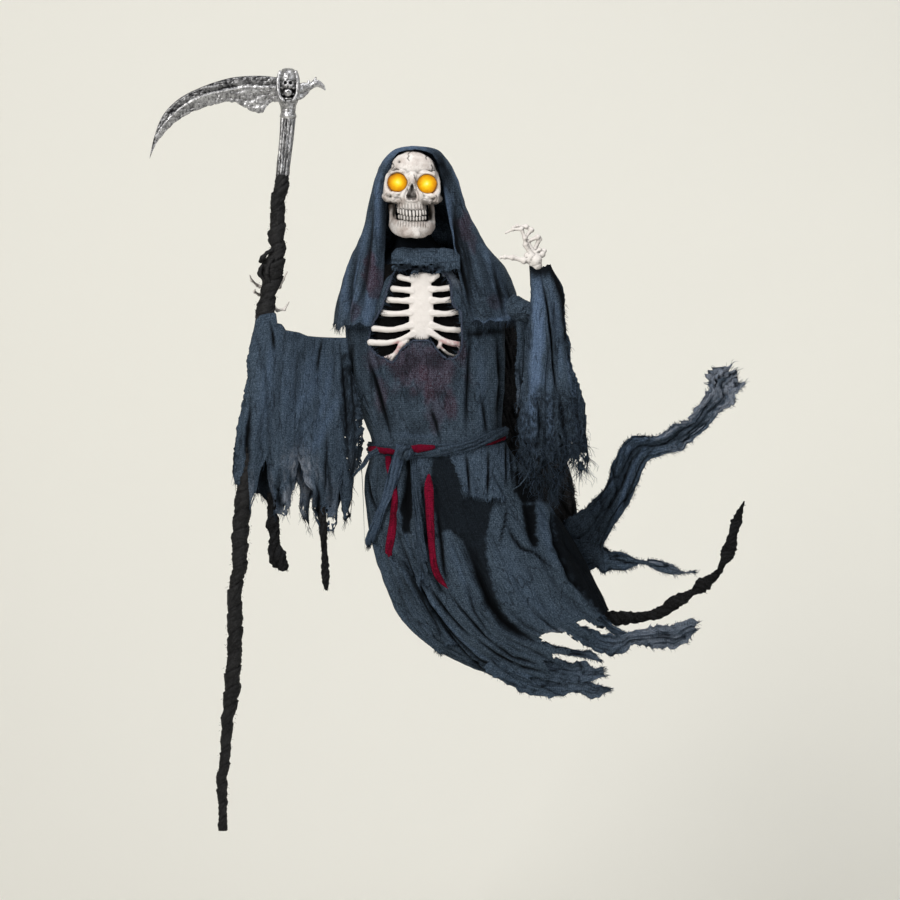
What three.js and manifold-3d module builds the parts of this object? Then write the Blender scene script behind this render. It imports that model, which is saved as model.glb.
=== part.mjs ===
// A hanging grim reaper figure, about life size: a moulded skull with glowing eyes and a moulded
// rib cage in a torn gauze robe with a hooded cape, a sash and a ribbon round the waist, one hand
// raised, and a wrapped scythe in the other. The robe's skirt and its tails sweep to one side.
// Millimetres. X runs to the viewer's right, Y away from the viewer, Z up. The origin is the crown
// of the hood, where the figure hangs.
import * as THREE from "three";
import { mergeVertices } from "three/addons/utils/BufferGeometryUtils.js";
import Module from "manifold-3d";

const wasm = await Module();
wasm.setup();

// Driving dimensions
const GAP = 0.4; // between neighbouring pieces
const SKULL_TURN_DEGREES = 4; // the head leans towards the viewer's right
const BROW_CENTRE = [-2, -12, -90]; // the point between the eyes
const EYE_RADIUS = 22;
const EYE_ROOM = 5; // between a lens and the rim of its socket
const EYE_SPACING = 72;
const CHEST_CENTRE_X = 21;
const CHEST_FLOOR_Y = -58; // the lining behind the ribs
const RIB_FRONT_Y = -84;
const SCYTHE_Y = -200; // the plane that the scythe hangs in
const SHAFT_FOOT_Z = -1650;
const BLADE_THICKNESS = 11;
const CAPE_THICKNESS = 5;
const STRIP_THICKNESS = 7; // of a torn tail
const LINING_THICKNESS = 4;
const FAR_FRONT_Y = -400; // in front of everything

// Colours
const BLUE_GAUZE = { color: 0x3b4a58, roughness: 0.95, metalness: 0 };
const BLACK_GAUZE = { color: 0x17181b, roughness: 0.95, metalness: 0 };
const CRIMSON_CLOTH = { color: 0x8c1038, roughness: 0.85, metalness: 0 };
const BONE = { color: 0xe2dacb, roughness: 0.55, metalness: 0 };
const AMBER_LENS = { color: 0xffa514, roughness: 0.3, metalness: 0 };
const OLD_SILVER = { color: 0x85868a, roughness: 0.4, metalness: 0.8 };
const BLACK_WRAP = { color: 0x1c1d20, roughness: 0.8, metalness: 0 };

const clamp = THREE.MathUtils.clamp;
const lerp = THREE.MathUtils.lerp;
const smooth = THREE.MathUtils.smoothstep;

// A smooth curve through rows of numbers. Its argument runs from 0 at the first row to 1 at the last.
function through(rows) {
  const last = rows.length - 1;
  return (t) => {
    const s = clamp(t, 0, 1) * last;
    const i = Math.min(Math.floor(s), last - 1);
    const f = s - i;
    const near = [i - 1, i, i + 1, i + 2].map((k) => rows[clamp(k, 0, last)]);
    return rows[0].map((_, c) => {
      const [a, b, d, e] = near.map((row) => row[c]);
      const bend = (2 * a - 5 * b + 4 * d - e) * f + (3 * b - a - 3 * d + e) * f * f;
      return 0.5 * (2 * b + (d - a) * f + bend * f);
    });
  };
}

// Triangles that fill a ring of n points, zigzag from its first and last point to the middle.
function zigzag(n) {
  const triangles = [];
  let [a, b] = [0, n - 1];
  while (b - a > 1) {
    triangles.push([a, a + 1, b]);
    a++;
    if (b - a > 1) triangles.push([a, b - 1, b]);
    b--;
  }
  return triangles;
}

// A closed solid through rings of equal point count, filled at both ends or joined end to end.
function loft(rings, joined = false) {
  const n = rings[0].length;
  const index = [];
  const spans = joined ? rings.length : rings.length - 1;
  for (let i = 0; i < spans; i++) {
    const a = i * n;
    const b = ((i + 1) % rings.length) * n;
    for (let j = 0; j < n; j++) {
      const k = (j + 1) % n;
      index.push(a + j, a + k, b + k, a + j, b + k, b + j);
    }
  }
  if (!joined) {
    const end = (rings.length - 1) * n;
    zigzag(n).forEach(([a, b, c]) => index.push(a, c, b, end + a, end + b, end + c));
  }
  const geometry = new THREE.BufferGeometry();
  geometry.setAttribute("position", new THREE.Float32BufferAttribute(rings.flat(2), 3));
  geometry.setIndex(index);
  return solid(geometry);
}

// A three.js geometry as a solid that can be joined and cut.
function solid(geometry) {
  const bare = geometry.clone();
  bare.deleteAttribute("normal");
  bare.deleteAttribute("uv");
  const merged = mergeVertices(bare, 1e-4);
  const triVerts = new Uint32Array(merged.index.array);
  const vertProperties = new Float32Array(merged.attributes.position.array);
  const made = () => new wasm.Manifold(new wasm.Mesh({ numProp: 3, vertProperties, triVerts }));
  const first = made();
  if (first.volume() > 0) return first;
  for (let i = 0; i < triVerts.length; i += 3) {
    [triVerts[i + 1], triVerts[i + 2]] = [triVerts[i + 2], triVerts[i + 1]];
  }
  return made();
}

function joinedUp(solids) {
  return solids.reduce((all, next) => all.add(next));
}

// The largest single body of a solid, without the crumbs that a cut leaves.
function largest(made) {
  return made.decompose().sort((a, b) => b.volume() - a.volume())[0];
}

function meshOf(name, made, look) {
  const { numProp, vertProperties, triVerts } = made.getMesh();
  const geometry = new THREE.BufferGeometry();
  const positions = new Float32Array((vertProperties.length / numProp) * 3);
  for (let i = 0; i < positions.length / 3; i++) {
    positions.set(vertProperties.subarray(i * numProp, i * numProp + 3), i * 3);
  }
  geometry.setAttribute("position", new THREE.BufferAttribute(positions, 3));
  geometry.setIndex(new THREE.BufferAttribute(triVerts, 1));
  geometry.computeVertexNormals();
  const mesh = new THREE.Mesh(geometry, new THREE.MeshStandardMaterial(look));
  mesh.name = name;
  return mesh;
}

function ball([x, y, z], [rx, ry, rz], across = 10, down = 7) {
  const geometry = new THREE.SphereGeometry(1, across, down);
  geometry.scale(rx, rz, ry).rotateX(Math.PI / 2).translate(x, y, z);
  return solid(geometry);
}

// The direction of a curve at t.
function heading(path, t, step) {
  const [before, after] = [path(t - step), path(t + step)];
  return new THREE.Vector3(...[0, 1, 2].map((c) => after[c] - before[c])).normalize();
}

// A rod along points [x, y, z, half width, half depth], with a rounded section of a few sides.
// The section's width lies in the plane of the path and Z, and its depth along Y.
function rod(points, sides = 8, steps = points.length) {
  const path = through(points);
  const rings = [];
  for (let i = 0; i < steps; i++) {
    const t = i / (steps - 1);
    const [x, y, z, halfWidth, halfDepth] = path(t);
    const along = heading(path, t, 0.01);
    const side = new THREE.Vector3(0, 1, 0).cross(along);
    if (side.length() < 0.2) side.set(1, 0, 0);
    side.normalize();
    const depth = new THREE.Vector3().crossVectors(along, side).normalize();
    rings.push(
      Array.from({ length: sides }, (_, k) => {
        const angle = (2 * Math.PI * k) / sides;
        return new THREE.Vector3(x, y, z)
          .addScaledVector(side, halfWidth * Math.cos(angle))
          .addScaledVector(depth, halfDepth * Math.sin(angle))
          .toArray();
      }),
    );
  }
  return loft(rings);
}

// A flat outline of [x, z] points, cut out of a plate that runs from frontY back to backY.
function plate(outline, frontY, backY) {
  const shape = new THREE.Shape(outline.map(([x, z]) => new THREE.Vector2(x, z)));
  const geometry = new THREE.ExtrudeGeometry(shape, { depth: backY - frontY, bevelEnabled: false });
  geometry.rotateX(Math.PI / 2).translate(0, backY, 0);
  return solid(geometry);
}

// The robe is a tube whose sections turn from level at the neck to nearly upright at the hem.
// Each row: left edge x, z; right edge x, z; half depth; y of the middle.
const ROBE_SECTIONS = [
  [-36, -190, 34, -190, 27, 25],
  [-50, -236, 62, -236, 42, 14],
  [-92, -281, 138, -281, 58, 4],
  [-160, -373, 211, -368, 78, 2],
  [-165, -457, 230, -457, 88, 0],
  [-152, -590, 230, -586, 86, 0],
  [-109, -711, 220, -704, 76, 0],
  [-126, -813, 288, -808, 86, 5],
  [-116, -929, 361, -910, 98, 10],
  [-85, -1031, 416, -1002, 102, 14],
  [-36, -1147, 450, -1070, 96, 16],
  [65, -1227, 470, -1112, 82, 16],
  [189, -1285, 480, -1135, 64, 14],
  [278, -1326, 486, -1152, 46, 12],
];
const robeSection = through(ROBE_SECTIONS);

// Hanging folds: [points x, z from top to bottom], depth, half width.
const ROBE_CREASES = [
  { points: [[-112, -515], [-78, -620], [-49, -716]], depth: 9, width: 11 },
  { points: [[41, -632], [66, -714]], depth: 7, width: 10 },
  { points: [[138, -457], [130, -700]], depth: 10, width: 12 },
  { points: [[168, -610], [180, -700]], depth: 6, width: 9 },
  { points: [[128, -740], [138, -850]], depth: 8, width: 10 },
  { points: [[180, -728], [182, -840]], depth: 8, width: 10 },
  { points: [[-4, -800], [-2, -900], [24, -1036], [86, -1150], [180, -1266]], depth: 14, width: 16 },
  { points: [[34, -1040], [95, -1133], [186, -1196]], depth: 12, width: 14 },
  { points: [[-90, -960], [-36, -1040], [40, -1120], [130, -1205], [250, -1290]], depth: 12, width: 14 },
  { points: [[120, -800], [176, -900], [176, -983], [220, -1133], [278, -1196]], depth: 20, width: 22 },
  { points: [[228, -895], [231, -931], [272, -975], [334, -1021], [390, -1052]], depth: 12, width: 14 },
];

function distanceTo(points, x, z) {
  let best = Infinity;
  for (let i = 0; i + 1 < points.length; i++) {
    const [ax, az] = points[i];
    const [bx, bz] = points[i + 1];
    const [dx, dz] = [bx - ax, bz - az];
    const t = clamp(((x - ax) * dx + (z - az) * dz) / (dx * dx + dz * dz), 0, 1);
    best = Math.min(best, Math.hypot(x - ax - t * dx, z - az - t * dz));
  }
  return best;
}

function creased(creases, x, z) {
  return creases.reduce((sum, { points, depth, width }) => {
    const d = distanceTo(points, x, z) / width;
    return sum + depth * (Math.exp(-d * d) - 0.35 * Math.exp(-((d - 1.9) ** 2)));
  }, 0);
}

const BACK_FOLDS = 6;
const BACK_FOLD_DEPTH = 11;
const BELT_Z = -722;
const BELT_PINCH = 60;

// Folds die out at the shoulders and under the belt.
function gathered(z) {
  return smooth(-z, 330, 430) * (1 - Math.exp(-(((z - BELT_Z) / BELT_PINCH) ** 2)));
}

// A point of the robe: u goes once round, from the left edge over the front to the right edge and
// back behind; v goes from the neck to the hem; lift moves it out of the cloth.
function robePoint(u, v, lift = 0) {
  const [lx, lz, rx, rz, halfDepth, middleY] = robeSection(v);
  const turn = 2 * Math.PI * u;
  const across = -Math.cos(turn);
  const forward = Math.sin(turn);
  const halfWidth = Math.hypot(rx - lx, rz - lz) / 2;
  const alongX = (rx - lx) / (2 * halfWidth);
  const alongZ = (rz - lz) / (2 * halfWidth);
  const x = (lx + rx) / 2 + alongX * halfWidth * across;
  const z = (lz + rz) / 2 + alongZ * halfWidth * across;
  let fold = 0;
  if (forward > 0) fold = -creased(ROBE_CREASES, x, z) * smooth(forward, 0, 0.35);
  else fold = BACK_FOLD_DEPTH * Math.sin(2 * Math.PI * BACK_FOLDS * u + 3 * v) * -forward;
  fold *= gathered(z);
  const normal = new THREE.Vector2(across / halfWidth, forward / halfDepth).normalize();
  const out = (fold + lift) * normal.x;
  return [x + alongX * out, middleY - halfDepth * forward - (fold + lift) * normal.y, z + alongZ * out];
}

// How far down the robe a height is reached, at u.
function robeAtHeight(u, z) {
  let [low, high] = [0, 1];
  for (let i = 0; i < 30; i++) {
    const v = (low + high) / 2;
    if (robePoint(u, v)[2] > z) low = v;
    else high = v;
  }
  return (low + high) / 2;
}

// The u and v of a point on the robe's front, from its x and z.
function robeFrontAt(x, z) {
  let [low, high] = [0, 0.5];
  for (let i = 0; i < 30; i++) {
    const u = (low + high) / 2;
    if (robePoint(u, robeAtHeight(u, z))[0] < x) low = u;
    else high = u;
  }
  const u = (low + high) / 2;
  return [u, robeAtHeight(u, z)];
}

const TORN_HEM = 0.018;
const ROBE_AROUND = 30;
const ROBE_ROWS = 17;

// More points stand at the two edges than in the middle of the front and the back.
const FRONT_CROWDING = -0.02;
function aroundRobe(k) {
  const even = k / ROBE_AROUND;
  return even + FRONT_CROWDING * Math.sin(4 * Math.PI * even);
}

function robeTube(lift) {
  const rings = [];
  for (let i = 0; i <= ROBE_ROWS; i++) {
    const ring = [];
    for (let k = 0; k < ROBE_AROUND; k++) {
      const torn = i === ROBE_ROWS ? TORN_HEM * (Math.cos(9 * k) - 1) : 0;
      ring.push(robePoint(aroundRobe(k), i / ROBE_ROWS + torn, lift));
    }
    rings.push(ring);
  }
  return loft(rings);
}

// A torn strip of cloth along points [x, y, z, half width]: a lens section, a few mm thick,
// with a ripple along it.
function strip(points, steps, ripple = 4) {
  const path = through(points);
  const rings = [];
  for (let i = 0; i < steps; i++) {
    const t = i / (steps - 1);
    const [x, y, z, halfWidth] = path(t);
    const along = heading(path, t, 0.02);
    const back = new THREE.Vector3(0, 1, 0).addScaledVector(along, -along.y).normalize();
    const side = new THREE.Vector3().crossVectors(along, back);
    const normal = new THREE.Vector3().crossVectors(side, along);
    const wave = ripple * Math.sin(2.3 * i);
    const width = halfWidth * (1 + 0.08 * Math.cos(2.9 * i));
    const half = STRIP_THICKNESS / 2;
    const section = [[-1, 0], [-0.5, -half], [0.4, -half], [1, 0], [0.5, half], [-0.4, half]];
    rings.push(
      section.map(([s, d]) =>
        new THREE.Vector3(x, y, z)
          .addScaledVector(side, s * width)
          .addScaledVector(normal, d + wave * Math.cos(2.2 * s))
          .toArray(),
      ),
    );
  }
  return loft(rings);
}

const HEM_STRIPS = [
  [[440, 16, -1095, 16], [496, 8, -1166, 17], [532, 4, -1197, 16], [552, 2, -1196, 8]],
  [[372, 6, -1150, 24], [428, 2, -1195, 20], [477, 0, -1218, 18], [532, 2, -1203, 17], [598, -2, -1188, 28],
    [668, 4, -1174, 24], [700, 6, -1168, 7]],
  [[280, 0, -1215, 9], [356, -4, -1220, 9], [404, -8, -1232, 10], [450, -4, -1246, 3]],
  [[290, 10, -1262, 30], [356, 8, -1273, 26], [416, 4, -1275, 17], [467, 2, -1270, 10]],
  [[250, 14, -1300, 30], [332, 8, -1312, 26], [404, 2, -1307, 16], [479, 6, -1321, 10]],
];

// The torn hole over the ribs, [x, z] once round.
const TEAR = [
  [-48, -300], [-66, -340], [-80, -397], [-97, -433], [-106, -469], [-99, -494], [-73, -513],
  [-48, -523], [-31, -499], [-2, -474], [41, -474], [58, -494], [82, -518], [109, -508], [119, -482],
  [114, -402], [90, -336], [65, -306], [21, -296],
];

// The outline moved inwards, or outwards where by is negative.
function inset(outline, by) {
  const n = outline.length;
  const turned = Math.sign(THREE.ShapeUtils.area(outline.map(([x, z]) => new THREE.Vector2(x, z))));
  const inward = (i) => {
    const [ax, az] = outline[i % n];
    const [bx, bz] = outline[(i + 1) % n];
    return new THREE.Vector2(az - bz, bx - ax).multiplyScalar(turned).normalize();
  };
  return outline.map(([x, z], i) => {
    const before = inward(i + n - 1);
    const corner = before.clone().add(inward(i)).normalize();
    corner.multiplyScalar(by / Math.max(corner.dot(before), 0.5));
    return [x + corner.x, z + corner.y];
  });
}

const LINING_INSET = 1.5;

function makeRobe() {
  const strips = HEM_STRIPS.map((points) => strip(points, 5));
  const cloth = joinedUp([robeTube(0), ...strips]);
  return largest(cloth.subtract(plate(TEAR, FAR_FRONT_Y, CHEST_FLOOR_Y)));
}

function makeLining() {
  const backY = CHEST_FLOOR_Y - GAP;
  return plate(inset(TEAR, LINING_INSET), backY - LINING_THICKNESS, backY);
}

// Ribs: [z at the breastbone, x at the outer end, z at the outer end], left then right.
const RIBS = [
  [-319, -40, -312], [-351, -56, -344], [-378, -66, -370], [-407, -80, -402], [-433, -95, -445],
  [-457, -103, -478], [-324, 62, -314], [-345, 84, -341], [-378, 91, -373], [-404, 110, -399],
  [-433, 112, -453], [-457, 114, -484],
];
const COSTAL_ARCHES = [
  [[4, -462], [-26, -476], [-50, -496], [-66, -504]],
  [[38, -462], [62, -476], [84, -500]],
];
const BREASTBONE = [[-302, 24], [-318, 29], [-345, 26], [-378, 29], [-425, 31], [-450, 27], [-470, 17]];
const RIB_HALF = [6, 4]; // half height and half depth
const RIB_ROOT = 12; // where a rib starts, from the middle of the breastbone
const RIB_BACK_Y = CHEST_FLOOR_Y - 12; // a rib's middle stays in front of this

function ribMiddle(x) {
  return Math.min(RIB_FRONT_Y + 0.0018 * (x - CHEST_CENTRE_X) ** 2, RIB_BACK_Y);
}

function makeRibs() {
  const backY = CHEST_FLOOR_Y - LINING_THICKNESS - 2 * GAP;
  const middleY = (RIB_FRONT_Y + backY) / 2;
  const breastbone = BREASTBONE.map(([z, half]) => [CHEST_CENTRE_X, middleY, z, half, backY - middleY]);
  const ribs = RIBS.map(([z, endX, endZ]) => {
    const start = CHEST_CENTRE_X + Math.sign(endX - CHEST_CENTRE_X) * RIB_ROOT;
    const points = [0, 0.5, 1].map((t) => {
      const x = lerp(start, endX, t);
      return [x, ribMiddle(x), lerp(z, endZ, t * t) - 3 * Math.sin(Math.PI * t), ...RIB_HALF];
    });
    return rod(points, 4);
  });
  const arches = COSTAL_ARCHES.map((points) =>
    rod(points.map(([x, z]) => [x, ribMiddle(x), z, ...RIB_HALF]), 4),
  );
  return joinedUp([rod(breastbone, 6), ...ribs, ...arches]);
}

// The hooded cape is a bell that is open in front. Rows from the crown to the hem:
// left x, right x, z, front half depth, back half depth.
const CAPE_SECTIONS = [
  [-8, 10, 0, 12, 12],
  [-40, 52, -7, 56, 58],
  [-67, 79, -25, 86, 88],
  [-86, 99, -56, 104, 102],
  [-98, 114, -94, 110, 110],
  [-110, 128, -143, 112, 113],
  [-119, 152, -191, 112, 114],
  [-138, 179, -240, 112, 114],
  [-160, 218, -288, 114, 112],
  [-172, 240, -336, 116, 112],
  [-186, 252, -385, 117, 112],
  [-196, 261, -426, 118, 114],
];
const capeSection = through(CAPE_SECTIONS);
const CAPE_CREASES = [
  { points: [[104, -150], [116, -240], [132, -320], [150, -420]], depth: 10, width: 12 },
  { points: [[-92, -160], [-100, -260], [-118, -360]], depth: 8, width: 12 },
  { points: [[190, -270], [205, -350], [215, -420]], depth: 7, width: 12 },
];
const CAPE_MIDDLE_Y = 2;
const CAPE_SQUARENESS = 0.85;
const CAPE_BACK_FOLD = 7;
const CAPE_TORN_HEM = 7;
const CAPE_AROUND = 20;
const CAPE_ROWS = 9;

function capePoint(turn, t, lift) {
  const [lx, rx, z, front, back] = capeSection(t);
  const squared = (value) => Math.sign(value) * Math.abs(value) ** CAPE_SQUARENESS;
  const [c, s] = [squared(Math.cos(turn)), squared(Math.sin(turn))];
  const halfWidth = (rx - lx) / 2;
  const depth = s < 0 ? front : back;
  const x = (lx + rx) / 2 + halfWidth * c;
  let out = lift + CAPE_BACK_FOLD * smooth(t, 0.45, 1) * Math.sin(7 * turn) * smooth(s, -0.2, 0.3);
  if (s < 0) out -= creased(CAPE_CREASES, x, z);
  const normal = new THREE.Vector2(c / halfWidth, s / depth).normalize();
  return [x + out * normal.x, CAPE_MIDDLE_Y + depth * s + out * normal.y, z + lift * (1 - t)];
}

// The bell's outer surface moved out by lift, and its foot carried straight down by more.
function capeBell(lift, more = 0) {
  const rings = [];
  for (let i = 0; i <= CAPE_ROWS; i++) {
    const t = (i / CAPE_ROWS) ** 1.15;
    rings.push(
      Array.from({ length: CAPE_AROUND }, (_, k) => {
        const point = capePoint((2 * Math.PI * k) / CAPE_AROUND, t, lift);
        if (i === CAPE_ROWS) point[2] += CAPE_TORN_HEM * Math.cos(7 * k);
        return point;
      }),
    );
  }
  if (more) rings.push(rings.at(-1).map(([x, y, z]) => [x, y, z - more]));
  return loft(rings);
}

// The face opening, and below it the gap between the two front edges of the cape.
const OPENING = [
  [-3, -13], [-31, -19], [-54, -44], [-68, -82], [-73, -131], [-70, -203], [-65, -281], [-70, -336],
  [-90, -385], [-104, -470], [150, -470], [128, -373], [114, -312], [102, -227], [90, -143], [82, -82],
  [69, -48], [41, -22],
];

function makeCape() {
  const shell = capeBell(0).subtract(capeBell(-CAPE_THICKNESS, 60));
  return largest(shell.subtract(plate(OPENING, FAR_FRONT_Y, CAPE_MIDDLE_Y)));
}

// A band of cloth that lies on the robe between two lifts, along points [u, v, half width in u].
function bandOnRobe(points, steps, low, high, ragged = 0) {
  const path = through(points);
  const rings = [];
  for (let i = 0; i < steps; i++) {
    const t = i / (steps - 1);
    const [u, v, half] = path(t);
    const tip = i === steps - 1 ? ragged : 0;
    const row = [-1, 0, 1];
    rings.push([
      ...row.map((s) => robePoint(u + s * half, v, high)),
      ...row.reverse().map((s) => robePoint(u + s * half, v + tip * s, low)),
    ]);
  }
  return loft(rings);
}

// The belt line, [x, z] over the front; behind, it runs straight from end to end.
const BELT_LINE = [[-106, -722], [-22, -730], [65, -736], [138, -722], [222, -694]];
const beltLine = through(BELT_LINE);
const KNOT_U = 0.175;
const SASH_HALF_HEIGHT = 13;
const RIBBON_HALF_HEIGHT = 6;
const RIBBON_DROP = SASH_HALF_HEIGHT + RIBBON_HALF_HEIGHT + 4.5;

function beltHeight(u) {
  const turn = u - Math.floor(u);
  const across = (1 - Math.cos(2 * Math.PI * turn)) / 2;
  return turn < 0.5 ? beltLine(across)[1] : lerp(BELT_LINE[0][1], BELT_LINE.at(-1)[1], across);
}

// The point of the robe's own facets at a height, on column k, moved out by lift.
function robeColumnAt(k, z, lift) {
  const column = (i) => robePoint(aroundRobe(k), i / ROBE_ROWS);
  let i = 0;
  while (i < ROBE_ROWS - 1 && column(i + 1)[2] > z) i++;
  const [above, below] = [column(i), column(i + 1)];
  const t = (above[2] - z) / (above[2] - below[2]);
  const flat = robePoint(aroundRobe(k), lerp(i, i + 1, t) / ROBE_ROWS);
  const lifted = robePoint(aroundRobe(k), lerp(i, i + 1, t) / ROBE_ROWS, lift);
  return above.map((value, c) => lerp(value, below[c], t) + lifted[c] - flat[c]);
}

function ringOnRobe(drop, halfHeight, low, high) {
  const rings = [];
  for (let k = 0; k < ROBE_AROUND; k++) {
    const z = beltHeight(aroundRobe(k)) - drop;
    const half = halfHeight * (1 + 0.12 * Math.sin(4 * k));
    rings.push([
      robeColumnAt(k, z + half, low),
      robeColumnAt(k, z + half * 0.4, high),
      robeColumnAt(k, z - half * 0.4, high),
      robeColumnAt(k, z - half, low),
    ]);
  }
  return loft(rings, true);
}

// A tail of cloth down the robe's front, along [x, z, half width] points.
function tailOnRobe(points, low, high) {
  const onRobe = points.map(([x, z, half]) => {
    const [u, v] = robeFrontAt(x, z);
    const [right] = robeFrontAt(x + half, z);
    return [u, v, right - u];
  });
  return bandOnRobe(onRobe, 7, low, high, 0.004);
}

const SASH_TAIL = [[-20, -722, 11], [-39, -796, 12], [-68, -869, 11], [-98, -961, 8]];
const RIBBON_TAIL_LEFT = [[-46, -752, 9], [-49, -808, 9], [-41, -869, 10], [-46, -929, 11], [-60, -992, 9]];
const RIBBON_TAIL_RIGHT = [[24, -754, 8], [34, -799, 9], [34, -857, 12], [41, -929, 11], [48, -1002, 11],
  [77, -1070, 8]];

function makeSash() {
  const knotAt = robePoint(KNOT_U, robeAtHeight(KNOT_U, beltHeight(KNOT_U)), 14);
  const knot = ball(knotAt, [17, 10, 15], 10, 6);
  return largest(joinedUp([ringOnRobe(0, SASH_HALF_HEIGHT, 4, 12), tailOnRobe(SASH_TAIL, 12.5, 17), knot]));
}

function makeRibbon() {
  const tails = [RIBBON_TAIL_LEFT, RIBBON_TAIL_RIGHT].map((points) => tailOnRobe(points, 7, 9.5));
  return joinedUp([ringOnRobe(RIBBON_DROP, RIBBON_HALF_HEIGHT, 3.5, 7.5), ...tails]);
}

// The collar lies over the top of the robe, between the edges of the cape.
const COLLAR_TOP_Z = -250;
const COLLAR_FOOT_Z = -306;
const COLLAR_LEFT_X = -50;
const COLLAR_RIGHT_X = 106;

function makeCollar() {
  const steps = 9;
  const rings = [];
  for (let i = 0; i < steps; i++) {
    const s = i / (steps - 1);
    const x = lerp(COLLAR_LEFT_X, COLLAR_RIGHT_X, s);
    const bulge = 10 * Math.sin(Math.PI * s);
    const foot = COLLAR_FOOT_Z + (i % 2 ? 5 : -4);
    rings.push([
      [x, -62 - bulge, COLLAR_TOP_Z],
      [x, -84 - bulge, (COLLAR_TOP_Z + COLLAR_FOOT_Z) / 2],
      [x, -92 - bulge, foot],
      [x, -87 - bulge, foot],
      [x, -79 - bulge, (COLLAR_TOP_Z + COLLAR_FOOT_Z) / 2],
      [x, -57 - bulge, COLLAR_TOP_Z],
    ]);
  }
  return loft(rings);
}

// A hanging sleeve: a flat bag of cloth with a ragged foot. The edges are x at even steps down,
// and middleY and halfDepth are functions of the share across and the share down.
const SLEEVE_FOLDS = 3.4;
const SLEEVE_EDGE = 2.5;

function sleeve({ left, right, topZ, footZ, middleY, halfDepth, folds }) {
  const [across, down] = [8, 8];
  const [leftEdge, rightEdge] = [through(left), through(right)];
  const rings = [];
  for (let j = 0; j <= down; j++) {
    const t = j / down;
    const front = [];
    const back = [];
    for (let i = 0; i <= across; i++) {
      const s = i / across;
      const x = lerp(leftEdge(t)[0], rightEdge(t)[0], s);
      const z = lerp(topZ(s), footZ(s), t);
      const round = Math.sqrt(1 - (2 * s - 1) ** 4);
      const ends = lerp(0.5, 1, smooth(t, 0, 0.12)) * lerp(1, 0.45, smooth(t, 0.6, 1));
      const fold = folds * smooth(t, 0, 0.3) * Math.sin(2 * Math.PI * SLEEVE_FOLDS * s + 1.5 * t);
      const half = Math.max(halfDepth(s, t) * round * ends, SLEEVE_EDGE);
      front.push([x, middleY(s, t) - half + fold, z]);
      back.push([x, middleY(s, t) + half + fold, z]);
    }
    rings.push([...front, ...back.reverse()]);
  }
  return loft(rings);
}

const HOLDING_SLEEVE = {
  left: [[-365], [-394], [-404], [-416], [-426], [-433], [-428]],
  right: [[-165], [-152], [-140], [-128], [-128], [-140]],
  topZ: (s) => lerp(-411, -460, smooth(s, 0, 0.5)),
  footZ: (s) => -862 + 34 * Math.cos(2 * Math.PI * 4.5 * s) - 20 * Math.sin(Math.PI * s),
  middleY: (s) => lerp(-202, -62, smooth(s, 0.1, 1)),
  halfDepth: (s) => lerp(36, 20, s),
  folds: 5,
};
const RAISED_SLEEVE = {
  left: [[286], [276], [276], [261], [259], [252], [244], [240]],
  right: [[334], [351], [368], [375], [387], [404], [419], [411]],
  topZ: () => -295,
  footZ: (s) => lerp(-835, -790, s) + 22 * Math.cos(2 * Math.PI * 3.5 * s),
  middleY: (s, t) => lerp(-96, -130, smooth(t, 0, 0.7)),
  halfDepth: (s, t) => lerp(24, 30, t),
  folds: 4,
};
const RAISED_UPPER_ARM = [[205, -8, -392, 40, 34], [250, -50, -398, 38, 32], [300, -112, -432, 34, 28]];

// The wrapped shaft's path, [x, z, radius], and the silver neck above it.
const SHAFT_LINE = [
  [-313, -82, 18], [-318, -112, 19], [-324, -145, 18], [-325, -203, 22], [-323, -252, 24], [-336, -290, 27],
  [-344, -339, 27], [-353, -397, 24], [-368, -518, 20], [-384, -663, 20], [-400, -808, 21], [-409, -890, 23],
  [-413, -960, 21], [-417, -1020, 20], [-427, -1074, 18], [-428, -1150, 20], [-431, -1230, 20],
  [-435, -1310, 20], [-440, -1345, 19], [-448, -1413, 15], [-455, -1500, 13], [-457, -1570, 12],
  [-457, SHAFT_FOOT_Z - 12, 13],
];
const NECK_LINE = [[-299, 60, 19], [-303, 10, 18], [-309, -40, 17], [-312.5, -78, 17]];
const SHAFT_STEPS = 27;
const WRAP_BULGE = 0.09;

function makeShaft(grow = 0) {
  const path = through(SHAFT_LINE);
  const points = Array.from({ length: SHAFT_STEPS }, (_, i) => {
    const [x, z, radius] = path(i / (SHAFT_STEPS - 1));
    const wound = radius * (1 + WRAP_BULGE * Math.sin(2.4 * i)) + grow;
    return [x, SCYTHE_Y, z, wound, wound];
  });
  const [left, right, low] = [-520, -400, SHAFT_FOOT_Z - 60];
  const belowFoot = [[left, low], [right, low], [right, SHAFT_FOOT_Z], [left, SHAFT_FOOT_Z]];
  return rod(points, 8).subtract(plate(belowFoot, SCYTHE_Y - 60, SCYTHE_Y + 60));
}

function makeNeck() {
  const flutes = 8;
  const rings = [];
  const path = through(NECK_LINE);
  for (let i = 0; i <= 3; i++) {
    const [x, z, radius] = path(i / 3);
    rings.push(
      Array.from({ length: 2 * flutes }, (_, k) => {
        const r = radius - (k % 2 ? 3 : 0);
        const angle = (Math.PI * k) / flutes;
        return [x + r * Math.cos(angle), SCYTHE_Y + r * Math.sin(angle), z];
      }),
    );
  }
  return loft(rings);
}

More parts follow.
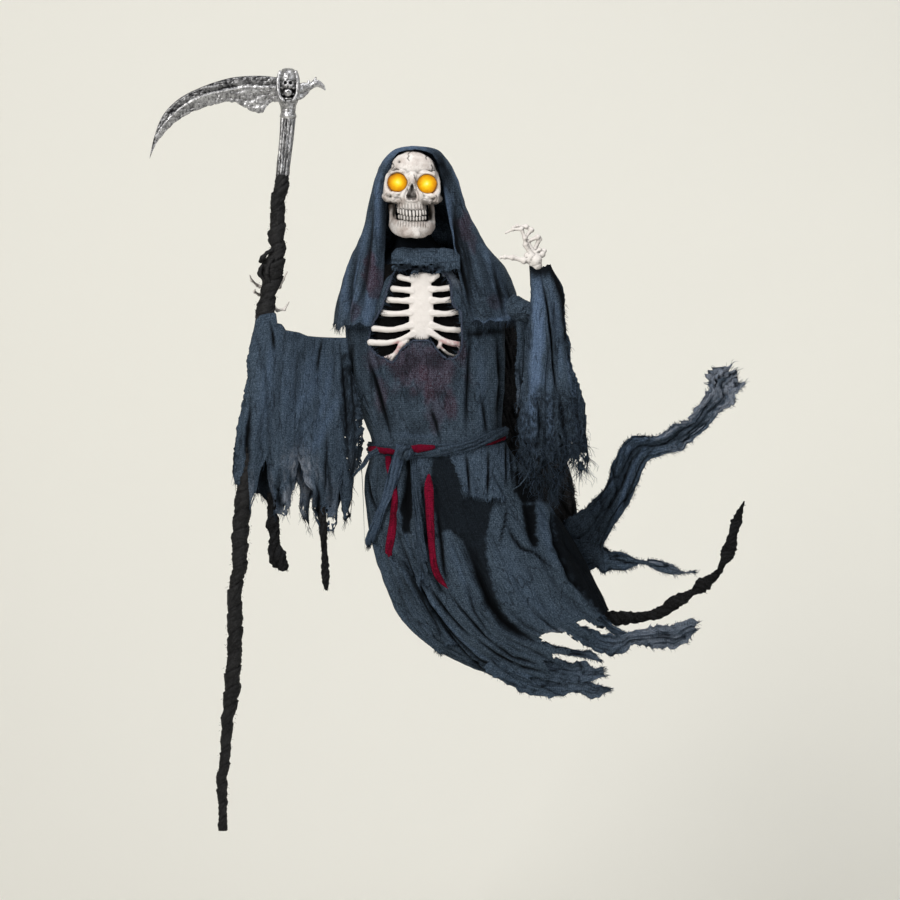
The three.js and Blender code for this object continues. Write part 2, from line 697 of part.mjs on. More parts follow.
// Blade: its back, the ridge along it and its edge, as [x, z] curves from the tip to the socket,
// and the lug below its root.
const BLADE_BACK = [[-620, 18], [-599, 69], [-559, 109], [-506, 136], [-445, 156], [-398, 162], [-352, 162],
  [-316, 157]];
const BLADE_RIDGE = [[-618, 10], [-597, 46], [-559, 83], [-506, 113], [-445, 128], [-398, 136], [-352, 136],
  [-316, 134]];
const BLADE_EDGE = [[-614, 2], [-588, 32], [-553, 63], [-506, 84], [-445, 99], [-408, 92], [-380, 92],
  [-316, 98]];
const BLADE_TIP = [-632, -36];
const BLADE_LUG = [[-420, 98], [-395, 84], [-363, 74], [-354, 84], [-344, 98], [-352, 112], [-410, 112]];
const BLADE_STEPS = 11;

function makeBlade(grow = 0) {
  const [back, ridge, edge] = [BLADE_BACK, BLADE_RIDGE, BLADE_EDGE].map(through);
  const ring = (t) => {
    const [[bx, bz], [rx, rz], [ex, ez]] = [back(t), ridge(t), edge(t)];
    const root = t === 1 ? grow : 0;
    const half = (BLADE_THICKNESS / 2) * lerp(0.5, 1, t) + grow;
    const [sx, sz] = [lerp(bx, rx, 0.25), lerp(bz, rz, 0.25)];
    const front = [
      [bx + root, -half * 0.4, bz + grow],
      [sx + root, -half, sz],
      [rx + root, -half, rz],
      [ex + root, -0.6 - grow, ez - grow],
    ];
    const behind = front.map(([x, y, z]) => [x, -y, z]).reverse();
    return [...front, ...behind].map(([x, y, z]) => [x, SCYTHE_Y + y, z]);
  };
  const tip = ring(0).map(([, y], k) => {
    const fromEnd = Math.min(k, 7 - k);
    return [BLADE_TIP[0] - 0.3 * fromEnd, lerp(SCYTHE_Y, y, 0.2), BLADE_TIP[1] - 0.6 * fromEnd];
  });
  const rings = [tip];
  for (let i = 0; i <= BLADE_STEPS; i++) rings.push(ring(i / BLADE_STEPS));
  return joinedUp([loft(rings), plate(BLADE_LUG, SCYTHE_Y - 4, SCYTHE_Y + 4)]);
}

// The socket that joins blade, beak and neck, with a small skull on its front.
// Body rows: z, half width, half depth.
const SOCKET_X = -299;
const SOCKET_BODY = [[61, 19, 20], [92, 20, 22], [106, 25, 24], [150, 26, 26], [176, 18, 18]];
const BEAK = [
  [-276, 134], [-262, 150], [-240, 150], [-233, 160], [-218, 146], [-210, 128], [-236, 136], [-250, 128],
  [-260, 112], [-276, 104],
];

function makeSocket() {
  const body = rod(SOCKET_BODY.map(([z, w, d]) => [SOCKET_X, SCYTHE_Y, z, w, d]), 10);
  const head = ball([SOCKET_X, SCYTHE_Y - 14, 150], [21, 20, 25]);
  const jaw = ball([SOCKET_X, SCYTHE_Y - 20, 121], [13, 14, 16], 8, 6);
  const hollows = [-9, 9].map((side) => ball([SOCKET_X + side, SCYTHE_Y - 35, 143], [6, 9, 6], 6, 4));
  const beak = plate(BEAK, SCYTHE_Y - 5, SCYTHE_Y + 5);
  return largest(joinedUp([body, head, jaw, beak]).subtract(joinedUp([...hollows, makeBlade(GAP)])));
}

// The skull, upright about the point between its eyes, then leaned over. Rows from the crown to
// the chin: z, half width, front y, back y.
const SKULL_SECTIONS = [
  [77, 8, -14, 24],
  [68, 32, -44, 52],
  [50, 50, -66, 74],
  [26, 61, -79, 88],
  [0, 64, -84, 92],
  [-22, 62, -83, 84],
  [-44, 62, -88, 60],
  [-66, 57, -88, 30],
  [-92, 53, -86, 4],
  [-114, 43, -86, -16],
  [-130, 27, -82, -36],
  [-135, 14, -76, -46],
];
const NOSE = [[0, -2], [8, -18], [13, -36], [7, -42], [0, -38], [-7, -42], [-13, -36], [-8, -18]];
const SKULL_AROUND = 16;
const TEETH = 7;

function skullSection([z, halfWidth, front, back]) {
  return Array.from({ length: SKULL_AROUND }, (_, k) => {
    const turn = (2 * Math.PI * k) / SKULL_AROUND;
    const [c, s] = [Math.cos(turn), Math.sin(turn)];
    return [halfWidth * c, (front + back) / 2 + ((back - front) / 2) * s, z];
  });
}

// A row of teeth as one bumpy bar along the jaw's curve.
function toothRow(z, halfHeight, halfWidth, y) {
  const points = [];
  for (let i = 0; i <= 2 * TEETH; i++) {
    const x = lerp(-halfWidth, halfWidth, i / (2 * TEETH));
    const plump = i % 2 ? 1 : 0.72;
    points.push([x, y + 0.011 * x * x, z, halfHeight * plump, 5 * plump]);
  }
  return rod(points, 5);
}

function makeSkull() {
  const cheeks = [-1, 1].map((side) => ball([side * 50, -50, -36], [19, 23, 14], 8, 6));
  const browRidge = ball([0, -62, 22], [52, 26, 12], 10, 5);
  const socket = EYE_RADIUS + EYE_ROOM;
  const hollows = [-1, 1].flatMap((side) => [
    ball([(side * EYE_SPACING) / 2, -80, 0], [socket, 34, socket - 1], 12, 5),
    ball([side * 62, -36, -76], [16, 26, 18], 8, 6),
  ]);
  hollows.push(plate(NOSE, -120, -72));
  const bone = joinedUp([loft(SKULL_SECTIONS.map(skullSection)), ...cheeks, browRidge]);
  const teeth = [toothRow(-71, 11, 37, -91), toothRow(-93, 9, 35, -90)];
  return largest(joinedUp([bone.subtract(joinedUp(hollows)), ...teeth]));
}

function placedOnSkull(made) {
  return made.rotate([0, SKULL_TURN_DEGREES, 0]).translate(BROW_CENTRE);
}

function makeEye(side) {
  return placedOnSkull(ball([(side * EYE_SPACING) / 2, -67, 0], [EYE_RADIUS, 13, EYE_RADIUS - 1], 12, 6));
}

// Hands: each row is a chain of bones, its joints given as [x, y, z, radius]. A bone is thinner
// between its joints.
const BONE_SIDES = 4;
const BONE_WAIST = 0.65;

function bones(chains) {
  return joinedUp(
    chains.map((chain) => {
      const points = chain.slice(0, 1);
      for (let i = 1; i < chain.length; i++) {
        const waist = chain[i].map((value, c) => (value + chain[i - 1][c]) / 2);
        waist[3] *= BONE_WAIST;
        points.push(waist, chain[i]);
      }
      return rod(points.map(([x, y, z, radius]) => [x, y, z, radius, radius]), BONE_SIDES);
    }),
  );
}

const RAISED_HAND = [
  [[301, -97, -291, 9], [300, -98, -278, 10], [284, -100, -268, 7]],
  [[296, -98, -276, 8], [262, -104, -276, 5.5], [236, -108, -271, 5], [211, -110, -272, 2.5]],
  [[292, -98, -270, 7], [272, -104, -240, 5.5], [284, -108, -206, 5], [254, -112, -200, 4],
    [226, -114, -214, 2]],
  [[300, -94, -266, 7], [284, -96, -228, 5.5], [302, -100, -198, 5], [276, -104, -196, 4],
    [250, -106, -206, 2]],
  [[306, -90, -266, 7], [304, -92, -232, 5.5], [306, -96, -220, 5], [282, -104, -228, 4],
    [270, -108, -244, 2]],
  [[308, -88, -270, 6.5], [318, -88, -250, 5], [314, -94, -234, 4], [300, -100, -240, 2]],
];
const HOLDING_HAND = [
  [[-322, -166, -418, 8], [-330, -160, -372, 10], [-344, -164, -350, 8]],
  [[-338, -162, -352, 7], [-372, -172, -330, 5.5], [-386, -196, -326, 5], [-384, -222, -334, 2]],
  [[-338, -162, -360, 7], [-376, -172, -352, 5.5], [-389, -198, -352, 5], [-386, -224, -358, 2]],
  [[-330, -162, -358, 7], [-312, -176, -330, 5.5], [-306, -198, -318, 5], [-303, -216, -306, 2]],
  [[-330, -162, -372, 7], [-314, -178, -384, 5.5], [-306, -196, -388, 4.5], [-298, -206, -374, 2]],
];

// Tails and drapes
const BACK_DRAPE_EDGE = [[247, -445], [319, -615], [380, -784], [399, -905], [416, -1009], [470, -1118]];
const BACK_DRAPE_THICKNESS = 6;

function makeBackDrape() {
  const edge = through(BACK_DRAPE_EDGE);
  const rings = [];
  for (let i = 0; i <= 7; i++) {
    const [x, z] = edge(i / 7);
    const wide = lerp(90, 170, smooth(i, 0, 4));
    const front = [];
    const back = [];
    for (let k = 0; k <= 5; k++) {
      const s = k / 5;
      const y = 136 - 40 * s * s + 6 * Math.sin(9 * s + 0.3 * i);
      front.push([x - wide * (1 - s), y, z]);
      back.push([x - wide * (1 - s), y + BACK_DRAPE_THICKNESS, z]);
    }
    rings.push([...front, ...back.reverse()]);
  }
  return loft(rings);
}

// Torn tails, [x, y, z, half width].
const TAILS = {
  tail_upper: [
    [406, 64, -975, 44], [449, 66, -908, 42], [482, 66, -832, 36], [511, 68, -770, 36], [540, 66, -733, 28],
    [586, 60, -711, 25], [646, 54, -675, 28], [695, 48, -634, 27], [736, 44, -592, 26], [770, 42, -542, 18],
  ],
  tail_middle: [
    [437, 50, -1016, 14], [477, 66, -1012, 20], [525, 74, -1014, 14], [561, 74, -1021, 9],
    [610, 72, -1033, 13], [675, 70, -1033, 3],
  ],
};

// Twisted strips, [x, y, z, half width, half depth].
const BLACK_TAIL = [
  [490, 36, -1144, 13, 8], [520, 34, -1150, 12, 9], [561, 30, -1140, 14, 8], [610, 26, -1123, 13, 9],
  [646, 22, -1101, 12, 9], [682, 18, -1079, 14, 8], [709, 16, -1050, 10, 9], [736, 16, -1019, 14, 8],
  [755, 18, -983, 13, 8], [774, 20, -941, 15, 8], [791, 22, -900, 10, 6], [808, 24, -864, 2, 2],
];
const CUFF_STRIPS = {
  cuff_strip_wide: [
    [-341, -175, -846, 16, 12], [-336, -176, -900, 17, 12], [-332, -176, -960, 18, 13],
    [-320, -176, -1000, 22, 14], [-312, -176, -1021, 12, 8],
  ],
  cuff_strip_narrow: [
    [-220, -110, -880, 9, 7], [-216, -110, -966, 9, 7], [-212, -110, -1035, 11, 8],
    [-210, -110, -1070, 5, 4],
  ],
};

function cuffStrip(points, grow = 0) {
  return rod(points.map(([x, y, z, w, d]) => [x, y, z, w + grow, d + grow]), 6, 6);
}

// Assembly. A piece that passes through cloth is cut out of the cloth with a small gap.
const bellRoom = capeBell(GAP, 12);
const robeRoom = robeTube(GAP);
const shaftRoom = makeShaft(2 * GAP);
const cuffRoom = joinedUp(Object.values(CUFF_STRIPS).map((points) => cuffStrip(points, 2 * GAP)));
const bodyRoom = joinedUp([bellRoom, robeRoom]);

const holdingSleeve = sleeve(HOLDING_SLEEVE).subtract(joinedUp([bodyRoom, shaftRoom, cuffRoom]));
const raisedSleeve = joinedUp([sleeve(RAISED_SLEEVE), rod(RAISED_UPPER_ARM, 10)]).subtract(bodyRoom);

const figure = new THREE.Group();
figure.add(
  meshOf("skull", placedOnSkull(makeSkull()), BONE),
  meshOf("eye_left", makeEye(1), AMBER_LENS),
  meshOf("eye_right", makeEye(-1), AMBER_LENS),
  meshOf("hooded_cape", makeCape(), BLUE_GAUZE),
  meshOf("collar", makeCollar(), BLUE_GAUZE),
  meshOf("robe", makeRobe(), BLUE_GAUZE),
  meshOf("chest_lining", makeLining(), BLACK_GAUZE),
  meshOf("rib_cage", makeRibs(), BONE),
  meshOf("sash", makeSash(), BLUE_GAUZE),
  meshOf("ribbon", makeRibbon(), CRIMSON_CLOTH),
  meshOf("sleeve_holding_scythe", largest(holdingSleeve), BLUE_GAUZE),
  meshOf("sleeve_raised", largest(raisedSleeve), BLUE_GAUZE),
  meshOf("hand_holding_scythe", largest(bones(HOLDING_HAND).subtract(shaftRoom)), BONE),
  meshOf("hand_raised", bones(RAISED_HAND), BONE),
  meshOf("scythe_blade", makeBlade(), OLD_SILVER),
  meshOf("scythe_socket", makeSocket(), OLD_SILVER),
  meshOf("scythe_neck", makeNeck(), OLD_SILVER),
  meshOf("scythe_shaft", makeShaft(), BLACK_WRAP),
  meshOf("back_drape", makeBackDrape(), BLACK_GAUZE),
  meshOf("tail_black", rod(BLACK_TAIL, 6), BLACK_GAUZE),
  ...Object.entries(TAILS).map(([name, points]) => meshOf(name, strip(points, 11, 5), BLUE_GAUZE)),
  ...Object.entries(CUFF_STRIPS).map(([name, points]) => meshOf(name, cuffStrip(points), BLACK_GAUZE)),
);

export default figure;
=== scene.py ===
# %% [markdown]
# # A hanging grim reaper in torn gauze
# The real object is a life-size hanging figure: a moulded skull with lamps for eyes, a moulded rib
# cage and hands, a robe, cape and sleeves of torn gauze, and a plastic scythe wound with cloth.
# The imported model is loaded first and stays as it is. Its nodes say where every piece goes, so
# the finer pieces are built in the same place, in the same frame, with no fitting afterwards.

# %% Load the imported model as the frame
import math

import bpy
import numpy as np
from mathutils import Euler, Matrix, Vector


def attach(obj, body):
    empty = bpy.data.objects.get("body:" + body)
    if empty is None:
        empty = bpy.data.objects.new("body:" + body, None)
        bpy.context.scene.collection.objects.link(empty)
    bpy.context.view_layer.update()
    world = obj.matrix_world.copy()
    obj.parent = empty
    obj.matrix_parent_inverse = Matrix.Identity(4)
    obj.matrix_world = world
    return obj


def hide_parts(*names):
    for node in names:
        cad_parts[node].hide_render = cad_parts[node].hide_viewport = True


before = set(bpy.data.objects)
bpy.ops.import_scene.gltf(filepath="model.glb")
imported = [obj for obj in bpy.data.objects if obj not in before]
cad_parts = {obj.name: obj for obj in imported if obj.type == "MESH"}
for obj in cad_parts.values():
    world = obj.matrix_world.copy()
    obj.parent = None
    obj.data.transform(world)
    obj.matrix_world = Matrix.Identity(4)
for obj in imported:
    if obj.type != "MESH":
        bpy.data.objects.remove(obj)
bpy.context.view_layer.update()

print("nodes in the frame:", len(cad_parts))

# %% [markdown]
# ## Measures
# Places are written in millimetres, as a maker would, and turned into Blender's metres in one
# place, when a mesh is made. X runs to the viewer's right, Y away from the viewer, Z up, and the
# origin is the crown of the hood, where the figure hangs.

# %% Driving measures
MM = 0.001
SKULL_TURN = math.radians(2.6)
BROW_CENTRE = np.array([-2.0, -12.0, -90.0])
EYE_RADIUS = 22.0
EYE_SPACING = 72.0
CHEST_CENTRE_X = 21.0
CHEST_FLOOR_Y = -58.0
RIB_FRONT_Y = -84.0
SCYTHE_Y = -200.0
CLOTH_THICKNESS = 1.3
print("the scythe hangs", -SCYTHE_Y, "mm in front of the body")

# %% [markdown]
# ## Camera, light and floor
# The figure is seen straight from the front and from far away, so a long lens keeps the near
# scythe and the far tails at one scale. The light is soft: a big lamp on the upper left, a weaker
# one on the right and one above for the top of the hood. A small one behind lights the wall low
# down on the right, where the figure would leave it dark. The floor curves up into the wall.

# %% Camera
VIEW_CENTRE = Vector((0.0895, -0.080, -0.7357))
VIEW_WIDTH = 2.178
LENS = 250.0
SENSOR = 36.0
camera_data = bpy.data.cameras.new("camera")
camera_data.lens = LENS
camera_data.sensor_width = SENSOR
camera = bpy.data.objects.new("camera", camera_data)
camera.location = VIEW_CENTRE - Vector((0, VIEW_WIDTH * LENS / SENSOR, 0))
camera.rotation_euler = (math.pi / 2, 0, 0)
camera_data.clip_end = 100
bpy.context.collection.objects.link(camera)
bpy.context.scene.camera = camera
print("camera stands", round(-camera.location.y, 2), "m in front")

# %% Lamps
def add_lamp(name, place, aim, size, watts, colour):
    data = bpy.data.lights.new(name, "AREA")
    data.shape = "RECTANGLE"
    data.size, data.size_y = size
    data.energy = watts
    data.color = colour
    lamp = bpy.data.objects.new(name, data)
    lamp.location = place
    lamp.rotation_euler = (Vector(aim) - Vector(place)).to_track_quat("-Z", "Y").to_euler()
    bpy.context.collection.objects.link(lamp)


add_lamp("key", (-2.2, -3.4, 1.5), (0.0, 0, -0.6), (1.6, 2.2), 142, (1.0, 0.98, 0.95))
add_lamp("fill", (3.2, -3.2, 0.2), (0.1, 0, -0.7), (2.0, 2.6), 50, (0.95, 0.97, 1.0))
add_lamp("top", (0.3, -1.3, 2.5), (0.05, 0, -0.4), (1.8, 1.2), 44, (1.0, 1.0, 1.0))
add_lamp("wall", (2.3, 0.9, -1.4), (0.8, 2.6, -1.6), (1.2, 1.2), 5, (1.0, 0.99, 0.96))
world = bpy.data.worlds.new("studio")
bpy.context.scene.world = world
world.use_nodes = True
world.node_tree.nodes["Background"].inputs["Color"].default_value = (0.90, 0.88, 0.83, 1)
world.node_tree.nodes["Background"].inputs["Strength"].default_value = 0.33
bpy.context.scene.view_settings.view_transform = "Standard"
print("lamps:", len(bpy.data.lights))

# %% [markdown]
# The floor is one strip of grid that runs towards the viewer and curves up behind the figure.

# %% Floor that curves into the wall
FLOOR_Z = -2.0
WALL_Y = 2.6
SWEEP_RADIUS = 1.4


def make_floor():
    profile = [(-22.0, FLOOR_Z)]
    for step in range(13):
        turn = math.radians(90) * step / 12
        y = WALL_Y - SWEEP_RADIUS + SWEEP_RADIUS * math.sin(turn)
        profile.append((y, FLOOR_Z + SWEEP_RADIUS * (1 - math.cos(turn))))
    profile.append((WALL_Y, 7.0))
    verts = [(x, y, z) for y, z in profile for x in (-9.0, 9.0)]
    faces = [(2 * i, 2 * i + 1, 2 * i + 3, 2 * i + 2) for i in range(len(profile) - 1)]
    mesh = bpy.data.meshes.new("floor")
    mesh.from_pydata(verts, [], faces)
    mesh.shade_smooth()
    floor = bpy.data.objects.new("floor", mesh)
    bpy.context.collection.objects.link(floor)
    paper = bpy.data.materials.new("studio_paper")
    paper.use_nodes = True
    shader = paper.node_tree.nodes["Principled BSDF"]
    shader.inputs["Base Color"].default_value = (0.862, 0.853, 0.802, 1)
    shader.inputs["Roughness"].default_value = 0.9
    shader.inputs["Specular IOR Level"].default_value = 0.1
    # The back of the paper lets light and sight through, so the figure can be seen from behind too.
    nodes, links = paper.node_tree.nodes, paper.node_tree.links
    either = nodes.new("ShaderNodeMixShader")
    links.new(nodes.new("ShaderNodeNewGeometry").outputs["Backfacing"], either.inputs[0])
    links.new(shader.outputs[0], either.inputs[1])
    links.new(nodes.new("ShaderNodeBsdfTransparent").outputs[0], either.inputs[2])
    links.new(either.outputs[0], nodes["Material Output"].inputs["Surface"])
    mesh.materials.append(paper)


make_floor()
print("floor at", FLOOR_Z, "m")

# %% [markdown]
# ## Curves and noise
# Most of this figure is hanging cloth. Its shape comes from a few measured edges with smooth
# curves drawn through them, and from noise that always gives the same value at the same place,
# so that every run makes the same folds. Everything works on whole arrays of points at once.

# %% Smooth curves
def through(rows, t):
    """Points of a smooth curve through rows of numbers, for t from 0 to 1."""
    rows = np.asarray(rows, float)
    last = len(rows) - 1
    s = np.clip(t, 0, 1) * last
    i = np.minimum(np.floor(s).astype(int), last - 1)
    f = (s - i)[..., None]
    a, b, d, e = (rows[np.clip(i + k, 0, last)] for k in (-1, 0, 1, 2))
    bend = (2 * a - 5 * b + 4 * d - e) * f + (3 * b - a - 3 * d + e) * f * f
    return 0.5 * (2 * b + (d - a) * f + bend * f)


def ramp(value, low, high):
    s = np.clip((value - low) / (high - low), 0, 1)
    return s * s * (3 - 2 * s)


def blend(a, b, t):
    return a + (b - a) * t


def distance_to(points, x, z):
    """Distance from x, z to a line through points, and how far along it the nearest place is."""
    best = np.full(np.shape(x), np.inf)
    where = np.zeros(np.shape(x))
    spans = len(points) - 1
    for i, ((ax, az), (bx, bz)) in enumerate(zip(points, points[1:])):
        dx, dz = bx - ax, bz - az
        t = np.clip(((x - ax) * dx + (z - az) * dz) / (dx * dx + dz * dz), 0, 1)
        d = np.hypot(x - ax - t * dx, z - az - t * dz)
        where = np.where(d < best, (i + t) / spans, where)
        best = np.minimum(best, d)
    return best, where


def inside(outline, x, z):
    within = np.zeros(np.shape(x), bool)
    for (ax, az), (bx, bz) in zip(outline, outline[1:] + outline[:1]):
        if az == bz:
            continue
        crosses = (az > z) != (bz > z)
        within ^= crosses & (x < ax + (bx - ax) * (z - az) / (bz - az))
    return within


print("curve test:", through([[0.0], [1.0], [4.0]], np.array([0.0, 0.5, 1.0])).ravel())

# %% [markdown]
# The noise puts a random height on each corner of a lattice and blends between the corners.
# Stretching the lattice in one direction turns its lumps into folds, and taking the distance
# from zero turns the lumps into sharp creases, as in crumpled gauze.

# %% Noise
def corner_heights(cell, seed):
    primes = np.array([73856093, 19349663, 83492791])
    mixed = np.bitwise_xor.reduce(cell * primes, axis=-1) ^ (seed * 40503 + 12289)
    mixed = ((mixed ^ (mixed >> 13)) * 1274126177) & 0xFFFFFFFF
    mixed ^= mixed >> 15
    return (mixed & 0xFFFF) / 32767.5 - 1


def lumps(x, y, z, size, seed=0):
    """Smooth noise from -1 to 1. Size is the lump's size in mm, one number or three."""
    place = np.stack(np.broadcast_arrays(x, y, z), axis=-1) / np.asarray(size, float)
    cell = np.floor(place).astype(np.int64)
    f = place - cell
    f = f * f * (3 - 2 * f)
    total = np.zeros(place.shape[:-1])
    for corner in range(8):
        step = np.array([corner & 1, (corner >> 1) & 1, corner >> 2])
        weight = np.prod(np.where(step == 1, f, 1 - f), axis=-1)
        total += weight * corner_heights(cell + step, seed)
    return total


def crumple(x, y, z, size, seed=0):
    """Crumpled cloth: 0 on flat parts and down to -1 along sharp creases."""
    size = np.asarray(size, float)
    coarse = np.abs(lumps(x, y, z, size, seed))
    fine = np.abs(lumps(x, y, z, size * 0.5, seed + 7))
    return -np.exp(-7 * coarse) - 0.5 * np.exp(-7 * fine)


def streaks(lines, x, z, seed=5):
    """Soft lines of colour: points from top to bottom, half width, strength."""
    total = np.zeros(np.shape(x))
    ragged = 1 + 0.5 * lumps(x, 2, z, (7, 9, 40), seed) + 0.3 * lumps(x, 6, z, (3, 9, 14), seed + 1)
    for points, width, strength in lines:
        d, along = distance_to(points, x, z)
        ends = np.sin(np.pi * np.clip(along, 0.03, 0.97)) ** 0.5
        total = np.maximum(total, strength * ends * np.exp(-((d / (width * ragged)) ** 2)))
    return total


print("noise test:", round(float(lumps(10.0, 20.0, 30.0, 15.0, 1)), 3))

# %% [markdown]
# ## Making a mesh
# Cloth is made as a grid of points. Its UV map holds the distance along the cloth in metres, so
# the weave keeps its size. Three numbers ride on every point for the finish: how dark the painted
# shade in a fold is, how stained the cloth is, and how much painted blue highlight lies on it. The
# tails and the black strips carry a fourth mark, for cloth that has gone pale and for painted sheen.

# %% Select one object alone
def only(piece):
    bpy.ops.object.select_all(action="DESELECT")
    piece.select_set(True)
    bpy.context.view_layer.objects.active = piece


def apply_modifier(piece, kind, **settings):
    only(piece)
    modifier = piece.modifiers.new(kind.lower(), kind)
    for key, value in settings.items():
        setattr(modifier, key, value)
    bpy.ops.object.modifier_apply(modifier=modifier.name)


def piece_from(name, verts, faces):
    """An object from points in millimetres."""
    mesh = bpy.data.meshes.new(name)
    mesh.from_pydata((np.asarray(verts, float) * MM).tolist(), [], faces)
    mesh.update()
    piece = bpy.data.objects.new(name, mesh)
    bpy.context.collection.objects.link(piece)
    return piece


def set_mark(piece, name, values):
    marks = piece.data.attributes.new(name, "FLOAT", "POINT")
    marks.data.foreach_set("value", np.asarray(values, np.float32).ravel())


def triangles(piece):
    return sum(len(p.vertices) - 2 for p in piece.data.polygons)


def unit(rows):
    return rows / np.linalg.norm(rows, axis=1, keepdims=True)


def around(sides):
    """Even turns round a ring, in radians."""
    return 2 * np.pi * np.arange(sides) / sides


def directions(path, closed=False):
    """Unit vectors along a path of points."""
    if closed:
        return unit(np.roll(path, -1, 0) - np.roll(path, 1, 0))
    return unit(np.gradient(path, axis=0))


def run_along(path):
    """Distance along a path of points, from its start."""
    steps = np.linalg.norm(np.diff(path, axis=0), axis=1)
    return np.concatenate([[0], np.cumsum(steps)])


# %% [markdown]
# A grid can be open, or joined side to side into a tube. Faces can be left out of it for holes
# and slits. The grid is given its thickness afterwards, so that both sides and the torn edges
# are real surfaces.

# %% Cloth from a grid of points
def grid_faces(rows, cols, closed):
    i, j = np.meshgrid(np.arange(rows - 1), np.arange(cols if closed else cols - 1), indexing="ij")
    k = (j + 1) % cols
    return np.stack([i * cols + j, (i + 1) * cols + j, (i + 1) * cols + k, i * cols + k], -1).reshape(-1, 4)


def cloth(name, points, closed=False, keep=None, marks=None, thickness=CLOTH_THICKNESS, inner=0):
    """A sheet of cloth. Points is rows x columns x 3. Keep says which faces stay."""
    rows, cols = points.shape[:2]
    faces = grid_faces(rows, cols, closed)
    if keep is not None:
        faces = faces[keep.ravel()]
    piece = piece_from(name, points.reshape(-1, 3), faces.tolist())
    down = np.linalg.norm(np.diff(points, axis=0), axis=2).mean(1)
    over = np.linalg.norm(np.diff(points, axis=1), axis=2).mean(0)
    v = np.concatenate([[0], np.cumsum(down)]) * MM
    u = np.concatenate([[0], np.cumsum(over), [over.sum() + over.mean()]]) * MM
    i, j = faces[:, 0] // cols, faces[:, 0] % cols
    corners = np.stack([u[j], v[i], u[j], v[i + 1], u[j + 1], v[i + 1], u[j + 1], v[i]], 1)
    piece.data.uv_layers.new(name="cloth").data.foreach_set("uv", corners.ravel())
    for mark, value in {"shade": 1.0, "stain": 0.0, "light": 0.0, **(marks or {})}.items():
        set_mark(piece, mark, np.broadcast_to(value, (rows, cols)))
    only(piece)
    bpy.ops.object.mode_set(mode="EDIT")
    bpy.ops.mesh.select_all(action="SELECT")
    bpy.ops.mesh.remove_doubles(threshold=0.2 * MM)
    bpy.ops.mesh.delete_loose()
    bpy.ops.object.mode_set(mode="OBJECT")
    apply_modifier(piece, "SOLIDIFY", thickness=thickness * MM, offset=0, material_offset=inner)
    piece.data.shade_smooth()
    return piece


# %% [markdown]
# Ropes, rods and blades are skins over rings of points. A skin ends in two flat caps, or its last
# ring is joined to its first.

# %% Skins over rings of points
def tube(name, points, closed=False):
    rings, sides = points.shape[:2]
    last = (rings - 1) * sides
    faces = grid_faces(rings, sides, True).tolist()
    if closed:
        faces += [[last + j, j, (j + 1) % sides, last + (j + 1) % sides] for j in range(sides)]
    else:
        faces += [list(range(sides)), list(range(rings * sides - 1, last - 1, -1))]
    piece = piece_from(name, points.reshape(-1, 3), faces)
    only(piece)
    bpy.ops.object.mode_set(mode="EDIT")
    bpy.ops.mesh.select_all(action="SELECT")
    bpy.ops.mesh.normals_make_consistent(inside=False)
    bpy.ops.object.mode_set(mode="OBJECT")
    piece.data.shade_smooth()
    return piece


def cloth_tube(name, points, closed=False, marks=None):
    """A tube with the UV map and the marks that the gauze needs."""
    piece = tube(name, points, closed)
    piece.data.uv_layers.new(name="cloth")
    for mark, value in {"shade": 1.0, "stain": 0.0, "light": 0.0, **(marks or {})}.items():
        set_mark(piece, mark, np.broadcast_to(value, points.shape[:2]))
    return piece


# %% [markdown]
# Torn gauze ends in loose threads. Each thread is a thin tapering tube of three sides that
# starts on the torn edge, curls a little and droops. Hundreds of them cost few faces.

# %% Loose threads
THREAD_RINGS, THREAD_SIDES = 5, 3


def threads(name, starts, ways, lengths, seed, radius=0.7, droop=0.25, curl=0.22, glow=0.0):
    """Thin tapering threads from starts along ways, with lengths, all in mm."""
    random = np.random.default_rng(seed)
    n, rings, sides = len(starts), THREAD_RINGS, THREAD_SIDES
    ways = unit(ways)
    spin = random.uniform(0, 2 * np.pi, n)
    side = unit(np.cross(ways, random.normal(size=(n, 3))))
    other = np.cross(ways, side)
    verts = np.zeros((n, rings * sides, 3))
    for r in range(rings):
        s = r / (rings - 1)
        bend = curl * s * np.sin(2.6 * s + spin)
        middle = starts + ways * (lengths * s)[:, None] + side * (lengths * bend)[:, None]
        middle[:, 2] -= droop * lengths * s * s
        thin = radius * (1 - 0.75 * s)
        for c in range(sides):
            turn = 2 * np.pi * c / sides
            verts[:, r * sides + c] = middle + thin * (side * np.cos(turn) + other * np.sin(turn))
    last = (rings - 1) * sides
    one = [[r + c, r + (c + 1) % sides, r + sides + (c + 1) % sides, r + sides + c]
           for r in range(0, last, sides) for c in range(sides)]
    caps = [[0, 2, 1], [last, last + 1, last + 2]]
    faces = [[v + k * rings * sides for v in face] for k in range(n) for face in one + caps]
    piece = piece_from(name, verts.reshape(-1, 3), faces)
    piece.data.shade_smooth()
    tint = np.repeat(random.uniform(0, 1, n), rings * sides)
    for mark, value in (("shade", 0.5 + 0.5 * tint), ("stain", 0 * tint), ("light", glow * tint ** 2)):
        set_mark(piece, mark, value)
    piece.data.uv_layers.new(name="cloth")
    return piece


def edge_threads(name, edge, ways, count, long, seed, glow=0.5, **more):
    """Threads spread at random along an edge, a row of points with a way out at each."""
    random = np.random.default_rng(seed)
    at = random.uniform(0, 1, count)
    starts = through(edge, at) + random.normal(0, 1.0, (count, 3))
    ways = through(ways, at) + random.normal(0, 0.35, (count, 3))
    lengths = long * random.uniform(0.15, 1.0, count) ** 1.7 + 1.4
    return threads(name, starts, ways, lengths, seed, glow=glow, **more)


def joined(name, pieces):
    """Several objects made into one."""
    bpy.ops.object.select_all(action="DESELECT")
    for piece in pieces:
        piece.select_set(True)
    bpy.context.view_layer.objects.active = pieces[0]
    bpy.ops.object.join()
    pieces[0].name = name
    pieces[0].data.name = name
    return pieces[0]


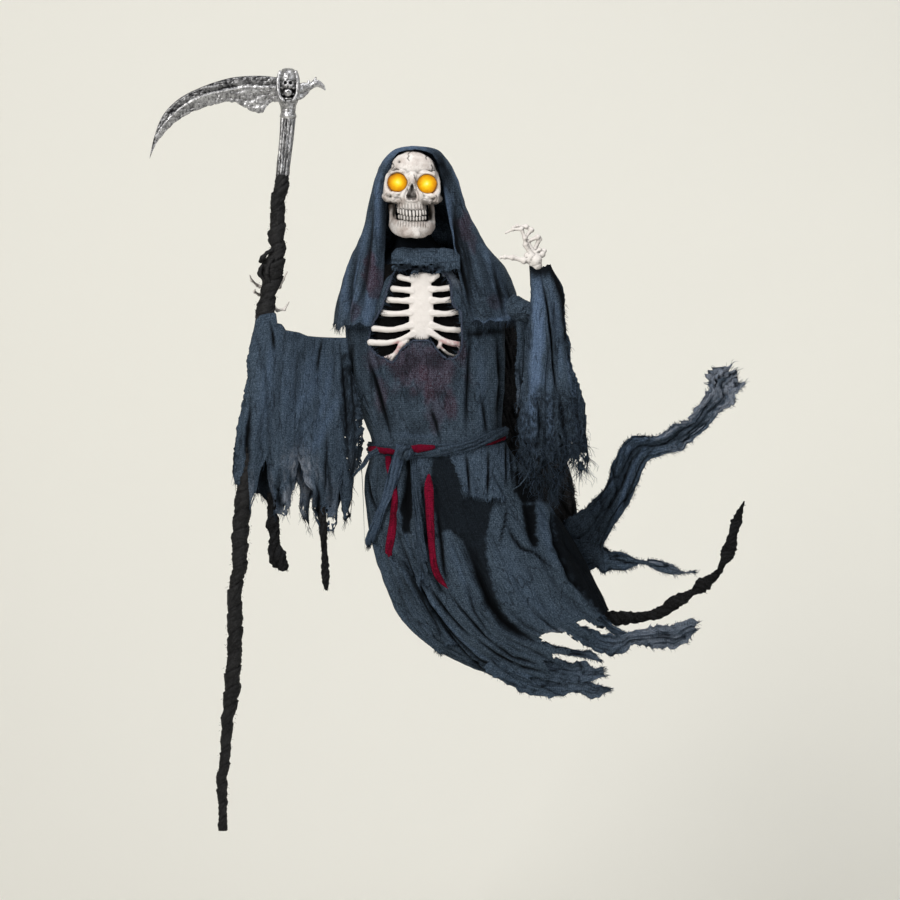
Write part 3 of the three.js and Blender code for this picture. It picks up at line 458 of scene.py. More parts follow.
# %% [markdown]
# Pieces made on fine grids are thinned where they are flat, to a share of their faces, so that the
# whole model stays under a million triangles.

# %% Finish a piece
THINNED = {
    "skull": 0.37, "scythe_shaft": 0.52, "scythe_socket": 0.32, "rib_cage": 0.46, "hand_raised": 0.42,
    "hand_holding_scythe": 0.46, "scythe_blade": 0.62, "scythe_neck": 0.52, "collar": 0.55,
    "tail_black": 0.6, "cuff_strip_wide": 0.55, "cuff_strip_narrow": 0.55, "tunic_flap": 0.65,
    "tear_edge": 0.6, "chest_lining": 0.45, "back_drape": 0.7, "sleeve_raised": 0.62,
    "sleeve_raised_arm": 0.5, "robe": 0.76, "sleeve_holding_scythe": 0.8, "hooded_cape": 0.84,
    "tail_upper": 0.8, "sash": 0.75, "ribbon": 0.7, "skirt_panel": 0.75, "skirt_fold": 0.75,
    "skirt_strip": 0.75, "hem_strip_upper": 0.65, "hem_strip_long": 0.65, "hem_strip_thin": 0.65,
    "hem_strip_low": 0.65, "hem_strip_end": 0.65, "scythe_shaft_wrap_ends": 0.8,
}


def place(piece, finish, slot, nodes=()):
    """Gives a piece its finish and says what it rides on and stands for."""
    name = piece.name.split(".")[0]
    if name in THINNED:
        apply_modifier(piece, "DECIMATE", ratio=THINNED[name])
    finishes = finish if isinstance(finish, list) else [finish]
    piece.data.materials.clear()
    for each in finishes:
        piece.data.materials.append(each)
    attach(piece, "root")
    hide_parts(*nodes)
    print(piece.name, triangles(piece), "triangles")


print("cloth and threads are ready")

# %% [markdown]
# ## Finishes
# Each material is a small tree of nodes. The gauze has an open weave of threads that follows the
# UV map, slubs and faded patches from noise on the object's own coordinates, and the three marks
# for painted shade in folds, stains and painted blue highlights, with a fourth for pale cloth and
# painted sheen. Numbers that are the same everywhere sit on the shader.

# %% Small helpers for nodes
class Finish:
    def __init__(self, name, roughness, specular, metallic=0.0):
        self.material = bpy.data.materials.new(name)
        self.material.use_nodes = True
        self.nodes = self.material.node_tree.nodes
        self.shader = self.nodes["Principled BSDF"]
        self.shader.inputs["Roughness"].default_value = roughness
        self.shader.inputs["Specular IOR Level"].default_value = specular
        self.shader.inputs["Metallic"].default_value = metallic
        self.place = self.nodes.new("ShaderNodeTexCoord").outputs["Object"]

    def link(self, value, socket):
        if isinstance(value, bpy.types.NodeSocket):
            self.material.node_tree.links.new(value, socket)
        else:
            socket.default_value = value

    def mark(self, name):
        node = self.nodes.new("ShaderNodeAttribute")
        node.attribute_name = name
        return node.outputs["Fac"]

    def uv(self):
        node = self.nodes.new("ShaderNodeUVMap")
        node.uv_map = "cloth"
        return node.outputs["UV"]

    def noise(self, scale, detail=3.0, stretch=(1, 1, 1), rough=0.5, coords=None):
        mapping = self.nodes.new("ShaderNodeMapping")
        mapping.inputs["Scale"].default_value = stretch
        self.link(coords or self.place, mapping.inputs["Vector"])
        node = self.nodes.new("ShaderNodeTexNoise")
        self.link(mapping.outputs[0], node.inputs["Vector"])
        node.inputs["Scale"].default_value = scale
        node.inputs["Detail"].default_value = detail
        node.inputs["Roughness"].default_value = rough
        return node.outputs["Fac"]

    def wave(self, scale, direction):
        node = self.nodes.new("ShaderNodeTexWave")
        node.bands_direction = direction
        self.link(self.uv(), node.inputs["Vector"])
        node.inputs["Scale"].default_value = scale
        node.inputs["Distortion"].default_value = 1.5
        node.inputs["Detail Scale"].default_value = 2.0
        return node.outputs["Fac"]

    def math(self, operation, a, b=0.0):
        node = self.nodes.new("ShaderNodeMath")
        node.operation = operation
        self.link(a, node.inputs[0])
        self.link(b, node.inputs[1])
        return node.outputs[0]

    def spread(self, value, low, high, to_low=0.0, to_high=1.0):
        node = self.nodes.new("ShaderNodeMapRange")
        self.link(value, node.inputs["Value"])
        node.inputs["From Min"].default_value = low
        node.inputs["From Max"].default_value = high
        node.inputs["To Min"].default_value = to_low
        node.inputs["To Max"].default_value = to_high
        return node.outputs[0]

    def crease(self, noise, width):
        """0 along the lines where the noise crosses its middle, and 1 away from them."""
        away = self.math("ABSOLUTE", self.math("SUBTRACT", noise, 0.5))
        return self.spread(away, 0.0, width)

    def mix(self, share, a, b):
        node = self.nodes.new("ShaderNodeMix")
        node.data_type = "RGBA"
        self.link(share, node.inputs[0])
        self.link(a, node.inputs[6])
        self.link(b, node.inputs[7])
        return node.outputs[2]

    def colour(self, value):
        self.link(value, self.shader.inputs["Base Color"])

    def bump(self, height, distance, strength=1.0):
        node = self.nodes.new("ShaderNodeBump")
        node.inputs["Strength"].default_value = strength
        node.inputs["Distance"].default_value = distance
        self.link(height, node.inputs["Height"])
        self.link(node.outputs[0], self.shader.inputs["Normal"])


def tone(r, g, b):
    return (r, g, b, 1.0)


print("node helpers are ready")

# %% [markdown]
# The gauze is the same in every piece, in three dyes: slate blue outside, near black for the
# lining and the strips behind, and crimson for the ribbon, which has a gloss.

# %% Gauze
THREADS_PER_METRE = 60.0


def gauze(name, dye, faded, deep, lit, roughness=0.92):
    f = Finish(name, roughness, specular=0.06)
    patches = f.spread(f.noise(9, 4), 0.3, 0.7)
    slubs = f.spread(f.noise(290, 4, rough=0.8), 0.36, 0.66)
    specks = f.spread(f.noise(240, 2, rough=0.6), 0.60, 0.72)
    net = f.math("MAXIMUM", f.wave(THREADS_PER_METRE, "X"), f.wave(THREADS_PER_METRE, "Y"))
    base = f.mix(patches, dye, faded)
    # The light mark paints a blue highlight, and the next mark paints cloth gone pale and, on the tails and
    # black strips, a painted sheen.
    base = f.mix(f.mark("light"), base, tone(0.145, 0.235, 0.405))
    base = f.mix(f.mark("pale_and_sheen"), base, tone(0.42, 0.46, 0.55))
    base = f.mix(f.mark("stain"), base, tone(0.078, 0.011, 0.027))
    # Raised threads take a lit copy of the dye and sunken threads a shaded copy, and bright specks take the
    # lit tone: painted highlight and painted shade at the scale of the weave.
    raised = f.math("MULTIPLY", slubs, f.spread(net, 0.0, 1.0, 0.45, 1.0))
    woven = f.mix(raised, f.mix(0.70, base, deep), f.mix(0.46, base, lit))
    woven = f.mix(f.math("MULTIPLY", specks, 0.42), woven, lit)
    # Lines along the cloth are darkened as painted shade in fine creases, and the shade mark darkens folds
    # towards the deep tone.
    fine = f.crease(f.noise(64, 2, (1, 0.5, 1), coords=f.uv()), 0.03)
    broad = f.crease(f.noise(17, 3, (1, 0.26, 1), coords=f.uv()), 0.012)
    creased = f.math("MULTIPLY", f.spread(fine, 0, 1, 0.72, 1.0), f.spread(broad, 0, 1, 0.42, 1.0))
    f.colour(f.mix(f.math("MULTIPLY", f.mark("shade"), creased), deep, woven))
    height = f.math("ADD", f.math("MULTIPLY", net, 0.5), f.math("ADD", slubs, creased))
    f.bump(height, 0.0014, 0.8)
    return f.material


BLUE_GAUZE = gauze(
    "blue_gauze", tone(0.0265, 0.0495, 0.077), tone(0.040, 0.068, 0.101),
    tone(0.0022, 0.0030, 0.0042), tone(0.16, 0.21, 0.28))
BLACK_GAUZE = gauze(
    "black_gauze", tone(0.008, 0.008, 0.009), tone(0.014, 0.014, 0.015),
    tone(0.0015, 0.0015, 0.0016), tone(0.050, 0.050, 0.052))
CRIMSON = gauze(
    "crimson_cloth", tone(0.16, 0.002, 0.018), tone(0.22, 0.003, 0.026),
    tone(0.02, 0.0006, 0.003), tone(0.36, 0.008, 0.05), 0.7)
print("gauze in", len(bpy.data.materials) - 1, "dyes")

# %% [markdown]
# The bone is moulded plastic in ivory with a grey-brown wash that settled in the hollows. The
# wash mark says how deep a hollow is, and on the skull, ribs and hands it also holds painted
# shade. The silver is paint on plastic with a black wash.

# %% Bone and silver
def bone_finish():
    f = Finish("bone_plastic", 0.5, specular=0.35)
    cloudy = f.math("MULTIPLY", f.spread(f.noise(34, 5), 0.38, 0.62, 1.0, 0.0), f.mark("mottle"))
    clean = f.mix(f.math("MULTIPLY", cloudy, 1.9), tone(0.690, 0.655, 0.628), tone(0.45, 0.395, 0.365))
    speckle = f.spread(f.noise(210, 5, rough=0.7), 0.50, 0.68)
    clean = f.mix(f.math("MULTIPLY", speckle, f.mark("mottle")), clean, tone(0.30, 0.235, 0.20))
    worn = f.mix(f.mark("wash_and_shade"), clean, tone(0.046, 0.040, 0.036))
    f.colour(f.mix(f.mark("pink"), worn, tone(0.48, 0.23, 0.24)))
    f.bump(f.math("ADD", f.noise(150, 6), f.math("MULTIPLY", f.noise(600, 3), 0.4)), 0.0011, 0.55)
    return f.material


def silver_finish():
    f = Finish("silver_paint", 0.34, specular=0.5, metallic=0.85)
    metal = f.mix(f.spread(f.noise(60, 5), 0.3, 0.7), tone(0.34, 0.34, 0.35), tone(0.62, 0.62, 0.63))
    grain = f.spread(f.noise(170, 4, (1, 1, 1), 0.75), 0.45, 0.62)
    metal = f.mix(f.math("MULTIPLY", grain, 0.75), metal, tone(0.03, 0.03, 0.034))
    f.colour(f.mix(f.mark("wash_and_shade"), metal, tone(0.012, 0.012, 0.014)))
    f.bump(f.math("ADD", f.noise(120, 5), f.math("MULTIPLY", f.noise(480, 3), 0.4)), 0.0012, 0.6)
    return f.material


BONE = bone_finish()
SILVER = silver_finish()
print("bone and silver are ready")

# %% [markdown]
# The eye is a lamp behind an amber dome: almost white in the middle, then yellow and orange, with
# a brown rim. The mark called rim is the distance from the middle, so the colours are true rings.

# %% Amber lens
def lens_finish():
    f = Finish("amber_lens", 0.5, specular=0.04)
    rings = f.nodes.new("ShaderNodeValToRGB")
    stops = [(0.0, (1.0, 0.98, 0.50)), (0.13, (1.0, 0.93, 0.16)), (0.27, (0.97, 0.76, 0.03)),
             (0.48, (0.86, 0.50, 0.006)), (0.68, (0.70, 0.32, 0.003)), (0.85, (0.54, 0.22, 0.006)),
             (1.0, (0.16, 0.06, 0.010))]
    ramp_ends = rings.color_ramp.elements
    for position, _ in stops[1:-1]:
        ramp_ends.new(position)
    for stop, (position, shade) in zip(ramp_ends, stops):
        stop.position = position
        stop.color = (*shade, 1)
    uneven = f.spread(f.noise(120, 3), 0.3, 0.7, -0.07, 0.07)
    f.link(f.math("ADD", f.mark("rim"), uneven), rings.inputs["Fac"])
    f.colour(tone(0.12, 0.04, 0.004))
    f.link(rings.outputs["Color"], f.shader.inputs["Emission Color"])
    f.shader.inputs["Emission Strength"].default_value = 1.0
    f.bump(f.noise(90, 3), 0.0006, 0.3)
    return f.material


LENS_AMBER = lens_finish()
print("lens is ready")

# %% [markdown]
# The strip round the shaft is a plain black cloth with a fine close weave and a faint gloss on
# its worn folds.

# %% Black wrap
def wrap_finish():
    f = Finish("black_wrap", 0.6, specular=0.16)
    worn = f.spread(f.noise(300, 5, rough=0.7), 0.45, 0.72)
    patches = f.spread(f.noise(30, 4), 0.35, 0.7)
    base = f.mix(patches, tone(0.0045, 0.0045, 0.005), tone(0.011, 0.011, 0.012))
    base = f.mix(f.math("MULTIPLY", worn, 0.3), base, tone(0.055, 0.055, 0.056))
    f.colour(f.mix(f.mark("shade"), tone(0.0015, 0.0015, 0.002), base))
    f.bump(f.math("ADD", f.noise(240, 5), f.math("MULTIPLY", f.noise(900, 2), 0.5)), 0.0012, 0.7)
    return f.material


BLACK_WRAP = wrap_finish()
print("wrap is ready")

# %% [markdown]
# ## The robe
# The robe is a tube of gauze. Its sections are level at the neck and turn until they stand nearly
# upright at the hem, because the skirt blows to the right. Each section needs six numbers: the
# left edge, the right edge, half its depth, and the place of its middle from front to back.

# %% Sections of the robe
ROBE_SECTIONS = [
    [-36, -190, 34, -190, 27, 25], [-50, -236, 62, -236, 42, 14], [-92, -281, 138, -281, 58, 4],
    [-160, -373, 209, -368, 78, 2], [-165, -457, 223, -457, 88, 0], [-152, -590, 222, -586, 86, 0],
    [-101, -713, 219, -704, 76, 0], [-119, -813, 288, -808, 86, 5], [-109, -929, 361, -910, 98, 10],
    [-82, -1031, 416, -1002, 102, 14], [-32, -1145, 450, -1070, 96, 16], [60, -1226, 470, -1112, 82, 16],
    [189, -1285, 480, -1135, 64, 14], [278, -1326, 486, -1152, 46, 12],
]
BELT_Z = -722.0
BELT_PINCH = 60.0
ROBE_ROUND, ROBE_DROP = 900, 1150

# Folds in front: points x, z from top to bottom, depth, half width, and how dark the painted shade in the
# fold is.
ROBE_FOLDS = [
    ([[-112, -513], [-95, -560], [-78, -620], [-49, -716]], 10, 5, 1.0),
    ([[41, -632], [55, -670], [66, -714]], 9, 5, 1.0),
    ([[140, -430], [134, -560], [128, -700]], 10, 5, 0.9),
    ([[168, -610], [176, -660], [180, -700]], 8, 5, 0.9),
    ([[-160, -470], [-150, -560], [-142, -620]], 6, 6, 0.7),
    ([[205, -450], [212, -560], [205, -690]], 8, 5, 0.85),
    ([[-20, -560], [-10, -640], [0, -705]], 3, 9, 0.15),
    ([[90, -560], [94, -640], [100, -705]], 4, 9, 0.2),
    ([[128, -740], [133, -790], [138, -850]], 9, 3.5, 0.95),
    ([[180, -728], [182, -790], [180, -850]], 9, 3.5, 0.95),
    ([[222, -700], [223, -760], [228, -830]], 8, 3, 0.95),
    ([[235, -700], [238, -760], [243, -833]], 7, 3, 0.9),
    ([[247, -700], [252, -760], [260, -833]], 7, 3, 0.95),
    ([[-7, -754], [-13, -812], [-18, -875], [-13, -921]], 14, 9, 1.0),
    ([[16, -779], [26, -854], [32, -921], [39, -979], [49, -1041], [66, -1075], [86, -1087]], 9, 5, 1.0),
    ([[57, -833], [61, -916], [70, -979], [74, -1029], [86, -1062]], 9, 6, 1.0),
    ([[-115, -787], [-105, -846], [-90, -887]], 7, 4, 1.0),
    ([[-38, -954], [-18, -996], [7, -1054], [32, -1100], [57, -1137], [91, -1179], [124, -1216],
      [157, -1250]], 11, 4, 1.0),
    ([[37, -1062], [57, -1096], [82, -1129], [107, -1158], [132, -1183]], 9, 3.5, 1.0),
    ([[86, -1079], [116, -1121], [145, -1154], [174, -1187], [199, -1208]], 9, 3.5, 1.0),
    ([[32, -1104], [66, -1154], [99, -1200], [132, -1237], [166, -1270], [199, -1291], [257, -1304]], 10,
     3.5, 1.0),
    ([[-43, -996], [-13, -1033], [16, -1087], [49, -1146], [74, -1200]], 12, 8, 0.7),
    ([[128, -1062], [148, -1128], [186, -1183]], 6, 4, 0.7),
    ([[108, -946], [132, -1004], [146, -1046]], 5, 5, 0.5),
    ([[119, -954], [145, -1008], [166, -1062], [186, -1108], [216, -1150], [257, -1183], [291, -1198]], 22,
     11, 1.0),
    ([[228, -921], [241, -946], [266, -975], [291, -983], [320, -1004], [345, -1029]], 9, 4, 1.0),
    ([[230, -871], [220, -921], [209, -966]], 7, 3.5, 0.95),
    ([[274, -854], [282, -904], [291, -954], [299, -971]], 14, 9, 1.0),
    ([[338, -850], [340, -901], [347, -961], [366, -1012], [384, -1049], [417, -1086], [449, -1128]], 14, 6,
     1.0),
    ([[230, -1120], [270, -1160], [320, -1185]], 5, 4, 0.6),
    ([[150, -1190], [200, -1230], [262, -1262], [320, -1275]], 7, 4, 0.9),
    ([[110, -1200], [160, -1245], [230, -1282]], 6, 4, 0.8),
    ([[190, -1200], [240, -1238], [300, -1255]], 6, 4, 0.8),
]
# Areas where a darker under-layer shows, and where painted shadow lies under the raised sleeve and in deep
# gaps: outline from the photograph, and how dark it is.
ROBE_AREAS = [
    ([[45, -750], [91, -754], [111, -800], [124, -846], [174, -854], [199, -854], [186, -896], [180, -946],
      [176, -987], [186, -1041], [199, -1083], [216, -1125], [249, -1162], [291, -1198], [257, -1183],
      [216, -1150], [186, -1108], [166, -1062], [145, -1008], [120, -954], [91, -929], [66, -937],
      [49, -875]], 0.86),
    ([[338, -836], [340, -901], [347, -961], [366, -1012], [384, -1049], [417, -1086], [449, -1128],
      [486, -1162], [540, -1180], [540, -1040], [440, -960], [421, -901], [394, -800]], 0.96),
    ([[262, -868], [296, -868], [301, -924], [303, -970], [287, -970], [271, -929]], 0.95),
    ([[245, -790], [361, -790], [356, -859], [324, -864], [301, -859], [268, -868], [245, -836]], 0.98),
    ([[-20, -742], [0, -742], [-1, -860], [-6, -935], [-24, -935], [-30, -870], [-12, -812]], 0.97),
    ([[20, -770], [36, -770], [24, -830], [24, -900], [34, -960], [28, -980], [20, -900]], 0.8),
]
# Lines that catch the light.
ROBE_LIGHTS = [
    ([[-34, -871], [-18, -937], [-3, -996]], 4, 0.35),
    ([[299, -854], [320, -937], [349, -1012]], 13, 0.3),
    ([[-105, -1000], [-70, -1090], [-10, -1170]], 12, 0.22),
    ([[-20, -1000], [30, -1085], [90, -1165]], 5, 0.35),
    ([[10, -1060], [60, -1130], [120, -1200], [190, -1258]], 5, 0.35),
    ([[92, -960], [118, -1040], [150, -1110]], 12, 0.2),
    ([[215, -960], [240, -1040], [300, -1110], [380, -1150]], 26, 0.16),
    ([[-176, -400], [-168, -500], [-150, -600]], 10, 0.25),
    ([[160, -480], [166, -580], [170, -690]], 12, 0.2),
    ([[-60, -700], [0, -700], [60, -704]], 5, 0.2),
    ([[200, -1250], [260, -1282], [330, -1292]], 9, 0.3),
    ([[-90, -700], [-84, -560], [-110, -470]], 8, 0.15),
]
# Rotted patches that have gone pale.
ROBE_PALE = [
    ([[50, -312], [84, -316], [118, -336]], 12, 0.55),
    ([[-95, -575], [-84, -620], [-80, -650]], 9, 0.25),
    ([[70, -540], [84, -560], [94, -575]], 9, 0.3),
    ([[320, -1178], [345, -1176], [366, -1177]], 6, 0.6),
]
# Openings in the hem, where the background shows between the strips.
HEM_GAPS = [
    [[396, -1153], [412, -1148], [440, -1158], [482, -1183], [449, -1186], [412, -1167]],
    [[304, -1187], [324, -1179], [366, -1179], [403, -1202], [436, -1224], [398, -1225], [347, -1216],
     [315, -1204]],
    [[333, -1230], [384, -1236], [470, -1244], [520, -1200], [560, -1200], [560, -1290], [394, -1290],
     [375, -1264], [356, -1250]],
    [[440, -1150], [500, -1172], [600, -1190], [600, -1060], [500, -1120], [470, -1128]],
]
print("robe:", len(ROBE_SECTIONS), "sections and", len(ROBE_FOLDS), "measured folds")

# %% [markdown]
# A point of the robe is found from how far round it lies and how far down. The measured folds are
# pressed in first. Between them the gauze hangs in finer folds that run down the body, and these
# die out towards the belt, where the sash draws the cloth in.

# %% A point of the robe
def robe_section(u, v):
    lx, lz, rx, rz, depth, middle = np.moveaxis(through(ROBE_SECTIONS, v), -1, 0)
    half = np.hypot(rx - lx, rz - lz) / 2
    way_x, way_z = (rx - lx) / (2 * half), (rz - lz) / (2 * half)
    across, forward = -np.cos(2 * np.pi * u), np.sin(2 * np.pi * u)
    x = (lx + rx) / 2 + way_x * half * across
    z = (lz + rz) / 2 + way_z * half * across
    normal = np.stack([across / half, forward / depth])
    normal /= np.linalg.norm(normal, axis=0)
    return x, z, forward, depth, middle, way_x, way_z, normal


def measured_folds(folds, x, z):
    """Depth of the measured folds at x, z, and how dark the painted shade in them is there."""
    depth, black = np.zeros(np.shape(x)), np.zeros(np.shape(x))
    for points, deep, width, dark in folds:
        d, along = distance_to(points, x, z)
        wander = 1 + 0.35 * lumps(x, 0, z, 30, 3)
        ends = np.sin(np.pi * np.clip(along, 0.04, 0.96)) ** 0.6
        d = d / (width * wander)
        depth += deep * ends * (np.exp(-d * d) - 0.4 * np.exp(-((d - 2.0) ** 2)))
        black = np.maximum(black, np.minimum(1.3 * dark * ends * np.exp(-(d / 0.95) ** 2), 1))
    return depth, black


def robe(u, v, lift=0.0):
    """Points of the robe's cloth, and how dark the painted shade in its folds is there."""
    x, z, forward, depth, middle, way_x, way_z, normal = robe_section(u, v)
    front = ramp(forward, -0.05, 0.3)
    fold, black = measured_folds(ROBE_FOLDS, x, z)
    settled = ramp(-z, 250, 420) * (1 - 0.85 * np.exp(-(((z - BELT_Z) / BELT_PINCH) ** 2)))
    skirt = ramp(-z, 760, 900)
    hang = crumple(ROBE_ROUND * u, 0, ROBE_DROP * v, (blend(34, 26, skirt.mean()), 50, 330), 11)
    small = crumple(ROBE_ROUND * u, 5, ROBE_DROP * v, (15, 50, 120), 23)
    back = 11 * np.sin(2 * np.pi * 6 * u + 3 * v) * np.clip(-forward, 0, 1)
    out = lift + settled * (-fold * front + back + (3 + 6 * skirt) * hang + 1.3 * small)
    out += 15 * front * np.exp(-(((x - CHEST_CENTRE_X) / 115) ** 4) - (((z + 400) / 120) ** 4))
    out += 1.6 * lumps(x, middle - depth * forward, z, 22, 31)
    # Crumpled creases are darkened too: painted shade.
    black = np.maximum(black * front, 0.55 * settled * np.clip(-hang - 0.45, 0, 1))
    point = np.stack([x + way_x * out * normal[0], middle - depth * forward - out * normal[1],
                      z + way_z * out * normal[0]], -1)
    return point, black


SEARCH_U, SEARCH_V = np.meshgrid(np.linspace(0.005, 0.495, 260), np.linspace(0, 1, 420), indexing="ij")
SEARCH_X, SEARCH_Z = robe_section(SEARCH_U, SEARCH_V)[:2]


def on_robe(x, z):
    """How far round and down the front of the robe a place x, z lies."""
    nearest = np.argmin((SEARCH_X - x) ** 2 + (SEARCH_Z - z) ** 2)
    return np.array([SEARCH_U.ravel()[nearest], SEARCH_V.ravel()[nearest]])


print("belt in front is at", on_robe(40, BELT_Z).round(3))

# %% [markdown]
# Where the cloth is stained is written as soft spots: a middle, a size and a strength. The chest
# has sprayed purple-red streaks. Under the belt a charcoal under-robe shows inside outlines that
# were measured above, and the same outlines hold painted shadow under the raised sleeve.

# %% Soft spots of colour
def area(outline, x, z, soft=2.4, seed=6):
    """1 inside an outline and 0 outside it, with a soft ragged edge."""
    ragged = 3.0 * lumps(x, 1, z, 14, seed) + 2.0 * lumps(x, 8, z, 5, seed + 1)
    d = distance_to(outline + outline[:1], x, z)[0]
    return ramp(np.where(inside(outline, x, z), d, -d) + ragged, -soft, soft)


def spots(list_of_spots, x, z, grain=26.0, seed=5):
    """Sum of soft spots, each [x, z, half width, half height, strength], with ragged edges."""
    total = np.zeros(np.shape(x))
    ragged = 0.35 * lumps(x, 3, z, grain, seed) + 0.25 * lumps(x, 7, z, grain / 3, seed + 1)
    for sx, sz, wide, high, strength in list_of_spots:
        d = np.hypot((x - sx) / wide, (z - sz) / high) + ragged
        total = np.maximum(total, strength * (1 - ramp(d, 0.55, 1.15)))
    return np.clip(total, 0, 1)


CHEST_STAINS = [
    [26, -548, 13, 50, 1.0], [36, -590, 15, 42, 1.0], [22, -535, 96, 75, 0.72], [-78, -600, 18, 42, 0.6],
    [92, -622, 15, 40, 0.8], [-98, -520, 24, 30, 0.5], [110, -500, 24, 32, 0.7], [55, -650, 26, 40, 0.4],
    [-20, -500, 40, 20, 0.6],
]
# Shadow that the cape's hem throws on the robe.
HEM_SHADOWS = [
    ([[120, -452], [150, -456], [190, -448], [240, -444]], 9, 1.2),
    ([[-190, -444], [-150, -440]], 6, 1.0),
]
# Grey wear and shadow over the belly, below the ribs.
BELLY_SHADOWS = [
    [-40, -545, 30, 22, 0.8], [0, -520, 26, 20, 0.8], [50, -520, 24, 24, 0.9], [-10, -600, 40, 18, 0.7],
    [60, -600, 30, 20, 0.7], [-60, -660, 30, 30, 0.6], [20, -680, 40, 22, 0.6], [-96, -560, 12, 40, 0.7],
    [104, -560, 14, 44, 0.6],
]
print(len(CHEST_STAINS), "stains and", len(ROBE_AREAS), "dark areas on the robe")

# %% [markdown]
# The chest is torn open over the ribs. The outline of the tear is measured once round, and faces
# whose middle lies inside it are left out of the grid. A little noise roughens the cut.

# %% The tear over the ribs
TEAR = [
    [-42, -300], [-56, -336], [-66, -366], [-76, -395], [-94, -425], [-105, -455], [-106, -480], [-97, -497],
    [-73, -513], [-48, -523], [-31, -499], [-2, -474], [41, -474], [58, -494], [82, -516], [107, -508],
    [117, -482], [116, -445], [113, -402], [94, -382], [88, -330], [66, -304], [21, -296],
]


def face_middles(points, closed):
    """Middles of a grid's faces, in the order that grid_faces gives them."""
    corners = points.reshape(-1, 3)[grid_faces(*points.shape[:2], closed)]
    return corners.mean(1)


print("tear has", len(TEAR), "corners")

# %% [markdown]
# The grid has more columns in front than behind, because the front has the finer folds. Its last
# row is pushed up and down for the torn hem.

# %% The robe's cloth
ROBE_COLS, ROBE_ROWS = 190, 230


def make_robe():
    even = np.arange(ROBE_COLS) / ROBE_COLS
    u = even + 0.085 * np.cos(2 * np.pi * even) - 0.085
    v = np.linspace(0.02, 1, ROBE_ROWS)
    ring = u * ROBE_ROUND
    ragged = 0.022 * lumps(ring, 0, 0, 14, 41) + 0.02 * lumps(ring, 0, 0, 45, 42) - 0.02
    v = v[:, None] + ragged[None] * ramp(v, 0.8, 1.0)[:, None]
    u = np.broadcast_to(u, v.shape)
    points, black = robe(u, v)
    x, z = points[..., 0], points[..., 2]
    front = robe_section(u, v)[2] > -0.1
    # Painted shade in the folds, and painted shadow on the chest under the collar and hood.
    shade = (1 - black) * (1 - 0.96 * ramp(-z, 320, 262))
    shade *= 1 - 0.6 * spots(BELLY_SHADOWS, x, z, 14, 52) * front
    shade *= 1 - 0.9 * streaks(HEM_SHADOWS, x, z, 55) * front
    for outline, dark in ROBE_AREAS:
        shade *= 1 - dark * area(outline, x, z) * front
    middle = face_middles(points, True)
    rough = 3.5 * lumps(middle[:, 0], 0, middle[:, 2], 9, 51)
    torn = inside(TEAR, middle[:, 0] + rough, middle[:, 2] + rough) & (middle[:, 1] < -20)
    for outline in HEM_GAPS:
        torn |= inside(outline, middle[:, 0] + rough, middle[:, 2] + rough)
    light = streaks(ROBE_LIGHTS, x, z, 53) * front * shade
    pale_and_sheen = streaks(ROBE_PALE, x, z, 54) * front * shade
    marks = {"shade": shade, "stain": spots(CHEST_STAINS, x, z) * front, "light": light, "pale_and_sheen": pale_and_sheen}
    piece = cloth("robe", points, closed=True, keep=~torn, marks=marks)
    place(piece, BLUE_GAUZE, "blue_gauze", ["robe"])


make_robe()

# %% [markdown]
# ## Hem strips
# The robe's hem is torn into long strips that blow to the right. A strip is a ribbon of cloth
# along a curve: it is creased lengthwise, its edges are ragged, and its end splits into points.

# %% Ribbons of torn cloth
def ribbon(rows, count, across, seed, split):
    """Grid of a strip along rows of x, y, z, half width. The far end splits into points."""
    t = np.linspace(0, 1, count)
    path = through(rows, t)
    middle, half = path[:, :3], path[:, 3]
    along = directions(middle)
    side = unit(np.cross(along, [0.0, 1.0, 0.0]))
    normal = np.cross(side, along)
    length = run_along(middle)
    s = np.linspace(-1, 1, across)
    rough = [0.16 * (1.3 * lumps(length, k, 0, 7, seed + k) + 0.9 * lumps(length, k, 0, 28, seed + 9 + k))
             for k in (0, 5)]
    torn = np.where(s[None] > 0, rough[0][:, None], -rough[1][:, None]) * np.abs(s[None])
    wide = half[:, None] * (s[None] + torn)
    creases = crumple(s[None] * half[:, None], length[:, None] * 0.16, seed, 11, seed)
    out = 4.0 * creases * 1.2
    out += 6.0 * lumps(s[None] * 26, length[:, None], seed, (30, 60, 30), seed + 3)
    points = middle[:, None] + side[:, None] * wide[..., None] + normal[:, None] * out[..., None]
    ends = split * lumps(s * half[-1], 0, seed, (6, 9, 9), seed + 4) * ramp(t, 0.75, 1.0)[:, None] ** 2
    points += along[:, None] * ends[..., None]
    # The second value darkens the creases: painted shade.
    return points, np.clip(-creases - 0.35, 0, 0.85)


def strip_piece(name, rows, count, across, seed, light, split):
    """A torn strip with threads along both edges and a fringe at its end."""
    points, dark = ribbon(rows, count, across, seed, split)
    worn = 0.5 + 0.5 * lumps(points[..., 0], 0, points[..., 2], (9, 9, 4), seed + 61)
    pale_and_sheen = light * (1 - dark) * ramp(np.linspace(0, 1, count), 0.2, 0.7)[:, None] * (0.4 + 1.3 * worn ** 2)
    piece = cloth(name, points, marks={"shade": 1 - dark, "light": 0.25 * worn, "pale_and_sheen": np.clip(pale_and_sheen, 0, 1)})
    way = points[:, -1] - points[:, 0]
    away = np.gradient(points.mean(1), axis=0)
    fringe = [
        edge_threads(name + "_a", points[:, 0], -way + 9 * away, 90, 6.8, seed + 70),
        edge_threads(name + "_b", points[:, -1], way + 9 * away, 90, 6.8, seed + 71),
        edge_threads(name + "_c", points[-1], np.repeat(away[-1:], across, 0), 40, 12, seed + 72, droop=0),
    ]
    return piece, joined(name + "_fringe", fringe)


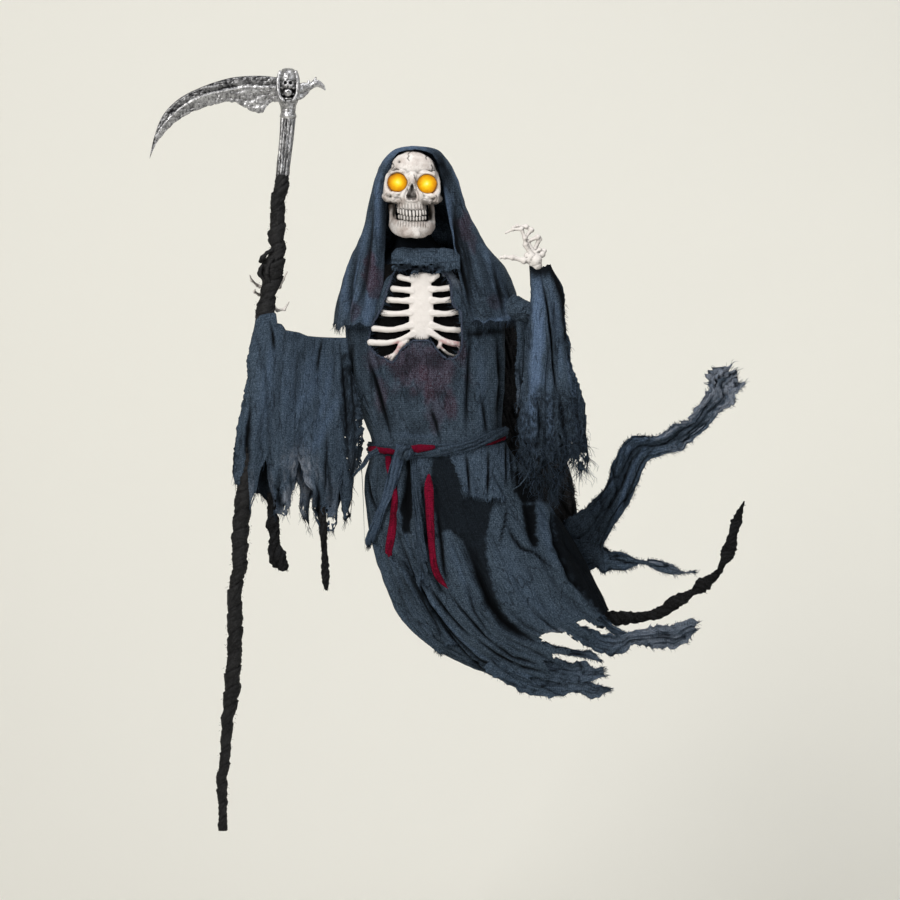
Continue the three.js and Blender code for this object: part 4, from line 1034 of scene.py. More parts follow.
HEM_STRIPS = {
    "hem_strip_upper": ([[430, 8, -1110, 14], [462, 12, -1150, 9], [486, 8, -1172, 9], [520, 4, -1188, 8],
                         [548, 2, -1194, 5]], 0.10, 8),
    "hem_strip_long": ([[350, -14, -1140, 22], [393, -6, -1172, 15], [421, -4, -1186, 20],
                        [463, 0, -1207, 24], [504, 0, -1207, 24], [528, -4, -1195, 15], [569, -2, -1190, 24],
                        [602, 0, -1188, 30], [639, 4, -1189, 27], [667, 6, -1172, 25], [686, 6, -1168, 14]],
                       0.55, 12),
    "hem_strip_thin": ([[270, -22, -1190, 18], [310, -16, -1214, 12], [356, -8, -1223, 9],
                        [404, -8, -1232, 8], [430, -6, -1234, 10], [452, -4, -1246, 3]],
                       0.15, 6),
    "hem_strip_low": ([[200, -36, -1190, 44], [250, -26, -1236, 36], [300, -12, -1262, 30],
                       [356, -4, -1274, 27], [416, 0, -1279, 24], [440, 1, -1278, 16], [463, 2, -1276, 12]],
                      0.10, 8),
    "hem_strip_end": ([[190, -30, -1240, 30], [230, -20, -1272, 30], [275, -8, -1300, 28],
                       [330, 0, -1313, 23], [393, 0, -1311, 14], [440, 4, -1322, 17], [462, 6, -1320, 9],
                       [480, 6, -1319, 3]], 0.10, 6),
}


def make_hem_strips():
    for number, (name, (rows, light, split)) in enumerate(HEM_STRIPS.items()):
        for piece in strip_piece(name, rows, 84, 26, 200 + 17 * number, light, split):
            place(piece, BLUE_GAUZE, "blue_gauze")


make_hem_strips()

# %% [markdown]
# ## The hooded cape
# Hood and cape are one cloth: a bell from the crown of the head to the elbows, open in front.
# Each row of the grid is level. It starts at the left edge of the opening, runs behind the
# figure, and ends at the right edge. Above the opening the two edges meet and are merged.

# %% Sections of the cape
CAPE_SECTIONS = [
    [-8, 10, 3, 12, 12], [-42, 54, -4, 56, 58], [-67, 79, -25, 86, 88], [-86, 99, -56, 104, 102],
    [-98, 114, -94, 110, 110], [-110, 128, -143, 112, 113], [-119, 152, -191, 112, 114],
    [-138, 179, -240, 112, 114], [-160, 218, -288, 114, 112], [-172, 240, -336, 116, 112],
    [-184, 252, -385, 117, 112], [-189, 261, -426, 118, 114],
]
CAPE_MIDDLE_Y = 2.0
CAPE_ROUND = 620
CAPE_SQUARENESS = 0.85
OPENING_LEFT = [
    [-3, -6], [-18, -8], [-36, -14], [-58, -38], [-70, -82], [-77, -131], [-78, -203], [-74, -281],
    [-78, -336], [-94, -385], [-104, -440],
]
OPENING_RIGHT = [
    [-3, -6], [22, -8], [46, -18], [71, -46], [82, -82], [90, -143], [102, -227], [114, -312], [126, -360],
    [136, -400], [143, -440],
]
CAPE_FOLDS = [
    ([[100, -120], [108, -180], [114, -240], [124, -300], [138, -360], [148, -430]], 13, 7, 1.0),
    ([[116, -180], [128, -240], [142, -300], [158, -370]], 7, 6, 0.7),
    ([[-92, -120], [-98, -200], [-106, -270], [-118, -350], [-128, -420]], 8, 8, 0.7),
    ([[-78, -90], [-80, -160], [-80, -240], [-84, -300]], 6, 6, 0.5),
    ([[-130, -230], [-146, -300], [-156, -370], [-160, -420]], 7, 8, 0.6),
    ([[150, -210], [176, -290], [196, -360], [206, -420]], 5, 8, 0.35),
    ([[190, -270], [212, -350], [224, -420]], 8, 8, 0.8),
]
CAPE_STAINS = [
    [-100, -310, 20, 64, 0.9], [-86, -330, 18, 40, 0.6], [-140, -396, 14, 26, 0.5],
    [196, -380, 26, 20, 0.35], [128, -200, 18, 46, 0.7], [142, -235, 16, 30, 0.5],
]
# Lines where the cape catches blue light, and where it lies in shadow.
CAPE_LIGHTS = [
    ([[-78, -46], [-65, -24], [-44, -9], [-15, 0], [17, 1], [45, -7]], 9, 0.9),
    ([[-78, -46], [-85, -92], [-88, -145], [-87, -198], [-84, -234]], 8, 0.75),
    ([[80, -85], [88, -120], [96, -160], [104, -205], [112, -250], [122, -305]], 6, 0.95),
    ([[95, -46], [109, -81], [123, -117], [137, -152], [160, -200]], 6, 0.75),
    ([[-125, -204], [-138, -297], [-154, -366], [-166, -406]], 8, 0.85),
    ([[-94, -264], [-98, -330], [-106, -366]], 8, 0.5),
    ([[-146, -240], [-160, -300], [-172, -366], [-182, -410]], 5, 0.8),
    ([[-136, -330], [-138, -380], [-142, -420]], 8, 0.55),
    ([[-104, -180], [-118, -230], [-128, -290]], 7, 0.45),
    ([[196, -330], [222, -384], [234, -410]], 10, 0.35),
    ([[138, -424], [180, -424], [220, -420], [252, -412]], 5, 0.6),
    ([[-116, -350], [-113, -395], [-116, -428]], 16, 0.9),
    ([[170, -240], [196, -300], [214, -360]], 9, 0.35),
    ([[130, -300], [142, -360], [150, -410]], 6, 0.3),
]
CAPE_DARKS = [
    ([[40, -12], [58, -22], [72, -38], [82, -60], [89, -84], [97, -112]], 9, 0.9),
    ([[-70, -60], [-74, -110], [-77, -170], [-76, -240], [-74, -300]], 5, 0.8),
    ([[96, -128], [106, -158], [113, -190], [122, -240], [134, -300], [147, -372], [160, -425]], 4.5, 0.95),
    ([[196, -264], [234, -372], [255, -420]], 5, 0.7),
    ([[-134, -260], [-150, -340], [-160, -410]], 4, 0.7),
    ([[-110, -251], [-112, -297], [-122, -355], [-147, -420]], 6, 0.85),
    ([[236, -380], [256, -400], [262, -430]], 14, 0.6),
    ([[158, -250], [170, -330], [182, -400]], 3, 0.4),
]
print("cape:", len(CAPE_SECTIONS), "sections")

# %% [markdown]
# Where a row starts and ends is found from the opening's edge: the place where the bell is as far
# to the left or right as the edge is. Near its edges the cloth rolls in, as a soft hem does.

# %% The cape's cloth
CAPE_COLS, CAPE_ROWS = 150, 150
ROLL_WIDTH = 0.035


def edge_x(edge, z):
    edge = np.asarray(edge, float)
    return np.interp(-z, -edge[:, 1], edge[:, 0])


def make_cape():
    t = np.linspace(0, 1, CAPE_ROWS) ** 1.15
    lx, rx, z, front, back = np.moveaxis(through(CAPE_SECTIONS, t), -1, 0)
    middle, half = (lx + rx) / 2, (rx - lx) / 2
    open_from = OPENING_LEFT[0][1]
    reach_left = np.clip((middle - edge_x(OPENING_LEFT, z)) / half, -1, 1)
    reach_right = np.clip((edge_x(OPENING_RIGHT, z) - middle) / half, -1, 1)
    power = 1 / CAPE_SQUARENESS
    start = -np.pi / 2 - np.arcsin(np.sign(reach_left) * np.abs(reach_left) ** power)
    end = -np.pi / 2 + np.arcsin(np.sign(reach_right) * np.abs(reach_right) ** power)
    shut = ramp(-z, -open_from + 6, -open_from)
    start, end = blend(start, -np.pi / 2, shut), blend(end, -np.pi / 2, shut)
    share = np.linspace(0, 1, CAPE_COLS)
    share = share - 0.05 * np.sin(4 * np.pi * share)
    turn = start[:, None] - (2 * np.pi + start - end)[:, None] * share[None]
    c, s = np.cos(turn), np.sin(turn)
    c, s = np.sign(c) * np.abs(c) ** CAPE_SQUARENESS, np.sign(s) * np.abs(s) ** CAPE_SQUARENESS
    depth = np.where(s < 0, front[:, None], back[:, None])
    x = middle[:, None] + half[:, None] * c
    zz = np.broadcast_to(z[:, None], x.shape)
    fold, black = measured_folds(CAPE_FOLDS, x, zz)
    in_front = ramp(-s, -0.1, 0.35)
    loose = ramp(-zz, 20, 160)
    ring = np.broadcast_to(CAPE_ROUND * share[None], zz.shape)
    hang = crumple(ring, 0, zz, (38, 50, 300), 61)
    small = crumple(ring, 5, zz, (13, 50, 120), 67)
    back_folds = 10 * ramp(-zz, 120, 400) * np.sin(9 * turn) * ramp(s, -0.2, 0.3)
    out = loose * (-fold * in_front + 5 * hang + 1.5 * small) + back_folds
    out = out + 1.2 * lumps(x, s * 90, zz, 16, 71)
    near_edge = np.minimum(share, 1 - share)[None] / ROLL_WIDTH
    roll = np.clip(1 - near_edge, 0, 1) * (1 - shut)[:, None] * blend(0.2, 1, ramp(-zz, 8, 60))
    out += 7 * np.exp(-((near_edge - 1.3) ** 2) * 2.5) * (1 - shut)[:, None] * loose - 15 * roll ** 2
    nx, ny = c / half[:, None], s / depth
    size = np.hypot(nx, ny) + 1e-9
    y = CAPE_MIDDLE_Y + depth * s + out * ny / size + 20 * roll ** 1.5
    ragged = 9 * lumps(ring[0], 0, 0, 10, 73) + 8 * lumps(ring[0], 0, 0, 34, 74)
    ragged = ragged[None] - 18 * np.exp(-(((x + 190) / 22) ** 2)) * in_front
    drop = ragged * ramp(t, 0.86, 1.0)[:, None]
    points = np.stack([x + out * nx / size, y, zz + drop], -1)
    # Painted shade in the folds and creases and along the dark lines, and painted blue highlights along the
    # lines that catch the light.
    black = np.maximum(black * in_front, 0.6 * loose * np.clip(-hang - 0.5, 0, 1))
    black = np.maximum(black, streaks(CAPE_DARKS, x, zz, 76) * in_front)
    light = np.minimum(1.25 * streaks(CAPE_LIGHTS, x, zz, 78) + 0.07, 1) * in_front * (1 - black)
    marks = {"shade": 1 - black, "stain": spots(CAPE_STAINS, x, zz) * in_front, "light": light}
    # The inner face of the cloth gets the near-black gauze: painted shade inside the hood and cape.
    piece = cloth("hooded_cape", points, marks=marks, inner=1)
    place(piece, [BLUE_GAUZE, BLACK_GAUZE], "blue_gauze", ["hooded_cape"])
    way = np.repeat([[0.0, -0.1, -1.0]], CAPE_COLS, 0)
    fringe = edge_threads("hooded_cape_fringe", points[-1], way, 620, 19, 75)
    place(fringe, BLUE_GAUZE, "blue_gauze")


make_cape()

# %% [markdown]
# ## The collar and the lining
# A torn band of the same gauze lies across the throat between the two edges of the cape, and its
# lower edge has rotted into holes. Behind the ribs hangs a black lining, pressed in between them.

# %% Collar
COLLAR_TOP_Z, COLLAR_FOOT_Z = -246.0, -304.0
COLLAR_LEFT_X, COLLAR_RIGHT_X = -52.0, 114.0


def make_collar():
    s, t = np.meshgrid(np.linspace(0, 1, 120), np.linspace(0, 1, 60))
    x = blend(COLLAR_LEFT_X, COLLAR_RIGHT_X, s)
    ragged = 8 * lumps(x, 0, 0, 9, 81) + 7 * lumps(x, 0, 0, 26, 82)
    corner = 12 * ramp(s, 0.10, 0.0) ** 2 + 5 * ramp(s, 0.9, 1.0)
    sag = 3 * lumps(x, 9, 0, 30, 83) + 2 * lumps(x, 4, 0, 12, 87) - corner
    z = blend(COLLAR_TOP_Z, COLLAR_FOOT_Z, t) + ragged * ramp(t, 0.5, 1) + sag * (1 - t)
    bulge = 11 * np.sin(np.pi * s)
    wrinkle = crumple(x, z, 0, (34, 12, 20), 84)
    y = -66 - bulge - 19 * np.sin(np.pi / 2 * t) + 2.2 * wrinkle + 1.5 * lumps(x, z, 0, (26, 14, 9), 88)
    y += 14 * np.clip(0.12 - t, 0, 1) / 0.12
    points = np.stack([x, y, z], -1)
    middle = face_middles(points, False)
    low = ramp(-middle[:, 2], 268, 298) * ramp(middle[:, 0], 100, 50)
    holes = lumps(middle[:, 0], 0, middle[:, 2], (9, 9, 7), 85) > 1.25 - 1.15 * low
    holes |= lumps(middle[:, 0], 4, middle[:, 2], (4, 9, 4), 89) > 1.5 - 1.1 * low
    # Painted shade in the wrinkles, and a painted shadow under the chin.
    shade = 1 - 0.6 * np.clip(-wrinkle - 0.4, 0, 1)
    chin_shadow = [[-20, -292, 28, 9, 1.0], [22, -298, 38, 10, 1.0], [62, -294, 22, 8, 0.8]]
    shade *= 1 - 0.85 * spots(chin_shadow, x, z, 8, 90)
    piece = cloth("collar", points, keep=~holes, marks={"shade": shade, "light": 0.04})
    place(piece, BLUE_GAUZE, "blue_gauze", ["collar"])
    way = np.repeat([[0.0, -0.3, -1.0]], 120, 0)
    fringe = edge_threads("collar_fringe", points[-1], way, 120, 9, 86)
    place(fringe, BLUE_GAUZE, "blue_gauze")


make_collar()

# %% Lining behind the ribs
def make_lining():
    x, z = np.meshgrid(np.linspace(-118, 131, 70), np.linspace(-286, -532, 70))
    y = CHEST_FLOOR_Y - 3 + 3 * crumple(x, 0, z, (26, 9, 14), 91)
    y = y + 22 * ramp(np.abs(x - CHEST_CENTRE_X), 100, 128)
    points = np.stack([x, y, z], -1)
    # The shade mark darkens the black lining further: painted shade behind the ribs.
    place(cloth("chest_lining", points, marks={"shade": 0.25}), BLACK_GAUZE, "black_gauze", ["chest_lining"])


make_lining()

# %% [markdown]
# The cut edge of the tear is stiff and frayed. It is a thin rope of matted threads that follows
# the outline of the tear on the robe, with loose threads standing off it.

# %% Edge of the tear
def rope(name, path, radius, sides, seed, closed=False, rough=0.25, marks=None):
    """A lumpy tube along a path of points."""
    path = np.asarray(path, float)
    along = directions(path, closed)
    side = np.cross(along, [0.0, 1.0, 0.0])
    side /= np.linalg.norm(side, axis=1, keepdims=True) + 1e-9
    other = np.cross(side, along)
    turn = around(sides)
    radius = np.broadcast_to(radius, len(path))[:, None]
    middle = path[:, None]
    ring = side[:, None] * np.cos(turn)[None, :, None] + other[:, None] * np.sin(turn)[None, :, None]
    points = middle + ring * radius[..., None]
    lump = 1 + rough * lumps(points[..., 0], points[..., 1], points[..., 2], radius.mean() * 1.6, seed)
    points = middle + ring * (radius * lump)[..., None]
    return cloth_tube(name, points, closed, marks)


def make_tear_edge():
    outline = through(TEAR + TEAR[:1], np.linspace(0, 1, 260, endpoint=False))
    u, v = np.array([on_robe(x, z) for x, z in outline]).T
    on_cloth = robe(u, v, 0.5)[0]
    edge = rope("tear_edge", on_cloth, 2.6, 7, 95, closed=True, rough=0.5,
                marks={"light": 0.35, "stain": 0.3})
    inwards = np.array([CHEST_CENTRE_X, -80, -400]) - on_cloth
    fringe = edge_threads("tear_threads", on_cloth, inwards, 420, 24, 96)
    piece = joined("tear_edge", [edge, fringe])
    place(piece, BLUE_GAUZE, "blue_gauze")


make_tear_edge()

# %% [markdown]
# ## Sash and ribbon
# A grey strip of gauze is twisted round the waist and knotted at the front left, and one end
# hangs down. A crimson ribbon lies behind and under it and shows in four places. Both lie on the
# robe, so their paths are taken from the robe's own surface and lifted a little.

# %% The belt's path round the robe
BELT_LINE = [[-106, -730], [-22, -741], [65, -736], [138, -722], [222, -693]]
KNOT_U = 0.175
BELT_STEPS = 220


def belt_height(u):
    across = (1 - np.cos(2 * np.pi * u)) / 2
    front = through(BELT_LINE, across)[..., 1]
    return np.where(u % 1 < 0.5, front, blend(BELT_LINE[0][1], BELT_LINE[-1][1], across))


def belt_path(drop, lift):
    """Points round the robe at the belt's height, lifted off the cloth."""
    u = np.linspace(0, 1, BELT_STEPS, endpoint=False)
    low, high = np.zeros(BELT_STEPS), np.ones(BELT_STEPS)
    for _ in range(24):
        v = (low + high) / 2
        above = robe_section(u, v)[1] > belt_height(u) - drop
        low, high = np.where(above, v, low), np.where(above, high, v)
    return robe(u, (low + high) / 2, lift)[0]


print("belt is", round(run_along(belt_path(0, 6))[-1]), "mm round")

# %% [markdown]
# The sash is a flat strip twisted as it goes, so its section is an ellipse that turns along the
# belt, wrinkled lengthwise. The hanging ends are made the same way, with fewer turns.

# %% Sash
WRINKLE = 1.6


def twisted(name, path, wide, thin, turns, seed, closed=False, light=0.12):
    """A twisted strip: an ellipse that turns as it follows the path."""
    path = np.asarray(path, float)
    n, sides = len(path), 22
    along = directions(path, closed)
    outward = (path - path.mean(0)) * [1, 1, 0] if closed else np.tile([0.0, -1.0, 0.0], (n, 1))
    outward = unit(outward - along * (outward * along).sum(1, keepdims=True))
    up = np.cross(outward, along)
    t = np.arange(n) / n
    a = around(sides)
    spin = turns * 2 * np.pi * t[:, None]
    wide = np.broadcast_to(wide, n)[:, None] * (1 + 0.22 * lumps(t[:, None] * n * 3, 0, 0, 40, seed))
    sway = 0.5 * np.sin(spin)
    p, q = wide * np.cos(a), thin * np.sin(a) + wide * 0.12 * np.cos(3 * a + spin)
    groove = WRINKLE * np.cos(7 * a[None] + spin * 2)
    groove = groove + 0.8 * WRINKLE * lumps(a[None] * 9, t[:, None] * n * 3, 0, (5, 26, 9), seed + 1)
    # Painted shade in the grooves of the wrinkles.
    dark = np.clip(-groove / WRINKLE - 0.4, 0, 1) * 0.8
    p, q = p * (1 + groove / 30), q + groove * np.sign(np.sin(a))[None]
    ring_up = p * np.cos(0.25 * sway) - q * np.sin(0.25 * sway)
    ring_out = q * np.cos(0.25 * sway) + p * np.sin(0.25 * sway)
    points = path[:, None] + up[:, None] * ring_up[..., None] + outward[:, None] * ring_out[..., None]
    return cloth_tube(name, points, closed, {"shade": 1 - dark, "light": light})


def hanging(rows, count, lift):
    """A path down the front of the robe through x, z places, lifted off the cloth."""
    places = through([row[:2] for row in rows], np.linspace(0, 1, count))
    u, v = np.array([on_robe(x, z) for x, z in places]).T
    soft = np.ones(9) / 9
    path = robe(u, v, lift)[0]
    padded = np.pad(path, ((4, 4), (0, 0)), mode="edge")
    return np.stack([np.convolve(padded[:, k], soft, mode="valid") for k in range(3)], 1)


SASH_TAIL = [[-21, -722], [-35, -772], [-51, -822], [-69, -874], [-86, -922], [-100, -966]]
SASH_STRAND = [[0, -742], [4, -790], [10, -870], [18, -940], [30, -1010]]
SASH_LOOSE = [[-84, -84, -738], [-104, -92, -748], [-120, -98, -772], [-133, -100, -785], [-146, -100, -800]]


def make_sash():
    round_belt = np.arange(BELT_STEPS) / BELT_STEPS
    left_front = np.exp(-(((round_belt - 0.085) / 0.075) ** 4))
    wide = 13.5 - 9.5 * left_front
    on_belt = belt_path(6 * -left_front, 9 - 4 * left_front)
    ring = twisted("sash", on_belt, wide, 5.5 - 2.5 * left_front[:, None], 5, 101, closed=True)
    tail_path = hanging(SASH_TAIL, 90, 15)
    tail = twisted("sash_tail", tail_path, np.linspace(13, 9.5, 90), 3.5, 1.2, 103, light=0.55)
    loose_path = through(SASH_LOOSE, np.linspace(0, 1, 50))
    loose = twisted("sash_loose", loose_path, np.linspace(8, 3, 50), 3, 1, 104)
    centre = belt_path(0, 17)[int(KNOT_U * BELT_STEPS)]
    turn = np.linspace(0, 2 * np.pi, 40, endpoint=False)
    loop = centre + np.stack([12 * np.cos(turn), 5 * np.sin(2 * turn) - 6, 13 * np.sin(turn)], 1)
    knot = twisted("sash_knot", loop, 8.5, 6, 3, 105, closed=True)
    through_loop = centre + np.array([[0, 2, 14], [0, -6, 6], [1, -8, -4], [-2, -2, -15]])
    core = rope("knot_core", through_loop, 8, 16, 107)
    strand = twisted("sash_strand", hanging(SASH_STRAND, 80, 9), np.linspace(9, 8, 80), 2.5, 1, 109)
    end = tail_path[-1] + np.random.default_rng(7).normal(0, 3, (60, 3))
    fray = threads("sash_fray", end, np.tile([-0.5, -0.1, -1.0], (60, 1)), np.linspace(4, 17, 60), 108)
    piece = joined("sash", [ring, tail, loose, knot, core, strand, fray])
    place(piece, BLUE_GAUZE, "blue_gauze", ["sash"])


make_sash()

# %% Crimson ribbon
RIBBON_TAILS = [
    [[-58, -748], [-56, -780], [-48, -815], [-41, -850], [-47, -895], [-52, -937], [-56, -980], [-60, -998]],
    [[39, -792], [39, -812], [39, -829], [41, -870], [45, -937], [48, -979], [54, -1020], [66, -1048],
     [84, -1067]],
]
RIBBON_HALVES = [[7, 7, 6, 7, 9, 10, 9, 6], [2, 8, 11, 10.5, 9, 8, 8, 7.5, 2]]


def flat_tail(name, rows, half, seed, lift):
    """A flat ribbon down the robe. Its half width follows a few numbers from top to end."""
    count = 90
    path = hanging(rows, count, lift)
    half = through([[h] for h in half], np.linspace(0, 1, count))[:, 0]
    along = directions(path)
    side = unit(np.cross(along, [0.0, 1.0, 0.0]))
    s = np.linspace(-1, 1, 13)
    wave = 2.0 * lumps(s[None] * 14, np.arange(count)[:, None] * 3, 0, (12, 34, 9), seed)
    wave = wave - 1.5 * np.abs(s) ** 3
    ends = 14 * np.abs(s)[None] * ramp(np.linspace(0, 1, count), 0.86, 1)[:, None]
    points = path[:, None] + side[:, None] * (half[:, None] * s)[..., None]
    points = points + np.array([0, -1.0, 0]) * wave[..., None]
    points -= along[:, None] * (ends * lumps(s * 9, seed, 0, 6, seed))[..., None]
    # Painted shade in the hollows of the waves.
    shade = 1 - 0.5 * np.clip(-wave - 1, 0, 1)
    return cloth(name, points, marks={"shade": shade}, thickness=0.8)


def make_ribbon():
    round_belt = np.arange(BELT_STEPS) / BELT_STEPS
    left_front = np.exp(-(((round_belt - 0.085) / 0.07) ** 4))
    right_front = np.exp(-(((round_belt - 0.43) / 0.07) ** 4))
    ring = rope("ribbon", belt_path(3 * left_front + 15 * right_front, 2 + 9 * left_front + 2 * right_front),
                4.5 + 2.6 * left_front, 12, 111, closed=True, rough=0.3)
    bow = rope("ribbon_bow", belt_path(-9, 15)[38:54], np.sin(np.linspace(0.4, 2.8, 16)) * 10, 12, 112)
    tails = [flat_tail("ribbon_tail_" + str(k), rows, half, 113 + k, 7 + 2 * k)
             for k, (rows, half) in enumerate(zip(RIBBON_TAILS, RIBBON_HALVES))]
    piece = joined("ribbon", [ring, bow, *tails])
    place(piece, CRIMSON, "crimson_cloth", ["ribbon"])


make_ribbon()

# %% [markdown]
# ## Flaps over the skirt
# The upper robe ends under the belt in a ragged flap over the charcoal cloth, and a lighter panel
# with a torn edge hangs over the right side. Each is a patch that lies on the robe between a left
# and a right edge, given as places from top to bottom.

# %% Patches on the robe
def patch(name, left, right, across, seed, lift, foot):
    count = 80
    t = np.linspace(0, 1, count)
    left_uv = np.array([on_robe(x, z) for x, z in left])
    right_uv = np.array([on_robe(x, z) for x, z in right])
    l, r = through(left_uv, t), through(right_uv, t)
    s = np.linspace(0, 1, across)
    u = blend(l[:, None, 0], r[:, None, 0], s[None])
    v = blend(l[:, None, 1], r[:, None, 1], s[None])
    rough = (3 * lumps(t * 600, 0, 0, 12, seed) + 3 * lumps(t * 600, 0, 0, 40, seed + 1))[:, None] / 900
    u = u + rough * np.abs(2 * s - 1) ** 4 * np.sign(s - 0.5)
    creases = crumple(s[None] * across * 4, 0, t[:, None] * count * 4, (16, 9, 90), seed + 2)
    raised = lift * np.minimum(1, 3 * np.minimum(s, 1 - s) + 0.35)[None] + 2 * creases
    points, black = robe(u, v, np.broadcast_to(raised, u.shape))
    over = s * across * 4
    ragged = foot * (lumps(over, 0, 0, 12, seed + 3) + 0.8 * lumps(over, 0, 0, 40, seed + 4))
    points[..., 2] += ragged[None] * ramp(t, 0.7, 1)[:, None]
    # Painted shade in the robe's folds, and a faint painted blue highlight outside them.
    piece = cloth(name, points, marks={"shade": 1 - black, "light": 0.12 * (1 - black)})
    way = np.tile([0.1, -0.15, -1.0], (across, 1))
    return piece, edge_threads(name + "_fringe", points[-1], way, 130, 8, seed + 5)


FLAP_LEFT = [[84, -738], [98, -775], [114, -808], [131, -846]]
FLAP_RIGHT = [[224, -712], [232, -760], [226, -815], [222, -862]]
STRIP_LEFT = [[-1, -748], [-3, -800], [-3, -860], [0, -940], [4, -1000], [14, -1056]]
STRIP_RIGHT = [[40, -746], [38, -790], [22, -835], [20, -900], [26, -965], [38, -1060]]
FOLD_LEFT = [[-57, -990], [-36, -1026], [-10, -1066], [24, -1125], [49, -1166], [76, -1212]]
FOLD_RIGHT = [[-22, -1012], [-4, -1044], [18, -1078], [46, -1126], [74, -1167], [107, -1210]]
PANEL_LEFT = [[-104, -955], [-82, -1029], [-50, -1104], [-16, -1166], [14, -1206], [40, -1236]]
PANEL_RIGHT = [[-66, -975], [-44, -1020], [-14, -1072], [20, -1130], [46, -1178], [78, -1230]]


def make_flaps():
    for name, left, right, across, seed, lift, foot in (
        ("tunic_flap", FLAP_LEFT, FLAP_RIGHT, 60, 121, 5.5, 7.0),
        ("skirt_strip", STRIP_LEFT, STRIP_RIGHT, 24, 127, 5.0, 12.0),
        ("skirt_panel", PANEL_LEFT, PANEL_RIGHT, 34, 125, 3.5, 10.0),
        ("skirt_fold", FOLD_LEFT, FOLD_RIGHT, 26, 129, 7.0, 4.0),
    ):
        for piece in patch(name, left, right, across, seed, lift, foot):
            place(piece, BLUE_GAUZE, "blue_gauze")


make_flaps()

# %% [markdown]
# ## Sleeves
# A sleeve hangs from the arm as a flat bag: two layers of gauze, front and back, that meet at the
# sides and are open and torn at the foot. Its edges are read from the photograph at even steps
# down, and both layers end in their own ragged line of points and notches.

# %% A hanging sleeve
def sleeve_points(edges, top, foot_front, foot_back, middle_y, half_depth, cols, rows, seed, folds, full,
                  top_depth, cap_lift):
    """Grid of a flat bag of cloth, joined round. The first columns are the front layer.

    The first row closes the bag at the top: its two layers meet there."""
    left, right = edges
    k = np.arange(2 * cols)
    s = np.where(k < cols, k / (cols - 1), (2 * cols - 1 - k) / (cols - 1))
    s = s - 0.04 * np.sin(4 * np.pi * s)
    front = k < cols
    t = np.linspace(0, 1, rows)
    x_left, x_right = through([[v] for v in left], t), through([[v] for v in right], t)
    x = blend(x_left, x_right, s[None])
    run = s * (right[0] - left[0])
    rough = 8 * lumps(run, 0, front * 90.0, 9, seed) + 9 * lumps(run, 0, front * 90.0, 26, seed + 1)
    foot = np.where(front, foot_front(s), foot_back(s)) + rough
    z = blend(top(s)[None], foot[None], t[:, None])
    folded, black = measured_folds(folds, x, z)
    tt = np.broadcast_to(t[:, None], x.shape)
    ss = np.broadcast_to(s[None], x.shape)
    side = np.sqrt(np.clip(1 - (2 * ss - 1) ** 4, 0, 1))
    ends = blend(top_depth, 1, ramp(tt, 0, 0.12))
    loose = ramp(tt, 0, 0.25)
    layer = np.where(front, 0.0, 400.0)[None] + 0 * x
    hang = crumple(x, layer, z, (30, 50, 330), seed + 2)
    small = crumple(x, layer, z, (11, 50, 70), seed + 3)
    frayed = ramp(tt, 0.6, 1)
    half = half_depth(ss, tt) * side * ends
    out = (full * hang - folded) * loose + (2.2 + 3 * frayed) * small + 1.2 * lumps(x, layer, z, 14, seed + 4)
    y = middle_y(ss, tt) + np.where(front[None], -1, 1) * np.maximum(half + out * side, 1.5 * side)
    torn_side = np.abs(2 * ss - 1) ** 6 * ramp(tt, 0.02, 0.3)
    notches = 3.5 * lumps(x, layer, z, (60, 50, 6), seed + 7) + 3 * lumps(x, layer, z, (60, 50, 22), seed + 8)
    x = x + torn_side * notches
    sway = (5 * frayed + 1.5) * lumps(x, layer, z, (18, 50, 40), seed + 5)
    x = x + sway + 4 * frayed * lumps(x, layer, z, (9, 50, 11), seed + 6)
    # Painted shade in the measured folds, in the deep creases and in the frayed foot.
    dark = np.maximum(black * front[None], 0.7 * loose * np.clip(-hang - 0.45, 0, 1))
    dark = np.maximum(dark, frayed * 0.75 * np.clip(-small - 0.35, 0, 1))
    cap = np.stack([x, y, z], -1)[0]
    cap[:, 1] = (cap[:, 1] + cap[::-1, 1]) / 2
    cap[:, 2] += cap_lift
    points = np.concatenate([cap[None], np.stack([x, y, z], -1)])
    return points, np.concatenate([dark[:1], dark])


def worn_through(points, seed, low, high, most):
    """Faces to keep where gauze is rotted into holes, more and more from height low to high."""
    middle = face_middles(points, True)
    share = ramp(middle[:, 2], low, high) * most
    net = lumps(middle[:, 0], middle[:, 1] * 0.3, middle[:, 2], (4, 60, 8), seed)
    return ~((0.5 + 0.5 * net) < share)


def line_of(points):
    """A height for each share across, from x, z places between the sleeve's edges."""
    xs = np.array([p[0] for p in points], float)
    zs = np.array([p[1] for p in points], float)
    shares = (xs - xs[0]) / (xs[-1] - xs[0])
    return lambda s: np.interp(s, shares, zs)


print("sleeve helpers are ready")

# %% [markdown]
# The sleeve on the left hangs from the fore-arm beside the scythe. It is wide and nearly flat, it
# passes in front of the shaft, and it is worn so thin at the foot that light comes through.

